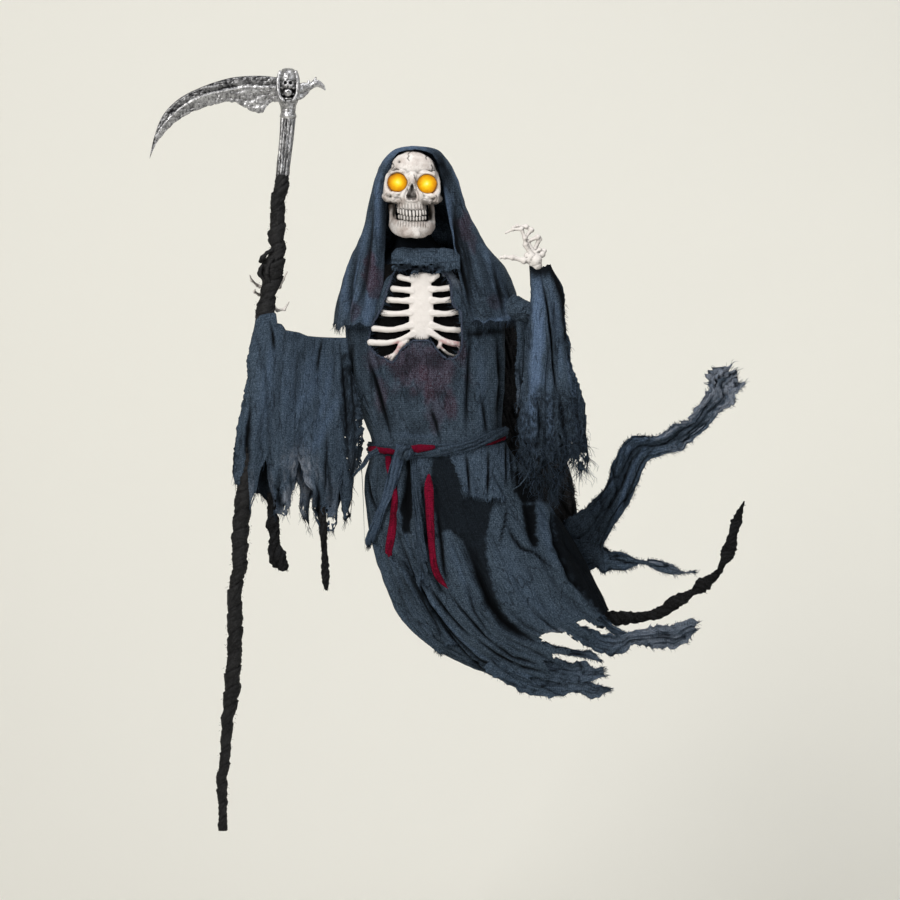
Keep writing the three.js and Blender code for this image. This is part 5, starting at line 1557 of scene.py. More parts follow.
# %% Sleeve that holds the scythe
WIDE_LEFT = [-378, -391, -397, -404, -420, -425, -428]
WIDE_RIGHT = [-160, -152, -138, -126, -122, -126]
WIDE_TOP = [
    [-378, -428], [-364, -413], [-345, -409], [-330, -408], [-327, -434], [-315, -437], [-306, -451],
    [-274, -456], [-255, -464], [-230, -466], [-190, -467], [-160, -467],
]
WIDE_FOOT = [
    [-428, -805], [-418, -840], [-410, -826], [-403, -806], [-397, -830], [-387, -876], [-378, -838],
    [-366, -770], [-357, -745], [-352, -770], [-345, -800], [-336, -870], [-325, -893], [-311, -900],
    [-297, -868], [-288, -838], [-283, -820], [-276, -775], [-270, -757], [-262, -780], [-254, -826],
    [-245, -830], [-236, -880], [-225, -920], [-207, -928], [-189, -926], [-180, -880], [-175, -840],
    [-170, -890], [-165, -917], [-153, -893], [-147, -806], [-136, -790], [-126, -772],
]
WIDE_FOOT_BACK = [
    [-428, -790], [-410, -835], [-396, -850], [-372, -836], [-357, -852], [-340, -870], [-318, -885],
    [-305, -862], [-292, -828], [-283, -812], [-274, -828], [-270, -880], [-262, -892], [-255, -930],
    [-249, -880], [-243, -832], [-236, -896], [-205, -895], [-182, -900], [-176, -832], [-171, -905],
    [-156, -915], [-150, -860], [-147, -800], [-126, -765],
]
WIDE_FOLDS = [
    ([[-341, -430], [-334, -465], [-330, -500]], 7, 4, 0.9),
    ([[-219, -466], [-226, -500], [-233, -545]], 7, 4, 0.95),
    ([[-390, -618], [-393, -680], [-396, -740], [-402, -830]], 10, 6, 1.0),
    ([[-325, -500], [-326, -600], [-330, -700], [-345, -790]], 3, 9, 0.12),
    ([[-326, -790], [-320, -850], [-316, -890]], 6, 5, 0.8),
    ([[-205, -700], [-212, -780], [-216, -860]], 5, 4, 0.85),
    ([[-178, -480], [-168, -560], [-162, -640], [-160, -730]], 10, 4, 0.95),
    ([[-150, -500], [-146, -600], [-142, -700]], 6, 4, 0.8),
    ([[-262, -500], [-276, -600], [-296, -700]], 5, 12, 0.12),
    ([[-233, -817], [-228, -870], [-223, -924]], 9, 5, 1.0),
    ([[-205, -760], [-196, -880]], 8, 8, 0.6),
]
WIDE_LIGHTS = [
    ([[-240, -500], [-262, -590], [-300, -690]], 20, 0.3),
    ([[-330, -470], [-350, -560], [-352, -700]], 14, 0.3),
    ([[-196, -520], [-214, -620], [-240, -700]], 9, 0.4),
    ([[-214, -521], [-245, -590], [-279, -650]], 15, 0.32),
    ([[-177, -604], [-205, -660], [-233, -720], [-256, -743]], 12, 0.4),
    ([[-290, -480], [-300, -600], [-290, -740]], 22, 0.14),
    ([[-360, -470], [-362, -600], [-366, -720]], 11, 0.12),
    ([[-272, -780], [-262, -860]], 12, 0.5),
    ([[-345, -820], [-322, -880]], 9, 0.3),
    ([[-200, -800], [-196, -900]], 10, 0.2),
    ([[-250, -640], [-262, -700], [-300, -790]], 16, 0.22),
]
# Paler patches at the foot: painted light where the thin, lacy gauze lets light through.
WIDE_PALE = [
    ([[-276, -752], [-268, -800], [-258, -860]], 24, 1.9),
    ([[-298, -830], [-310, -870], [-314, -900]], 16, 1.3),
    ([[-272, -850], [-266, -885], [-256, -925]], 10, 1.0),
    ([[-345, -790], [-338, -850], [-326, -890]], 7, 0.6),
    ([[-150, -740], [-146, -770], [-140, -790]], 9, 0.5),
    ([[-205, -800], [-196, -860], [-186, -915]], 12, 0.5),
    ([[-384, -790], [-388, -830], [-387, -868]], 5, 0.5),
]
WEB = [
    [-172, -500], [-130, -500], [-100, -600], [-100, -810], [-150, -800], [-166, -740], [-177, -640],
    [-178, -560],
]


def make_wide_sleeve():
    points, dark = sleeve_points(
        (WIDE_LEFT, WIDE_RIGHT), line_of(WIDE_TOP), line_of(WIDE_FOOT), line_of(WIDE_FOOT_BACK),
        lambda s, t: blend(-202, -62, ramp(s, 0.1, 1)),
        lambda s, t: blend(36, 18, s) * blend(1, 0.5, ramp(t, 0.6, 1)),
        96, 130, 131, WIDE_FOLDS, 2.6, 0.9, 3)
    x, z = points[..., 0], points[..., 2]
    front = np.arange(points.shape[1]) < points.shape[1] // 2
    # The back layer is darkened towards the foot: painted shade, seen through the notches of the front layer.
    inner = 1 - 0.85 * ramp(-z, 690, 760) * (1 - spots([[-257, -825, 26, 66, 1.0]], x, z))
    outer = 1 - area(WEB, x, z, 6) * (0.5 + 0.4 * lumps(x, 0, z, (5, 60, 9), 133))
    shade = (1 - dark) * np.where(front, outer, inner)
    light = np.minimum(1.2 * streaks(WIDE_LIGHTS, x, z, 136) + 0.08, 1)
    keep = worn_through(points, 137, -800, -910, 0.36)
    middle = face_middles(points, True)
    web = area(WEB, middle[:, 0], middle[:, 2]) * ramp(-middle[:, 2], 600, 740) * 0.5
    keep &= 0.5 + 0.5 * lumps(middle[:, 0], 0, middle[:, 2], (3, 60, 4), 139) > 0.34 * web
    pale_and_sheen = streaks(WIDE_PALE, x, z, 135) * (0.5 + 0.5 * lumps(x, 0, z, (5, 9, 5), 134)) * 1.4
    marks = {"shade": shade, "light": light * shade, "pale_and_sheen": np.clip(pale_and_sheen, 0, 1) * (1 - dark)}
    piece = cloth("sleeve_holding_scythe", points, closed=True, keep=keep, marks=marks)
    place(piece, BLUE_GAUZE, "blue_gauze", ["sleeve_holding_scythe"])
    way = np.tile([0.0, -0.05, -1.0], (len(points[-1]), 1))
    fringe = edge_threads("fringe", points[-1], way, 520, 20, 138)
    start, way_down, long = np.array([[-125, -70, -775]]), np.array([[0.05, 0, -1]]), np.array([200])
    long_thread = threads("long_thread", start, way_down, long, 144, radius=1.0, droop=0, curl=0.03)
    fringe = joined("sleeve_holding_scythe_fringe", [fringe, long_thread])
    place(fringe, BLUE_GAUZE, "blue_gauze")


make_wide_sleeve()

# %% [markdown]
# The sleeve on the right hangs from the raised wrist. Its left half catches the light and looks
# blue, a black crease runs down beside it, and its lower third is rotted into a beard of threads.

# %% Sleeve of the raised hand
RAISED_LEFT = [282, 284, 281, 277, 269, 259, 259, 260]
RAISED_RIGHT = [333, 363, 366, 374, 381, 402, 416, 416]
RAISED_FOOT = [
    [260, -752], [272, -800], [284, -776], [296, -818], [312, -790], [332, -840], [350, -796], [366, -790],
    [379, -768], [392, -766], [406, -790], [415, -780],
]
RAISED_FOOT_BACK = [
    [260, -740], [278, -776], [304, -846], [322, -804], [342, -850], [365, -790], [390, -742], [415, -716],
]
RAISED_FOLDS = [
    ([[311, -318], [321, -379], [332, -446], [336, -527], [347, -607]], 14, 2.6, 1.0),
    ([[343, -318], [365, -388], [368, -446], [371, -500]], 6, 8, 0.95),
    ([[331, -286], [345, -320], [357, -360], [364, -400]], 2, 7, 1.0),
    ([[350, -590], [362, -660], [372, -740]], 10, 6, 0.8),
    ([[284, -330], [281, -450], [274, -600]], 4, 6, 0.3),
    ([[300, -600], [306, -660], [300, -740]], 8, 5, 0.7),
    ([[392, -600], [400, -680], [402, -760]], 7, 5, 0.6),
]
RAISED_LIGHTS = [
    ([[300, -320], [299, -388], [299, -480], [296, -567], [288, -640], [282, -730]], 14, 1.5),
    ([[270, -620], [266, -680], [270, -740]], 8, 0.5),
    ([[330, -330], [344, -400], [352, -480], [358, -560]], 9, 0.45),
    ([[372, -500], [380, -560], [392, -640], [400, -740]], 9, 0.5),
    ([[326, -560], [330, -660], [330, -760]], 9, 0.55),
]
UPPER_ARM = [
    [195, 0, -385, 40], [225, -25, -388, 36], [255, -50, -394, 31], [282, -72, -404, 25],
    [306, -88, -412, 20],
]


STRAND = [[285, -150, -755], [282, -150, -785], [271, -148, -804], [256, -146, -822], [240, -146, -831]]


def make_raised_sleeve():
    points, dark = sleeve_points(
        (RAISED_LEFT, RAISED_RIGHT), lambda s: -290 - 7 * np.sin(np.pi * s) + 4 * s + 1.5 * np.sin(31 * s),
        line_of(RAISED_FOOT), line_of(RAISED_FOOT_BACK), lambda s, t: blend(-96, -130, ramp(t, 0, 0.7)),
        lambda s, t: blend(22, 30, t) * blend(1, 0.6, ramp(t, 0.7, 1)),
        72, 150, 141, RAISED_FOLDS, 4.5, 0.35, 0)
    x, y, z = np.moveaxis(points, -1, 0)
    wrist = ramp(z + 9 * lumps(x, 0, z, (7, 60, 30), 144), -330, -306)
    mottle = ramp(-z, 560, 620) * np.clip(1.6 * np.abs(lumps(x, y, z, (5, 9, 9), 146)), 0, 0.7)
    foot = spots([[330, -800, 60, 40, 1.0]], x, z)
    shade = (1 - dark) * (1 - 0.93 * wrist) * (1 - 0.6 * foot) * (1 - mottle)
    keep = worn_through(points, 147, -620, -830, 0.5)
    marks = {"shade": shade, "light": np.minimum(streaks(RAISED_LIGHTS, x, z, 145), 1) * shade}
    body = cloth("sleeve_raised", points, closed=True, keep=keep, marks=marks)
    place(body, BLUE_GAUZE, "blue_gauze", ["sleeve_raised"])
    way = np.tile([0.0, -0.1, -1.0], (len(points[-1]), 1))
    beard = [edge_threads("beard", points[-1], way, 460, 44, 148, curl=0.9, radius=0.9)]
    forward = way * [1, 5, 1]
    for row, count in ((-10, 220), (-20, 220), (-32, 160), (-46, 110)):
        front = points[row, :72]
        beard.append(edge_threads("beard", front, forward, count, 34, 150 - row, curl=1.0, radius=0.8))
    right_side = points[30:, 71]
    outwards = np.tile([1.0, -0.3, -0.6], (len(right_side), 1))
    beard.append(edge_threads("beard", right_side, outwards, 240, 13, 149))
    beard.append(rope("strand", STRAND, 1.6, 8, 143))
    fringe = joined("sleeve_raised_fringe", beard)
    place(fringe, BLUE_GAUZE, "blue_gauze")


make_raised_sleeve()

# %% [markdown]
# The upper arm of that sleeve comes out from under the cape. It is a short tube of cloth.

# %% Upper arm
def make_upper_arm():
    t = np.linspace(0, 1, 60)
    path = through(UPPER_ARM, t)
    middle, radius = path[:, :3], path[:, 3]
    along = directions(middle)
    side = unit(np.cross(along, [0, 0, 1.0]))
    up = np.cross(side, along)
    a = 2 * np.pi * np.arange(64) / 64
    run, across = t[:, None] * 140, a[None] * 34
    wrinkle = 5 * crumple(run, across, 0, (17, 60, 9), 151) + 2 * lumps(run, across, 0, 12, 152)
    r = radius[:, None] * 0.92 + wrinkle
    points = middle[:, None] + side[:, None] * (r * np.cos(a))[..., None]
    points = points + up[:, None] * (r * np.sin(a))[..., None]
    # Painted shade in the wrinkles.
    marks = {"shade": 1 - np.clip(-wrinkle / 5 - 0.4, 0, 0.9)}
    piece = cloth("sleeve_raised_arm", points, closed=True, marks=marks)
    place(piece, BLUE_GAUZE, "blue_gauze")


make_upper_arm()

# %% [markdown]
# ## Drapes and tails behind
# Torn ends of the robe blow to the right and up behind it. Each is a sheet between two measured
# edges, creased lengthwise. Its edges are ragged, and threads stand off them.

# %% A sheet between two edges
def sheet_between(name, left, right, depth, count, across, seed, light=0.0, crease=5.0, ragged=3.0,
                  split=16.0, long=4, per_side=60, tilt=0.0, band=0.0, root=0.0, ridges=(), creases=()):
    """Left and right are x, z places from start to end, depth is y along the middle."""
    t = np.linspace(0, 1, count)
    l, r = through(left, t), through(right, t)
    y = through([[d] for d in depth], t)[:, 0]
    s = np.linspace(0, 1, across)
    run = run_along((l + r) / 2)
    wide = np.linalg.norm(r - l, axis=1)
    torn = [ragged * (lumps(run, k, 0, 6, seed + k) + lumps(run, k, 0, 24, seed + 3 + k)) / (wide + 1)
            for k in (0, 9)]
    torn = [edge * blend(0.35, 1, ramp(t, 0.4, 0.6)) for edge in torn]
    share = s[None] - torn[0][:, None] * (1 - s[None]) ** 3 + torn[1][:, None] * s[None] ** 3
    x, z = (blend(l[:, None, k], r[:, None, k], share) for k in (0, 1))
    across_mm = s[None] * wide.mean()
    hang = crumple(across_mm, run[:, None] * 0.14, seed, 13, seed + 11)
    small = crumple(across_mm, run[:, None] * 0.45, seed, 9, seed + 12)
    out = crease * (1.6 * hang + 0.7 * small)
    out = out + 5 * lumps(across_mm, run[:, None], seed, (30, 70, 30), seed + 13)
    out = out * np.minimum(1, wide / 40)[:, None]
    y = y[:, None] - out + tilt * (s[None] - 0.5) * wide[:, None]
    points = np.stack(np.broadcast_arrays(x, y, z), -1)
    away = directions((points[:, 0] + points[:, -1]) / 2)
    ends = split * lumps(across_mm[0], 0, seed, 9, seed + 14) * ramp(t, 0.8, 1.0)[:, None] ** 2
    points = points + away[:, None] * ends[..., None]
    # Painted shade in the creases. Painted highlights lie on the crests and in two bands near the edges; past
    # the middle, where the cloth has rotted, they are also painted paler, and the far end is paler too.
    dark = np.clip(-hang - 0.3, 0, 0.9)
    strands = 0.5 + 0.5 * lumps(across_mm, run[:, None], 0, (4, 60, 9), seed + 15)
    bands = np.exp(-(((s - 0.13) / 0.15) ** 2)) + 0.45 * np.exp(-(((s - 0.9) / 0.1) ** 2)) + 0.25 * strands
    rotted = ramp(t, 0.42, 0.72)[:, None]
    crest = light * np.clip(hang + small + 0.5, 0, 1) * strands
    lit = light * np.clip(1 - 0.8 * ramp(-small, 0.1, 0.6), 0, 1) * bands * (0.4 + strands)
    lit = lit * ramp(t, 0.1, 0.3)[:, None]
    pale_and_sheen = lit * rotted * (0.95 + 0.9 * lumps(across_mm, run[:, None], 0, (5, 5, 9), seed + 16))
    far = ramp(t, 0.72, 0.95)[:, None]
    pale_and_sheen += light * far * np.clip(0.5 + 0.6 * lumps(across_mm, run[:, None], 0, (7, 9, 9), seed + 17), 0, 1)
    dark_band = band * np.exp(-(((s - 0.42) / 0.16) ** 2)) * (1 - 0.75 * far)
    dark = np.maximum(dark * (1 - 0.5 * far * light), dark_band)
    dark = np.maximum(dark, root * ramp(t, 0.3, 0.12)[:, None])
    drawn_x, drawn_z = points[..., 0], points[..., 2]
    dark = np.maximum(dark, streaks(creases, drawn_x, drawn_z, seed + 18))
    lit = 0.7 * lit + 0.4 * crest + streaks(ridges, drawn_x, drawn_z, seed + 19)
    shade = 1 - dark
    marks = {"shade": shade, "light": np.minimum(lit, 1) * shade, "pale_and_sheen": np.clip(1.4 * pale_and_sheen, 0, 1) * shade}
    piece = cloth(name, points, marks=marks)
    way = points[:, -1] - points[:, 0]
    way /= np.linalg.norm(way, axis=1, keepdims=True) + 1e-6
    foot_way = np.repeat(away[-1:], across, 0)
    fringe = [
        edge_threads(name + "_a", points[:, 0], 0.6 * away - way, per_side, long, seed + 70, glow=light),
        edge_threads(name + "_b", points[:, -1], 0.6 * away + way, per_side, long, seed + 71, glow=light),
        edge_threads(name + "_c", points[-1], foot_way, 60, long * 2, seed + 72, glow=light, droop=0),
    ]
    return piece, joined(name + "_fringe", fringe)


DRAPE_LEFT = [[150, -412], [190, -600], [235, -760], [262, -900], [290, -1010], [330, -1085]]
DRAPE_RIGHT = [[264, -412], [312, -600], [384, -790], [398, -880], [416, -1000], [462, -1104]]
TAIL_UPPER_LEFT = [
    [330, -935], [400, -890], [438, -861], [472, -823], [484, -779], [506, -730], [530, -706], [564, -701],
    [590, -704], [617, -688], [636, -670], [665, -662], [689, -628], [719, -588], [727, -554], [770, -521],
]
TAIL_UPPER_RIGHT = [
    [392, -1045], [446, -1022], [468, -962], [500, -906], [530, -862], [549, -815], [569, -770], [597, -752],
    [629, -741], [657, -733], [685, -710], [717, -680], [745, -646], [777, -628], [786, -604], [808, -579],
]
TAIL_MIDDLE_LEFT = [
    [372, -950], [430, -958], [465, -971], [484, -983], [509, -984], [532, -997], [560, -1007], [588, -1005],
    [630, -1014], [660, -1033], [681, -1032],
]
TAIL_MIDDLE_RIGHT = [
    [380, -1030], [436, -1014], [462, -1036], [484, -1028], [518, -1030], [538, -1022], [562, -1015],
    [600, -1033], [640, -1040], [662, -1039], [681, -1034],
]
# Painted highlights along the tail's ridges, and painted shade in its creases below.
TAIL_RIDGES = [
    ([[592, -701], [545, -759], [522, -814], [498, -892], [470, -960]], 5, 0.75),
    ([[566, -712], [530, -735], [512, -790], [480, -870]], 4, 0.5),
    ([[640, -672], [680, -650], [712, -612], [730, -570]], 6, 0.6),
    ([[480, -800], [450, -870], [410, -920]], 5, 0.45),
]
TAIL_CREASES = [
    ([[576, -709], [534, -757], [510, -822], [475, -884], [430, -950]], 4, 1.0),
    ([[506, -728], [486, -806], [444, -868], [400, -910]], 3, 0.9),
    ([[604, -712], [556, -768], [532, -826], [506, -900]], 3, 0.9),
    ([[620, -722], [664, -700], [704, -664], [742, -610]], 3.5, 0.8),
]
ARM_STRIP_LEFT = [[246, -405], [252, -480], [250, -560], [252, -640]]
ARM_STRIP_RIGHT = [[288, -405], [286, -480], [284, -560], [276, -640]]


BACK_CLOTHS = [
    ("back_drape", DRAPE_LEFT, DRAPE_RIGHT, [104, 106, 106, 102, 98, 92], 110, 44, 301,
     {"crease": 7.0, "tilt": 0.05, "per_side": 220, "long": 7}),
    ("tail_upper", TAIL_UPPER_LEFT, TAIL_UPPER_RIGHT, [66, 66, 66, 68, 66, 60, 54, 48, 44, 42], 190, 36, 311,
     {"light": 0.95, "crease": 7.5, "per_side": 340, "long": 9, "ragged": 5.5, "split": 38.0,
      "band": 0.5, "root": 0.62, "ridges": TAIL_RIDGES, "creases": TAIL_CREASES}),
    ("tail_middle", TAIL_MIDDLE_LEFT, TAIL_MIDDLE_RIGHT, [58, 62, 68, 74, 74, 72, 70], 120, 22, 321,
     {"light": 0.6, "crease": 5.5, "per_side": 200, "long": 8, "split": 6.0, "root": 0.6}),
    ("sleeve_raised_strip", ARM_STRIP_LEFT, ARM_STRIP_RIGHT, [-58, -70, -76, -80], 70, 20, 326,
     {"light": 0.15, "crease": 4.0, "per_side": 60, "split": 20.0}),
]
for name, left, right, depth, count, across, seed, more in BACK_CLOTHS:
    piece, fringe = sheet_between(name, left, right, depth, count, across, seed, **more)
    black = name == "back_drape"
    finish, slot = (BLACK_GAUZE, "black_gauze") if black else (BLUE_GAUZE, "blue_gauze")
    place(piece, finish, slot, [] if name == "sleeve_raised_strip" else [name])
    place(fringe, finish, slot)

# %% [markdown]
# ## Black strips
# One black strip blows out behind the hem, and two hang out of the sleeve beside the shaft. Each
# has been twisted into a rope: it is thick where it is bunched and thin where it is pulled tight.

# %% Twisted black strips
BLACK_TAIL = [
    [450, 30, -1141, 13], [480, 33, -1145, 17], [520, 34, -1146, 18], [565, 30, -1142, 13],
    [600, 26, -1133, 15], [640, 22, -1106, 19], [664, 20, -1092, 13], [684, 18, -1080, 10],
    [703, 16, -1066, 19], [724, 16, -1052, 14], [743, 16, -1034, 9], [754, 18, -1012, 10],
    [766, 18, -988, 19], [774, 20, -964, 17], [779, 20, -938, 12], [788, 22, -910, 14], [796, 23, -886, 8],
    [807, 24, -860, 1.5],
]
CUFF_WIDE = [
    [-342, -175, -838, 14], [-338, -176, -880, 13], [-336, -176, -915, 17], [-333, -176, -950, 14],
    [-330, -176, -975, 19], [-322, -176, -1000, 22], [-312, -176, -1018, 16], [-309, -176, -1027, 5],
]
CUFF_NARROW = [
    [-221, -110, -870, 8], [-217, -110, -920, 11], [-215, -110, -960, 8], [-213, -110, -1000, 9],
    [-212, -110, -1030, 11], [-211, -110, -1055, 9], [-209, -110, -1075, 3],
]


FLATNESS = 0.62
NAP_THREADS = 60


def twisted_strip(name, rows, count, seed, turns):
    path = through(rows, np.linspace(0, 1, count))
    sides = 40
    t = np.arange(count) / count
    middle, half = path[:, :3], path[:, 3]
    along = directions(middle)
    side = unit(np.cross(along, [0.0, 1.0, 0.0]))
    front = np.cross(side, along)
    a = around(sides)
    wound = a[None] + turns * 2 * np.pi * t[:, None]
    length = run_along(middle)[:, None]
    groove = np.abs(np.sin(2.5 * wound + 1.2 * lumps(length, 0, 0, 40, seed))) ** 0.6
    wrinkle = crumple(wound * 9, length * 0.5, 0, (12, 17, 9), seed + 2)
    r = 0.72 + 0.24 * groove + 0.2 * wrinkle + 0.16 * lumps(wound * 8, length, 0, (7, 9, 9), seed + 1)
    p = half[:, None] * r * np.cos(a) * 1.05
    q = np.maximum(half * FLATNESS, 1.2)[:, None] * r * np.sin(a)
    points = middle[:, None] + side[:, None] * p[..., None] + front[:, None] * q[..., None]
    # Painted shade in the grooves and creases, and a painted shine on the raised folds.
    dark = np.clip(0.55 - groove, 0, 0.5) + np.clip(-wrinkle - 0.4, 0, 0.6)
    shine = 0.34 * np.clip(wrinkle + 0.15, 0, 1) * np.clip(1.6 * groove - 0.6, 0, 1)
    piece = cloth_tube(name, points, marks={"shade": 1 - dark, "pale_and_sheen": shine})
    random = np.random.default_rng(seed)
    pick = random.integers(0, count * sides, NAP_THREADS)
    starts = points.reshape(-1, 3)[pick]
    ways = starts - middle[pick // sides] + along[pick // sides] * half[pick // sides, None]
    fluff = threads(name + "_nap", starts, ways, random.uniform(2, 7, NAP_THREADS), seed + 4)
    return joined(name, [piece, fluff])


def make_black_strips():
    for name, rows, count, seed, turns in (
        ("tail_black", BLACK_TAIL, 260, 331, 7),
        ("cuff_strip_wide", CUFF_WIDE, 130, 335, 1.5),
        ("cuff_strip_narrow", CUFF_NARROW, 130, 339, 2),
    ):
        place(twisted_strip(name, rows, count, seed, turns), BLACK_GAUZE, "black_gauze", [name])


make_black_strips()

# %% [markdown]
# ## The scythe's shaft
# The shaft is a plastic pole wound from end to end with a strip of black cloth. The strip runs
# round in overlapping turns of uneven width, so the outline swells and dips, and near the upper
# hand it is bunched into a lump. The shaft ends in a plain cut.

# %% Wrapped shaft
SHAFT_LINE = [
    [-312, -75, 16], [-313, -90, 18], [-318, -112, 19], [-324, -145, 18], [-325, -203, 22], [-325, -228, 22],
    [-321, -253, 21], [-333, -280, 26], [-339, -310, 26], [-344, -340, 24], [-347, -368, 21],
    [-353, -386, 26], [-354, -415, 26], [-362, -450, 21], [-368, -518, 20], [-384, -663, 20],
    [-400, -808, 21], [-409, -890, 23], [-413, -960, 21], [-417, -1020, 20], [-427, -1074, 18],
    [-428, -1150, 20], [-431, -1230, 20], [-435, -1310, 20], [-440, -1345, 19], [-448, -1413, 15],
    [-455, -1500, 13], [-457, -1570, 12], [-457, -1650, 13],
]
WRAP_PITCH = 46.0


def upright_rings(x, z, radius):
    """Level rings of points about the scythe's line, with a radius for every point."""
    a = around(radius.shape[1])
    x, z = x[:, None], np.broadcast_to(z[:, None], radius.shape)
    return np.stack([x + radius * np.cos(a), SCYTHE_Y + radius * np.sin(a), z], -1)


def make_shaft():
    count, sides = 760, 72
    line = np.array(SHAFT_LINE)
    z = np.linspace(line[0, 1], line[-1, 1], count)
    t = np.interp(-z, -line[:, 1], np.linspace(0, 1, len(line)))
    x, _, radius = np.moveaxis(through(SHAFT_LINE, t), -1, 0)
    x = x + (2.6 * lumps(z, 0, 0, 46, 339) + 1.4 * lumps(z, 0, 0, 17, 340)) * ramp(-z, 90, 160)
    a = around(sides)
    turn = -z[:, None] / WRAP_PITCH + a[None] / (2 * np.pi) + 0.35 * lumps(z[:, None], 0, 0, 150, 341)
    turn = turn + 0.07 * lumps(a[None] * 18, 0, z[:, None], (14, 9, 22), 342)
    step = turn - np.floor(turn)
    overlap = ramp(step, 0, 0.06) * (1 - step) ** 0.8
    seam = np.exp(-((step / 0.05) ** 2)) + np.exp(-(((1 - step) / 0.05) ** 2))
    wrap_number = np.floor(turn)
    thick = 0.5 + 0.5 * lumps(wrap_number * 7.3, 0, 0, 1.7, 343)
    along_wrap = turn * 40 + a[None] * 20
    folds = crumple(along_wrap, step * 40, wrap_number * 31, (26, 9, 20), 344)
    fine = lumps(a[None] * 18, 0, z[:, None], (5, 9, 7), 345)
    bunch = 6 * spots([[0, -298, 1, 26, 1.0]], 0 * z[:, None], z[:, None])
    r = radius[:, None] * 0.87 + 5.8 * thick * overlap + 2.8 * folds + 1.0 * fine - 1.3 * seam
    knot = np.exp(-(((a[None] - np.pi) / 0.5) ** 2)) + np.exp(-((a[None] / 0.5) ** 2)) * 0.5
    bunch_folds = 3 * crumple(a[None] * 22, 0, z[:, None], (16, 9, 40), 346) * (bunch > 1)
    r = r + bunch * (0.3 + knot) + bunch_folds
    # Painted shade in the seams between the turns and in the creases of the folds.
    dark = np.clip(0.8 * seam + np.clip(-folds - 0.35, 0, 0.6), 0, 0.9)
    piece = tube("scythe_shaft", upright_rings(x, z, r))
    set_mark(piece, "shade", 1 - dark)
    place(piece, BLACK_WRAP, "black_wrap", ["scythe_shaft"])


make_shaft()

# %% [markdown]
# Pieces of the wrap have come loose at the bunched part and stick out to the left, with a loose
# end to the right.

# %% Loose ends of the wrap
LOOSE_ENDS = [
    [[-336, -214, -256], [-350, -220, -264], [-362, -220, -276], [-366, -214, -286]],
    [[-356, -216, -292], [-364, -222, -300], [-367, -220, -314], [-352, -216, -330]],
    [[-334, -222, -276], [-344, -228, -290], [-350, -228, -312], [-342, -222, -334]],
]


def make_loose_ends():
    pieces = []
    for number, rows in enumerate(LOOSE_ENDS):
        path = through(rows, np.linspace(0, 1, 46))
        radius = (5.5 - number * 0.5) * (0.55 + 0.45 * np.sin(np.linspace(0.3, 3.0, 46)))
        pieces.append(rope("wrap_end", path, radius, 14, 351 + number, rough=0.5))
    random = np.random.default_rng(355)
    z = random.uniform(-1600, -95, 420)
    line = np.array(SHAFT_LINE)
    x = np.interp(-z, -line[:, 1], line[:, 0])
    r = np.interp(-z, -line[:, 1], line[:, 2])
    a = random.uniform(0, 2 * np.pi, len(z))
    out = np.stack([np.cos(a), np.sin(a), 0 * a], 1)
    starts = np.stack([x, SCYTHE_Y + 0 * x, z], 1) + out * r[:, None]
    ways = out + random.normal(0, 0.8, (len(z), 3))
    pieces.append(threads("wrap_nap", starts, ways, random.uniform(2, 8, len(z)), 356, radius=0.55))
    place(joined("scythe_shaft_wrap_ends", pieces), BLACK_WRAP, "black_wrap")


make_loose_ends()

# %% [markdown]
# ## The silver parts
# Neck, socket and blade are plastic painted as old silver. The neck is fluted like carved wood.

# %% Neck
NECK_LINE = [[-299, 61, 19], [-300, 50, 18.5], [-303, 10, 17.5], [-309, -40, 16.5], [-312.5, -78, 16.5]]


def make_neck():
    count, sides = 150, 96
    t = np.linspace(0, 1, count)
    x, z, radius = np.moveaxis(through(NECK_LINE, t), -1, 0)
    a = around(sides)
    grain = crumple(a[None] * 19, 0, z[:, None], (5, 9, 60), 361)
    flutes = np.abs(np.sin(5.5 * a[None] + 0.5 * lumps(a[None] * 9, 0, z[:, None], (20, 9, 50), 362)))
    r = radius[:, None] + 2.3 * (flutes - 0.8) + 1.6 * grain
    r = r + 0.5 * lumps(a[None] * 18, 0, z[:, None], (6, 9, 12), 363)
    wash_and_shade = np.clip(0.9 * np.clip(-grain - 0.1, 0, 1) + 2.2 * np.clip(0.5 - flutes, 0, 1), 0, 1)
    piece = tube("scythe_neck", upright_rings(x, z, r))
    set_mark(piece, "wash_and_shade", wash_and_shade)
    place(piece, SILVER, "silver_paint", ["scythe_neck"])


make_neck()

# %% [markdown]
# The blade is made of cross-sections from the tip to the socket: a dark hammered band along the
# back, a sharp raised ridge, and a bevel that thins to the chipped edge, with a lug at its root.

# %% Blade
BLADE_BACK = [
    [-632, -36], [-620, 18], [-599, 69], [-559, 109], [-506, 136], [-445, 156], [-398, 162], [-352, 162],
    [-314, 157],
]
BLADE_RIDGE = [
    [-632, -37], [-618, 10], [-597, 46], [-559, 83], [-506, 113], [-445, 128], [-398, 136], [-352, 136],
    [-314, 134],
]
BLADE_EDGE = [
    [-633, -39], [-614, 2], [-588, 32], [-553, 63], [-506, 84], [-460, 97], [-424, 97], [-392, 80],
    [-363, 73], [-350, 90], [-330, 100], [-314, 100],
]
BLADE_HALF = 5.2
RIDGE_AT = 0.4


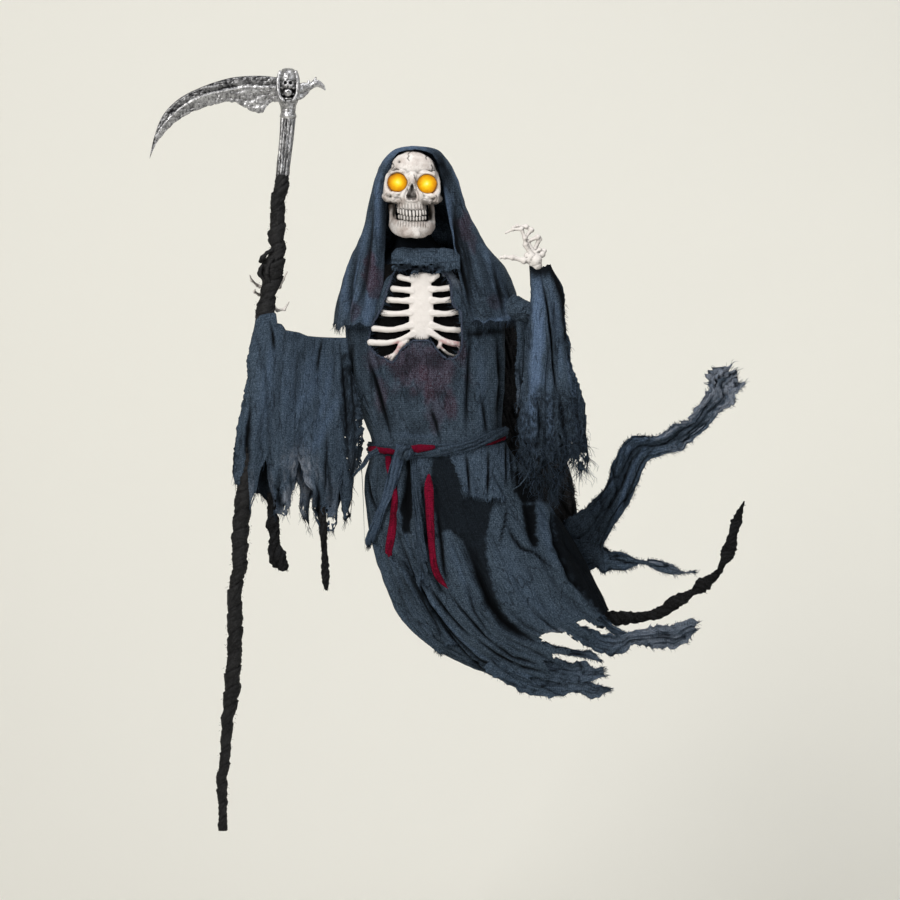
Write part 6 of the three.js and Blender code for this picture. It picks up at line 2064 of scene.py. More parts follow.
def make_blade():
    count, across = 240, 44
    t = np.linspace(0, 1, count)
    back, ridge = through(BLADE_BACK, t), through(BLADE_RIDGE, t)
    edge_at = np.interp(t, np.linspace(0, 1, 9), [0, 1, 2, 3, 4, 5, 7.6, 9.4, 11]) / 11
    edge = through(BLADE_EDGE, edge_at)
    chips = 3.2 * np.clip(lumps(edge[:, 0], 0, 0, 7, 371), -1, 0.2) * ramp(t, 0.08, 0.2)
    edge[:, 1] -= chips
    half = BLADE_HALF * blend(0.35, 1, ramp(t, 0, 0.5))
    s = np.linspace(0, 1, across)
    upper = s < RIDGE_AT
    x, z = (np.where(upper[None], blend(back[:, None, k], ridge[:, None, k], s[None] / RIDGE_AT),
                     blend(ridge[:, None, k], edge[:, None, k], (s[None] - RIDGE_AT) / (1 - RIDGE_AT)))
            for k in (0, 1))
    hammered = lumps(x, 0, z, 8, 372) + 0.6 * lumps(x, 0, z, 3.5, 373)
    scars = crumple(x, 0, z, (30, 9, 7), 374)
    rise = np.exp(-(((s[None] - RIDGE_AT) / 0.035) ** 2))
    bevel = 1 - 0.9 * np.maximum((s[None] - RIDGE_AT) / (1 - RIDGE_AT), 0) ** 1.1
    profile = np.where(upper[None], 0.72 + 0.1 * np.sin(np.pi * s[None] / RIDGE_AT), bevel)
    profile = profile * np.minimum(1, 0.35 + s[None] / 0.06)
    depth = half[:, None] * (profile + 0.28 * rise) + np.where(upper[None], 0.75, 0.35) * hammered
    depth = np.maximum(depth + 0.9 * scars * (profile > 0.3), 0.35)
    rough = spots([[-372, 92, 40, 16, 1.0], [-470, 96, 60, 10, 0.5]], x, z)
    depth = depth + 1.6 * rough * np.abs(lumps(x, 3, z, 4.5, 375))
    front = np.stack([x, SCYTHE_Y - depth, z], -1)
    behind = np.stack([x, SCYTHE_Y + depth, z], -1)[:, ::-1]
    points = np.concatenate([front, behind], 1)
    strokes = np.clip(lumps(x, 0, z, (2.2, 9, 16), 376), 0, 1) * ramp(s[None], 0.45, 0.8)
    dents = np.clip(-hammered, 0, 1)
    dark = np.where(upper[None], 0.62 + 0.4 * dents, 0.08 + 0.75 * strokes + 0.2 * dents)
    dark = np.clip(dark + 0.5 * np.clip(-scars - 0.3, 0, 1) - 0.8 * rise - 0.5 * rough, 0, 1)
    dark = np.concatenate([dark, dark[:, ::-1]], 1)
    piece = tube("scythe_blade", points)
    set_mark(piece, "wash_and_shade", dark)
    place(piece, SILVER, "silver_paint", ["scythe_blade"])


make_blade()

# %% [markdown]
# ## Moulded bones
# Skull, ribs, hands and the scythe's socket are mouldings. Each is built up from stretched balls
# and rods that are melted into one skin by a voxel remesh, then hollows are cut out of it and it
# is smoothed. The dark wash that a painter wipes into the hollows is found from the mesh itself.

# %% Balls, rods and hollows
def ball(centre, radii, turn=(0.0, 0.0, 0.0), detail=24):
    bpy.ops.mesh.primitive_uv_sphere_add(segments=detail, ring_count=detail // 2, location=(0, 0, 0))
    piece = bpy.context.active_object
    size = Matrix.Diagonal((radii[0] * MM, radii[1] * MM, radii[2] * MM, 1))
    turned = Euler([math.radians(angle) for angle in turn]).to_matrix().to_4x4()
    piece.data.transform(Matrix.Translation(Vector(centre) * MM) @ turned @ size)
    return piece


def both_sides(centre, radii, turn=(0.0, 0.0, 0.0)):
    """A ball and its mirror image."""
    x, y, z = centre
    return [ball((side * x, y, z), radii, (turn[0], side * turn[1], side * turn[2])) for side in (-1, 1)]


def bone_rod(rows, seed=0, sides=14, rough=0.08):
    """A rod along rows of x, y, z, radius, with a round end at each joint."""
    rows = np.asarray(rows, float)
    spans = len(rows) - 1
    t = np.linspace(0, 1, 10 * spans + 1)
    path = through(rows, t)
    pieces = [rope("rod", path[:, :3], path[:, 3], sides, seed, rough=rough)]
    pieces += [ball(row[:3], [row[3] * 1.02] * 3, detail=14) for row in (rows[0], rows[-1])]
    return pieces


def melted(name, pieces, voxel, smooth=3):
    piece = joined(name, pieces)
    for layer in list(piece.data.uv_layers):
        piece.data.uv_layers.remove(layer)
    apply_modifier(piece, "REMESH", mode="VOXEL", voxel_size=voxel * MM)
    apply_modifier(piece, "SMOOTH", factor=0.5, iterations=smooth)
    return piece


def cut(piece, hollows):
    apply_modifier(piece, "BOOLEAN", operation="DIFFERENCE", object=hollows, solver="EXACT")
    bpy.data.objects.remove(hollows)


def vertex_table(piece, what="co"):
    table = np.empty(len(piece.data.vertices) * 3)
    piece.data.vertices.foreach_get(what, table)
    return table.reshape(-1, 3)


def move_vertices(piece, places):
    piece.data.vertices.foreach_set("co", (places * MM).ravel())
    piece.data.update()


def hollowness(piece, reach):
    """How far each point lies below the smoothed surface, in millimetres."""
    place = vertex_table(piece) / MM
    edges = np.empty(len(piece.data.edges) * 2, int)
    piece.data.edges.foreach_get("vertices", edges)
    a, b = edges.reshape(-1, 2).T
    n = len(place)
    count = np.maximum(np.bincount(a, minlength=n) + np.bincount(b, minlength=n), 1)
    smooth = place.copy()
    for _ in range(reach):
        total = [np.bincount(a, smooth[b, k], n) + np.bincount(b, smooth[a, k], n) for k in range(3)]
        smooth = np.stack(total, 1) / count[:, None]
    return ((smooth - place) * vertex_table(piece, "normal")).sum(1)


def bone_marks(piece, wash_and_shade, mottle):
    """How dark the paint is in the hollows, with any painted shade added, and how mottled the paint is."""
    set_mark(piece, "wash_and_shade", np.clip(wash_and_shade, 0, 1))
    set_mark(piece, "mottle", np.full(len(piece.data.vertices), mottle))
    piece.data.shade_smooth()


print("bone helpers are ready")

# %% [markdown]
# ## Rib cage
# The breastbone is a broad flat plate. Six ribs go out on each side and sag a little, and below
# it the cartilage arches branch like antlers. The lowest parts are stained pink.

# %% Ribs
RIBS = [
    [[-2, -323], [-16, -321], [-32, -317]],
    [[-2, -350], [-22, -348], [-48, -345]],
    [[-4, -374], [-32, -374], [-60, -372]],
    [[-6, -403], [-40, -406], [-72, -404]],
    [[-4, -434], [-48, -444], [-96, -441]],
    [[0, -455], [-34, -470], [-66, -476], [-104, -475]],
    [[44, -322], [50, -318], [57, -313]],
    [[44, -346], [62, -346], [87, -343]],
    [[46, -374], [66, -374], [89, -372]],
    [[46, -404], [78, -406], [111, -400]],
    [[46, -434], [78, -443], [114, -446]],
    [[40, -450], [66, -466], [86, -475], [110, -480]],
]
ARCHES = [
    [[-14, -472, 5.5], [-28, -482, 8.0], [-36, -494, 6.5], [-47, -508, 5.5], [-56, -524, 4.0]],
    [[-40, -502, 5.0], [-58, -510, 5.0], [-77, -515, 3.5]],
    [[-30, -480, 5.0], [-20, -482, 5.0], [-14, -478, 3.5]],
    [[66, -472, 5.0], [64, -484, 5.0], [54, -492, 3.5]],
    [[64, -484, 4.0], [84, -502, 3.5], [104, -508, 3.0]],
    [[110, -484, 4.0], [114, -495, 3.0], [106, -508, 3.0]],
]
BREASTBONE = [
    [-312, 27], [-320, 28.5], [-334, 25.5], [-347, 27], [-360, 28], [-374, 29.5], [-388, 30], [-402, 31],
    [-416, 30.5], [-430, 30], [-444, 28], [-456, 23], [-464, 18],
]


def rib_depth(x):
    return min(RIB_FRONT_Y + 1.5 + 0.0018 * (x - CHEST_CENTRE_X) ** 2, CHEST_FLOOR_Y - 12)


def make_rib_cage():
    pieces = []
    for number, points in enumerate(RIBS):
        bands = zip(points, np.linspace(0, 1, len(points)))
        rows = [[x, rib_depth(x) + 5 * s ** 4, z, 6.2 + 1.6 * s + 2.6 * (s == 0)] for (x, z), s in bands]
        pieces += bone_rod(rows, 400 + number)
    for number, points in enumerate(ARCHES):
        pieces += bone_rod([[x, rib_depth(x), z, r] for x, z, r in points], 420 + number)
    for z, half in through(BREASTBONE, np.linspace(0, 1, 54)):
        pieces.append(ball((CHEST_CENTRE_X - 1, RIB_FRONT_Y + 4, z), (half, 7.5, 6), detail=20))
    cage = melted("rib_cage", pieces, 1.5, 4)
    place_mm = vertex_table(cage) / MM
    x, y, z = place_mm.T
    place_mm[:, 1] = np.maximum(y, RIB_FRONT_Y - 3.2 + 0.5 * lumps(x, 0, z, 13, 431))
    rough = 0.6 * lumps(x, y, z, 9, 432) + 0.2 * lumps(x, y, z, 3, 433)
    place_mm += vertex_table(cage, "normal") * rough[:, None]
    move_vertices(cage, place_mm)
    # Parts that lie farther back are darkened: painted shade deeper in the chest.
    behind = ramp(y, RIB_FRONT_Y + 4, RIB_FRONT_Y + 18)
    loop = spots([[96, -498, 34, 16, 0.7], [60, -492, 12, 8, 0.3]], x, z, grain=9)
    wash_and_shade = np.maximum(0.5 * hollowness(cage, 12) - 0.25 + 0.5 * behind, loop)
    bone_marks(cage, np.minimum(wash_and_shade, 0.8), 0.05)
    low = spots([[-30, -488, 20, 18, 1.0], [84, -478, 40, 15, 1.0], [-66, -510, 20, 12, 0.5]], x, z, grain=9)
    set_mark(cage, "pink", 0.85 * low * np.clip(0.6 + 0.6 * lumps(x, 0, z, 4, 434), 0, 1))
    place(cage, BONE, "bone_plastic", ["rib_cage"])


make_rib_cage()

# %% [markdown]
# ## Skull
# The skull is made upright about the point between its eyes and leaned over at the end. First
# come the solid forms, in the order a sculptor would add clay: cranium, brow, cheekbones and
# arches, upper jaw, then the lower jaw with its upright branches.

# %% Solid forms of the skull
SKULL_BALLS = [
    ((0, 4, 11), (66, 88, 71), (0, 0, 0)),
    ((0, -46, 38), (53, 36, 39), (0, 0, 0)),
    ((0, -80, 16), (12, 8, 12), (0, 0, 0)),
    ((0, -86, 2), (7.5, 8, 17), (-14, 0, 0)),
    ((0, -70, -44), (33, 24, 24), (0, 0, 0)),
    ((0, -62, -58), (38, 31, 15), (0, 0, 0)),
    ((0, -90, -120), (19, 8, 13), (0, 0, 0)),
]
SKULL_PAIRS = [
    ((31, -74, 25), (27, 11, 7), (0, 10, -14)),
    ((54, -34, 2), (12, 28, 32), (0, 0, 0)),
    ((60, -48, -22), (9, 16, 20), (0, 0, 0)),
    ((38, -76, -27), (25, 10, 7), (0, 8, -16)),
    ((55, -62, -37), (16, 17, 12), (0, 12, 0)),
    ((34, -76, -40), (17, 13, 12), (0, 10, 0)),
    ((21, -80, -30), (9, 13, 20), (0, -14, 0)),
    ((13, -91, -124), (10, 6, 8), (0, 0, 0)),
]
SKULL_RODS = [
    [[50, -68, 25, 7], [59, -62, 14, 6.5], [62.5, -58, 0, 6], [62, -58, -14, 7], [57, -62, -28, 10]],
    [[58, -60, -36, 11], [66, -44, -35, 8], [68, -16, -32, 7], [66, 12, -28, 7]],
    [[50, 2, -36, 8], [47.5, -4, -60, 8], [47, -14, -84, 8.5], [46, -26, -102, 11]],
    [[50, -14, -56, 7], [47.5, -24, -78, 8], [46, -38, -98, 10]],
]
# Lower jaw from the corner to the chin: place, then half its width, depth and height.
JAW = [
    [46, -28, -102, 9, 9, 16], [43, -47, -104, 9, 9, 18], [36, -62, -108, 10, 9, 19],
    [25, -74, -112, 11, 9, 21], [12, -82, -113, 12, 9, 21], [0, -84.5, -113, 12, 9, 21],
]
SKULL_HOLLOWS = [
    ((0, -94, -16), (7.6, 26, 17), (0, 0, 0)),
    ((0, -94, -31), (13, 24, 11), (0, 0, 0)),
    ((0, -20, -120), (34, 46, 28), (0, 0, 0)),
    ((0, -66, -80), (35, 25, 5.0), (0, 0, 0)),
]
SKULL_HOLLOW_PAIRS = [
    ((36, -84, 0), (25.8, 34, 24.8), (0, 0, 0)),
    ((42, -50, -68), (6.5, 34, 19), (0, -4, 0)),
    ((42, -92, -57), (10, 20, 6.5), (0, -12, 0)),
    ((71, -80, -62), (12, 40, 13), (0, 0, 0)),
]
# Teeth in order from the middle: x, half width, half height.
UPPER_TEETH = [[4.4, 3.7, 9.2], [12.4, 3.3, 8.6], [19.6, 3.1, 9.0], [26.2, 2.8, 7.8], [31.8, 2.3, 6.6]]
LOWER_TEETH = [[3.7, 3.1, 6.2], [11.0, 3.2, 6.4], [18.1, 3.2, 6.8], [24.9, 2.9, 6.2], [30.8, 2.6, 5.6]]


def arch_y(x, front):
    return front + 0.010 * x * x + 0.000009 * x ** 4


def make_tooth(x, y, z, half, high, roots_up, seed):
    """One tooth: a ball squared off at the biting edge and narrowed towards the root."""
    tooth = ball((0, 0, 0), (1 / MM, 1 / MM, 1 / MM), detail=20)
    p = vertex_table(tooth)
    squared = np.sign(p) * np.abs(p) ** 0.7
    root = squared[:, 2] * (1 if roots_up else -1)
    narrow = 1 - 0.26 * np.clip(root, 0, 1)
    out = np.stack([squared[:, 0] * half * narrow, squared[:, 1] * 4.2 * narrow, squared[:, 2] * high], 1)
    out[:, 0] *= 1 + 0.04 * lumps(0, seed, out[:, 2], 5, seed)
    yaw = math.atan2(0.020 * x + 0.000036 * x ** 3, 1)
    turned = out.copy()
    turned[:, 0] = out[:, 0] * math.cos(yaw) - out[:, 1] * math.sin(yaw)
    turned[:, 1] = out[:, 0] * math.sin(yaw) + out[:, 1] * math.cos(yaw)
    move_vertices(tooth, turned + np.array([x, y, z]))
    return tooth


def make_teeth():
    teeth, gums = [], []
    for rows, z, front, up in ((UPPER_TEETH, -72.5, -92.5, True), (LOWER_TEETH, -87.4, -89.5, False)):
        for number, (x, half, high) in enumerate(rows):
            for side in (-1, 1):
                seed = 440 + number * 2 + side + (20 if up else 0)
                jog = 0.9 * float(lumps(seed * 3.7, 0, 0, 2, 9))
                y = arch_y(x, front) + jog
                smile = z + 0.0042 * x * x
                teeth.append(make_tooth(side * x, y, smile + jog, half, high, up, seed))
                root_z = smile + (high + 4 if up else -high - 4)
                gums.append(ball((side * x * 0.97, y + 3.2, root_z), (half * 0.55, 3.8, 12), detail=12))
    return teeth, gums


print("skull is made of", len(SKULL_BALLS) + 2 * len(SKULL_PAIRS), "balls")

# %% [markdown]
# The nose is a pear with a raised rim, the eye sockets are deep cups for the lamps, and under the
# cheekbones the jaw stands free. Cracks, curls and small pits are pressed in last, and the wash
# darkens every hollow. Painted shade is added under the cheekbones, beside the jaw, behind the
# teeth, round the nose and towards the back of the skull inside the hood.

# %% Lines pressed into the skull
CRACKS = [
    [[-8, 76], [-13, 70], [-11, 66], [-14, 60], [-10, 54]],
    [[34, 73], [31, 66], [33, 60]],
    [[-34, 31], [-40, 33], [-46, 29], [-52, 30]],
    [[38, 32], [44, 31], [52, 33]],
    [[4, 20], [7, 12], [11, 0]],
    [[-31, -22], [-34, -17]],
    [[-50, 34], [-47, 40], [-50, 46]],
    [[44, 46], [49, 38], [46, 30]],
    [[-57, 40], [-52, 47]],
]
CHEEK_CURLS = [
    [[-66, -33], [-62, -29], [-54, -29], [-50, -33], [-54, -37], [-61, -35]],
    [[-44, -46], [-36, -38], [-28, -38], [-24, -44]],
    [[24, -42], [30, -36], [38, -38], [44, -46], [52, -42], [56, -34]],
    [[60, -28], [64, -34], [60, -42]],
]
NOSE_RIM = [
    [0, 1], [5, -6], [9, -18], [14.5, -32], [13, -42], [6, -45], [0, -43], [-6, -45], [-13, -42],
    [-14.5, -32], [-9, -18], [-5, -6], [0, 1],
]
CHEEK_SHADOWS = [
    [-54, -52, 17, 6, 0.95], [-38, -55, 10, 8, 0.8], [50, -54, 18, 7, 0.95], [38, -56, 10, 9, 0.8],
    [-37, -37, 9, 4, 0.75], [-57, -33, 8, 3, 0.5], [32, -45, 10, 5, 0.75], [57, -46, 9, 4, 0.8],
    [70, -38, 6, 15, 0.7], [-16, -50, 5, 10, 0.3], [44, -36, 8, 4, 0.45], [-66, -44, 6, 8, 0.6],
    [-27, -14, 6, 12, 0.28], [9, 4, 4, 14, 0.45], [27, -46, 8, 6, 0.3], [-56, 26, 5, 20, 0.3],
    [57, 22, 6, 22, 0.4],
]


def pressed_lines(lines, x, z, width):
    nearest = np.full(len(x), np.inf)
    for line in lines:
        nearest = np.minimum(nearest, distance_to(line, x, z)[0])
    return np.exp(-(nearest / width) ** 2)


def root_lines(x, z):
    """Dark lines between the roots of the teeth, above the upper row and below the lower one."""
    total = np.zeros(len(x))
    for rows, low, high in ((UPPER_TEETH, -64, -50), (LOWER_TEETH, -108, -92)):
        gaps = [0.0] + [(a[0] + a[1] + b[0] - b[1]) / 2 for a, b in zip(rows, rows[1:])] + [rows[-1][0] + 3]
        window = np.exp(-(((z - (low + high) / 2) / ((high - low) / 2)) ** 4))
        for gap in gaps:
            total = np.maximum(total, window * np.exp(-(((np.abs(x) - gap) / 1.3) ** 2)))
    return total


print("skull lines:", len(CRACKS) + len(CHEEK_CURLS))

# %% Skull
def make_skull():
    teeth, gums = make_teeth()
    solids = [ball(*row) for row in SKULL_BALLS] + gums
    for x, y, z, wide, deep, high in through(JAW, np.linspace(0, 1, 13)):
        solids += both_sides((x, y, z), (wide, deep, high))
    for row in SKULL_PAIRS:
        solids += both_sides(*row)
    for number, rows in enumerate(SKULL_RODS):
        for side in (-1, 1):
            solids += bone_rod([[side * x, y, z, r] for x, y, z, r in rows], 470 + number, rough=0.05)
    bone = melted("skull", solids, 1.9, 5)
    hollows = [ball(*row) for row in SKULL_HOLLOWS]
    for row in SKULL_HOLLOW_PAIRS:
        hollows += both_sides(*row)
    cut(bone, melted("hollows", hollows, 1.9, 2))
    apply_modifier(bone, "REMESH", mode="VOXEL", voxel_size=1.45 * MM)
    apply_modifier(bone, "SMOOTH", factor=0.5, iterations=2)
    p = vertex_table(bone) / MM
    x, y, z = p.T
    facing = ramp(-y, 10, 50)
    wander = x + 1.2 * lumps(x, 0, z, 4, 483)
    cracked = pressed_lines(CRACKS, wander, z, 1.2) * facing
    curled = 0.8 * pressed_lines(CHEEK_CURLS, x, z, 2.0) * ramp(-y, 30, 60)
    rim = pressed_lines([NOSE_RIM], x, z, 1.8) * ramp(-y, 66, 76)
    pit = np.minimum(1.4 * np.exp(-((x + 34) ** 2 + (z - 50) ** 2) / 8), 1) * facing
    roots = root_lines(x, z) * ramp(-y, 66, 76)
    pressed = 1.1 * lumps(x, y, z, 15, 481) + 0.5 * lumps(x, y, z, 6, 482)
    pressed += 1.9 * rim - 1.8 * cracked - 1.6 * curled - 2.5 * pit - 1.0 * roots
    p += vertex_table(bone, "normal") * pressed[:, None]
    move_vertices(bone, p)
    cave = np.clip(0.5 * hollowness(bone, 26) + 0.4 * hollowness(bone, 5), 0, 1)
    nose_d = distance_to(NOSE_RIM, x, z)[0]
    inside_nose = inside(NOSE_RIM, x, z) & (nose_d > 1.2) & (y < -40)
    septum = np.exp(-((x / 1.7) ** 2)) * ramp(-z, 18, 30)
    nose = np.where(inside_nose, 0.68 + 0.12 * ramp(nose_d, 1, 6) - 0.22 * septum, 0)
    socket = (np.hypot((np.abs(x) - 36) / 25.5, z / 24.5) < 0.97) * ramp(y, -80, -72)
    # Painted shade in the hollows beside the jaw, darker on the right side than on the left.
    side_hollow_shade = np.exp(-(((np.abs(x) - 43) / 9) ** 4) - (((z + 67) / 19) ** 4)) * ramp(y, -78, -62)
    side_hollow_shade = side_hollow_shade * blend(0.62, 1, ramp(x, -10, 10))
    # Painted shade in the mouth behind the teeth.
    bow = 0.010 * x * x
    shade_behind_teeth = (np.abs(x) < 38) * (z < -64) * (z > -91) * ramp(y, -91 + bow, -87 + bow)
    # Painted shadows under the cheekbones.
    under = spots(CHEEK_SHADOWS, x, z, grain=9, seed=484) * facing
    # A painted shadow line round the outside of the nose's rim.
    nose_rim_shadow = 0.55 * np.exp(-((nose_d - 3.4) / 1.3) ** 2) * ~inside_nose * ramp(-y, 66, 76)
    wash_and_shade = [cave, nose, socket, 0.95 * side_hollow_shade, 0.95 * cracked, 0.7 * curled, pit, 0.85 * roots,
            0.9 * shade_behind_teeth, under, nose_rim_shadow]
    # The wash grows towards the back of the skull as painted shade inside the hood, and grows towards the
    # bottom.
    wash_and_shade = np.maximum(np.maximum.reduce(wash_and_shade), 0.12 * ramp(y, -40, 20) + 0.15 * ramp(-z, 20, 60))
    bone_marks(bone, wash_and_shade, 0.42 + 0.25 * ramp(-z, 10, 60))
    for tooth in teeth:
        stain_tooth(tooth)
    skull = joined("skull", [bone] + teeth)
    p = vertex_table(skull) / MM
    p[:, 0] += 4.0 * ramp(-p[:, 2], 44, 92)
    move_vertices(skull, p)
    skull.data.transform(skull_lean())
    place(skull, BONE, "bone_plastic", ["skull"])


def stain_tooth(tooth):
    """Brown between the teeth and towards the root."""
    q = vertex_table(tooth) / MM
    centre = q.mean(0)
    beside = np.abs(q[:, 0] - centre[0]) / (np.ptp(q[:, 0]) / 2)
    height = np.abs(q[:, 2] - centre[2]) / (np.ptp(q[:, 2]) / 2)
    root = (q[:, 2] > centre[2]) == (centre[2] > -80)
    behind = ramp(q[:, 1] - q[:, 1].min(), 2.2, 5)
    lower = 0.16 * (centre[2] < -80)
    stain = np.maximum.reduce([0.95 * ramp(beside, 0.5, 0.9), 0.95 * ramp(height, 0.25, 0.9) * root, behind])
    stain = np.maximum(stain, 0.08 + lower + 0.12 * lumps(*q.T, 3, 477))
    bone_marks(tooth, stain, 0.1)


def skull_lean():
    return Matrix.Translation(Vector(BROW_CENTRE) * MM) @ Matrix.Rotation(SKULL_TURN, 4, "Y")


make_skull()

# %% [markdown]
# ## Eyes
# Each eye is a dome of amber plastic over a lamp, set inside its socket.

# %% Eye lenses
def make_eye(name, side, glow):
    lens = ball((side * EYE_SPACING / 2, -66, 0), (EYE_RADIUS * 1.1, 13, EYE_RADIUS * 1.08), detail=64)
    p = vertex_table(lens) / MM
    off = np.hypot(p[:, 0] - side * (EYE_SPACING / 2 - 1), p[:, 2]) / (EYE_RADIUS * 1.08)
    set_mark(lens, "rim", np.clip(off / glow, 0, 1))
    lens.data.shade_smooth()
    lens.data.transform(skull_lean())
    place(lens, LENS_AMBER, "amber_lens", [name])


make_eye("eye_left", 1, 1.06)
make_eye("eye_right", -1, 1.0)

# %% [markdown]
# ## Hands
# The finger bones are slim in the middle and knobbed at the joints. The raised hand curls its
# fingers to the left, and the other hand grips the shaft from behind, so that only its finger
# ends show on both sides.

# %% Hands
RAISED_HAND = [
    [[300, -97, -290, 11], [297, -98, -278, 14], [284, -100, -270, 11]],
    [[288, -98, -284, 8], [280, -100, -276, 9], [276, -100, -266, 8]],
    [[296, -98, -276, 11], [268, -104, -278, 8], [240, -108, -271, 6.5], [222, -110, -270, 5],
     [211, -110, -271, 4]],
    [[288, -98, -268, 9], [272, -104, -240, 6.5], [270, -108, -224, 5.5], [262, -110, -202, 6],
     [242, -112, -203, 4.5], [224, -114, -212, 2.5]],
    [[296, -94, -266, 9], [276, -98, -232, 6], [302, -100, -221, 6.5], [306, -96, -226, 6],
     [292, -90, -256, 7]],
    [[272, -104, -222, 5], [286, -100, -204, 6.5], [274, -102, -196, 6], [252, -106, -194, 4],
     [240, -108, -198, 2.5]],
    [[302, -92, -268, 9], [312, -90, -262, 8], [317, -88, -254, 6], [306, -94, -251, 5],
     [296, -98, -258, 5]],
]
HOLDING_HAND = [
    [[-346, -166, -418, 8], [-342, -162, -372, 9], [-344, -164, -350, 8]],
    [[-342, -162, -352, 7], [-374, -172, -340, 5], [-387, -196, -328, 4.5], [-391, -216, -316, 2]],
    [[-342, -162, -362, 7], [-370, -172, -362, 5], [-380, -196, -356, 4.5], [-378, -218, -350, 2]],
    [[-340, -162, -352, 7], [-320, -176, -344, 5], [-311, -196, -326, 4.5], [-301, -212, -308, 2]],
    [[-340, -162, -384, 7], [-326, -176, -400, 5], [-308, -196, -398, 4.5], [-297, -206, -380, 2]],
]


def finger_bones(chain, seed, slim):
    pieces = []
    for number, (start, end) in enumerate(zip(chain, chain[1:])):
        start, end = np.array(start, float), np.array(end, float)
        t = np.linspace(0, 1, 13)[:, None]
        rows = blend(start, end, t)
        waist = 1 - 0.3 * np.sin(np.pi * t[:, 0]) ** 0.8
        rows[:, 3] *= waist * slim
        pieces.append(rope("bone", rows[:, :3], rows[:, 3], 14, seed + number, rough=0.12))
        pieces.append(ball(start[:3], [start[3] * slim * 1.05] * 3, detail=14))
    pieces.append(ball(chain[-1][:3], [chain[-1][3] * slim] * 3, detail=10))
    return pieces


def make_hand(name, chains, seed, slim):
    pieces = []
    for number, chain in enumerate(chains):
        pieces += finger_bones(chain, seed + 10 * number, slim)
    hand = melted(name, pieces, 0.95, 2)
    p = vertex_table(hand) / MM
    rough = 0.3 * lumps(*p.T, 3, seed)
    move_vertices(hand, p + vertex_table(hand, "normal") * rough[:, None])
    normal = vertex_table(hand, "normal")
    # Painted shade on the lower right sides of the bones, away from the key lamp.
    under = 0.8 * ramp(0.75 * normal[:, 0] - 0.65 * normal[:, 2], 0.1, 0.85)
    under = under * (0.8 + 0.6 * lumps(*p.T, 7, seed + 5))
    bone_marks(hand, np.clip(np.maximum(hollowness(hand, 10), under), 0, 0.92), 0.12)
    place(hand, BONE, "bone_plastic", [name])


make_hand("hand_raised", RAISED_HAND, 500, 1.08)
make_hand("hand_holding_scythe", HOLDING_HAND, 560, 0.92)

# %% [markdown]
# ## Socket of the scythe
# The socket that joins blade and neck is moulded as a small hooded skull above a ribbed collar,
# with a short hooked beak behind it.

# %% Socket
SOCKET_X = -299.0
SOCKET_RINGS = [
    [61, 19, 20], [66, 21, 22], [70, 19, 20], [76, 18, 19], [84, 19, 20], [92, 20, 22], [98, 23, 23],
    [106, 25, 24], [130, 26, 25], [150, 26, 25], [164, 24, 22], [176, 16, 16],
]
HOOD_SIDE = [[19, -16, 172, 4], [24, -17, 148, 5], [21, -20, 116, 5], [12, -22, 102, 5]]
BEAK_RODS = [
    [[-282, -200, 126, 16], [-262, -200, 134, 12], [-246, -200, 138, 8], [-232, -200, 144, 9],
     [-220, -200, 140, 7], [-210, -200, 130, 2.5]],
    [[-280, -200, 112, 10], [-262, -200, 118, 7], [-250, -200, 130, 5]],
    [[-238, -200, 146, 6], [-233, -200, 158, 2.5]],
    [[-246, -200, 140, 6], [-250, -200, 150, 3]],
]


def make_socket():
    pieces = []
    for z, wide, deep in through(SOCKET_RINGS, np.linspace(0, 1, 26)):
        pieces.append(ball((SOCKET_X, SCYTHE_Y, z), (wide, deep, 5.5), detail=28))
    pieces.append(ball((SOCKET_X, SCYTHE_Y - 10, 158), (21, 19, 22)))
    pieces.append(ball((SOCKET_X, SCYTHE_Y - 19, 140), (16, 13, 16)))
    pieces.append(ball((SOCKET_X, SCYTHE_Y - 22, 122), (10.5, 10, 11)))
    for side in (-1, 1):
        pieces.append(ball((SOCKET_X + side * 12, SCYTHE_Y - 19, 133), (6, 7, 5)))
        pieces += bone_rod([[SOCKET_X + side * x, SCYTHE_Y + y, z, r] for x, y, z, r in HOOD_SIDE], 603)
    for number, rows in enumerate(BEAK_RODS):
        pieces += bone_rod(rows, 605 + number, rough=0.2)
    socket = melted("scythe_socket", pieces, 1.0, 3)
    hollows = []
    for side in (-1, 1):
        hollows.append(ball((SOCKET_X + side * 7.2, SCYTHE_Y - 33, 145), (5.4, 9, 5.6), detail=16))
        hollows.append(ball((SOCKET_X + side * 11, SCYTHE_Y - 32, 123), (3.6, 8, 5), detail=12))
    hollows.append(ball((SOCKET_X, SCYTHE_Y - 34, 134), (2.8, 7, 4.4), detail=12))
    hollows.append(ball((SOCKET_X, SCYTHE_Y - 34, 122.5), (6, 6, 1.3), detail=12))
    cut(socket, melted("socket_hollows", hollows, 1.0, 1))
    p = vertex_table(socket) / MM
    x, y, z = p.T
    beak = ramp(x, -278, -262)
    p[:, 1] = blend(y, SCYTHE_Y + (y - SCYTHE_Y) * 0.62, beak)
    rough = 0.45 * lumps(x, y, z, 6, 611) + 0.35 * lumps(x, y, z, 2.4, 612)
    rings = 0.35 * np.sin(z * 0.9) * np.exp(-(((z - 76) / 13) ** 4))
    p += vertex_table(socket, "normal") * (rough + rings)[:, None]
    move_vertices(socket, p)
    apply_modifier(socket, "REMESH", mode="VOXEL", voxel_size=0.9 * MM)
    socket.data.shade_smooth()
    p = vertex_table(socket) / MM
    face = 0.8 * spots([[SOCKET_X, 127, 21, 30, 1.0]], p[:, 0], p[:, 2], 6, 613)
    face = face * ramp(hollowness(socket, 20), -0.9, 0.1)
    set_mark(socket, "wash_and_shade", np.clip(1.1 * hollowness(socket, 12) + 0.14 + face, 0, 1))
    place(socket, SILVER, "silver_paint", ["scythe_socket"])


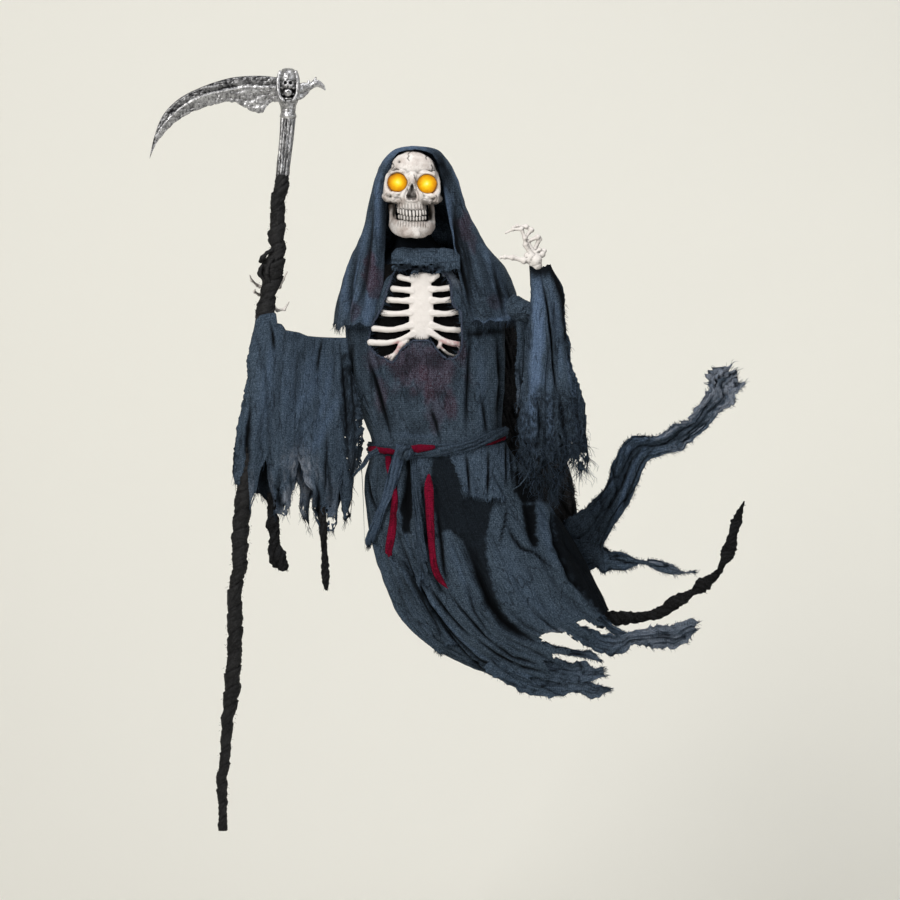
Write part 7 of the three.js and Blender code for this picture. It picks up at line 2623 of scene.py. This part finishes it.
make_socket()

# %% [markdown]
# ## Flat sizes of the cloth
# Every piece of cloth is listed with the size it was cut to before it was hung. The photograph
# shows no flat cut, so width and length are estimates from each piece's reach, and they were
# set so that the flat area fits the area of the made mesh.

# %% Flat sizes
CLOTH_CUTS = [
    ("robe", 1.10, 1.20, "hung", ["rib_cage"], 1.05),
    ("hooded_cape", 0.84, 0.50, "draped", ["skull"], 0.34),
    ("collar", 0.20, 0.08, "draped", ["robe"], None),
    ("chest_lining", 0.28, 0.27, "hung", ["rib_cage"], None),
    ("tear_edge", 0.04, 0.36, "gathered", ["robe"], None),
    ("sash", 0.06, 1.05, "gathered", ["robe"], None),
    ("ribbon", 0.03, 0.90, "draped", ["robe"], None),
    ("tunic_flap", 0.17, 0.16, "draped", ["robe"], None),
    ("skirt_strip", 0.05, 0.33, "draped", ["robe"], None),
    ("skirt_panel", 0.10, 0.29, "draped", ["robe"], None),
    ("skirt_fold", 0.05, 0.235, "draped", ["robe"], None),
    ("sleeve_holding_scythe", 0.78, 0.52, "hung", ["scythe_shaft", "hand_holding_scythe"], 0.33),
    ("sleeve_raised", 0.40, 0.58, "hung", ["hand_raised"], 0.18),
    ("sleeve_raised_arm", 0.23, 0.14, "hung", ["hooded_cape"], None),
    ("sleeve_raised_strip", 0.05, 0.25, "hung", ["sleeve_raised"], None),
    ("hem_strip_upper", 0.035, 0.13, "hung", ["robe"], None),
    ("hem_strip_long", 0.07, 0.37, "hung", ["robe"], None),
    ("hem_strip_thin", 0.03, 0.21, "hung", ["robe"], None),
    ("hem_strip_low", 0.07, 0.32, "hung", ["robe"], None),
    ("hem_strip_end", 0.07, 0.33, "hung", ["robe"], None),
    ("back_drape", 0.22, 0.75, "hung", ["robe"], None),
    ("tail_upper", 0.15, 0.68, "hung", ["robe"], None),
    ("tail_middle", 0.06, 0.32, "hung", ["robe"], None),
    ("tail_black", 0.05, 0.48, "gathered", ["robe"], None),
    ("cuff_strip_wide", 0.05, 0.20, "gathered", ["sleeve_holding_scythe"], None),
    ("cuff_strip_narrow", 0.03, 0.22, "gathered", ["sleeve_holding_scythe"], None),
    ("scythe_shaft_wrap_ends", 0.02, 0.28, "gathered", ["scythe_shaft"], None),
]
for name, wide, long, held, carried_by, made_area in CLOTH_CUTS:
    fringe = name + "_fringe"
print(len(CLOTH_CUTS), "sheets of cloth")
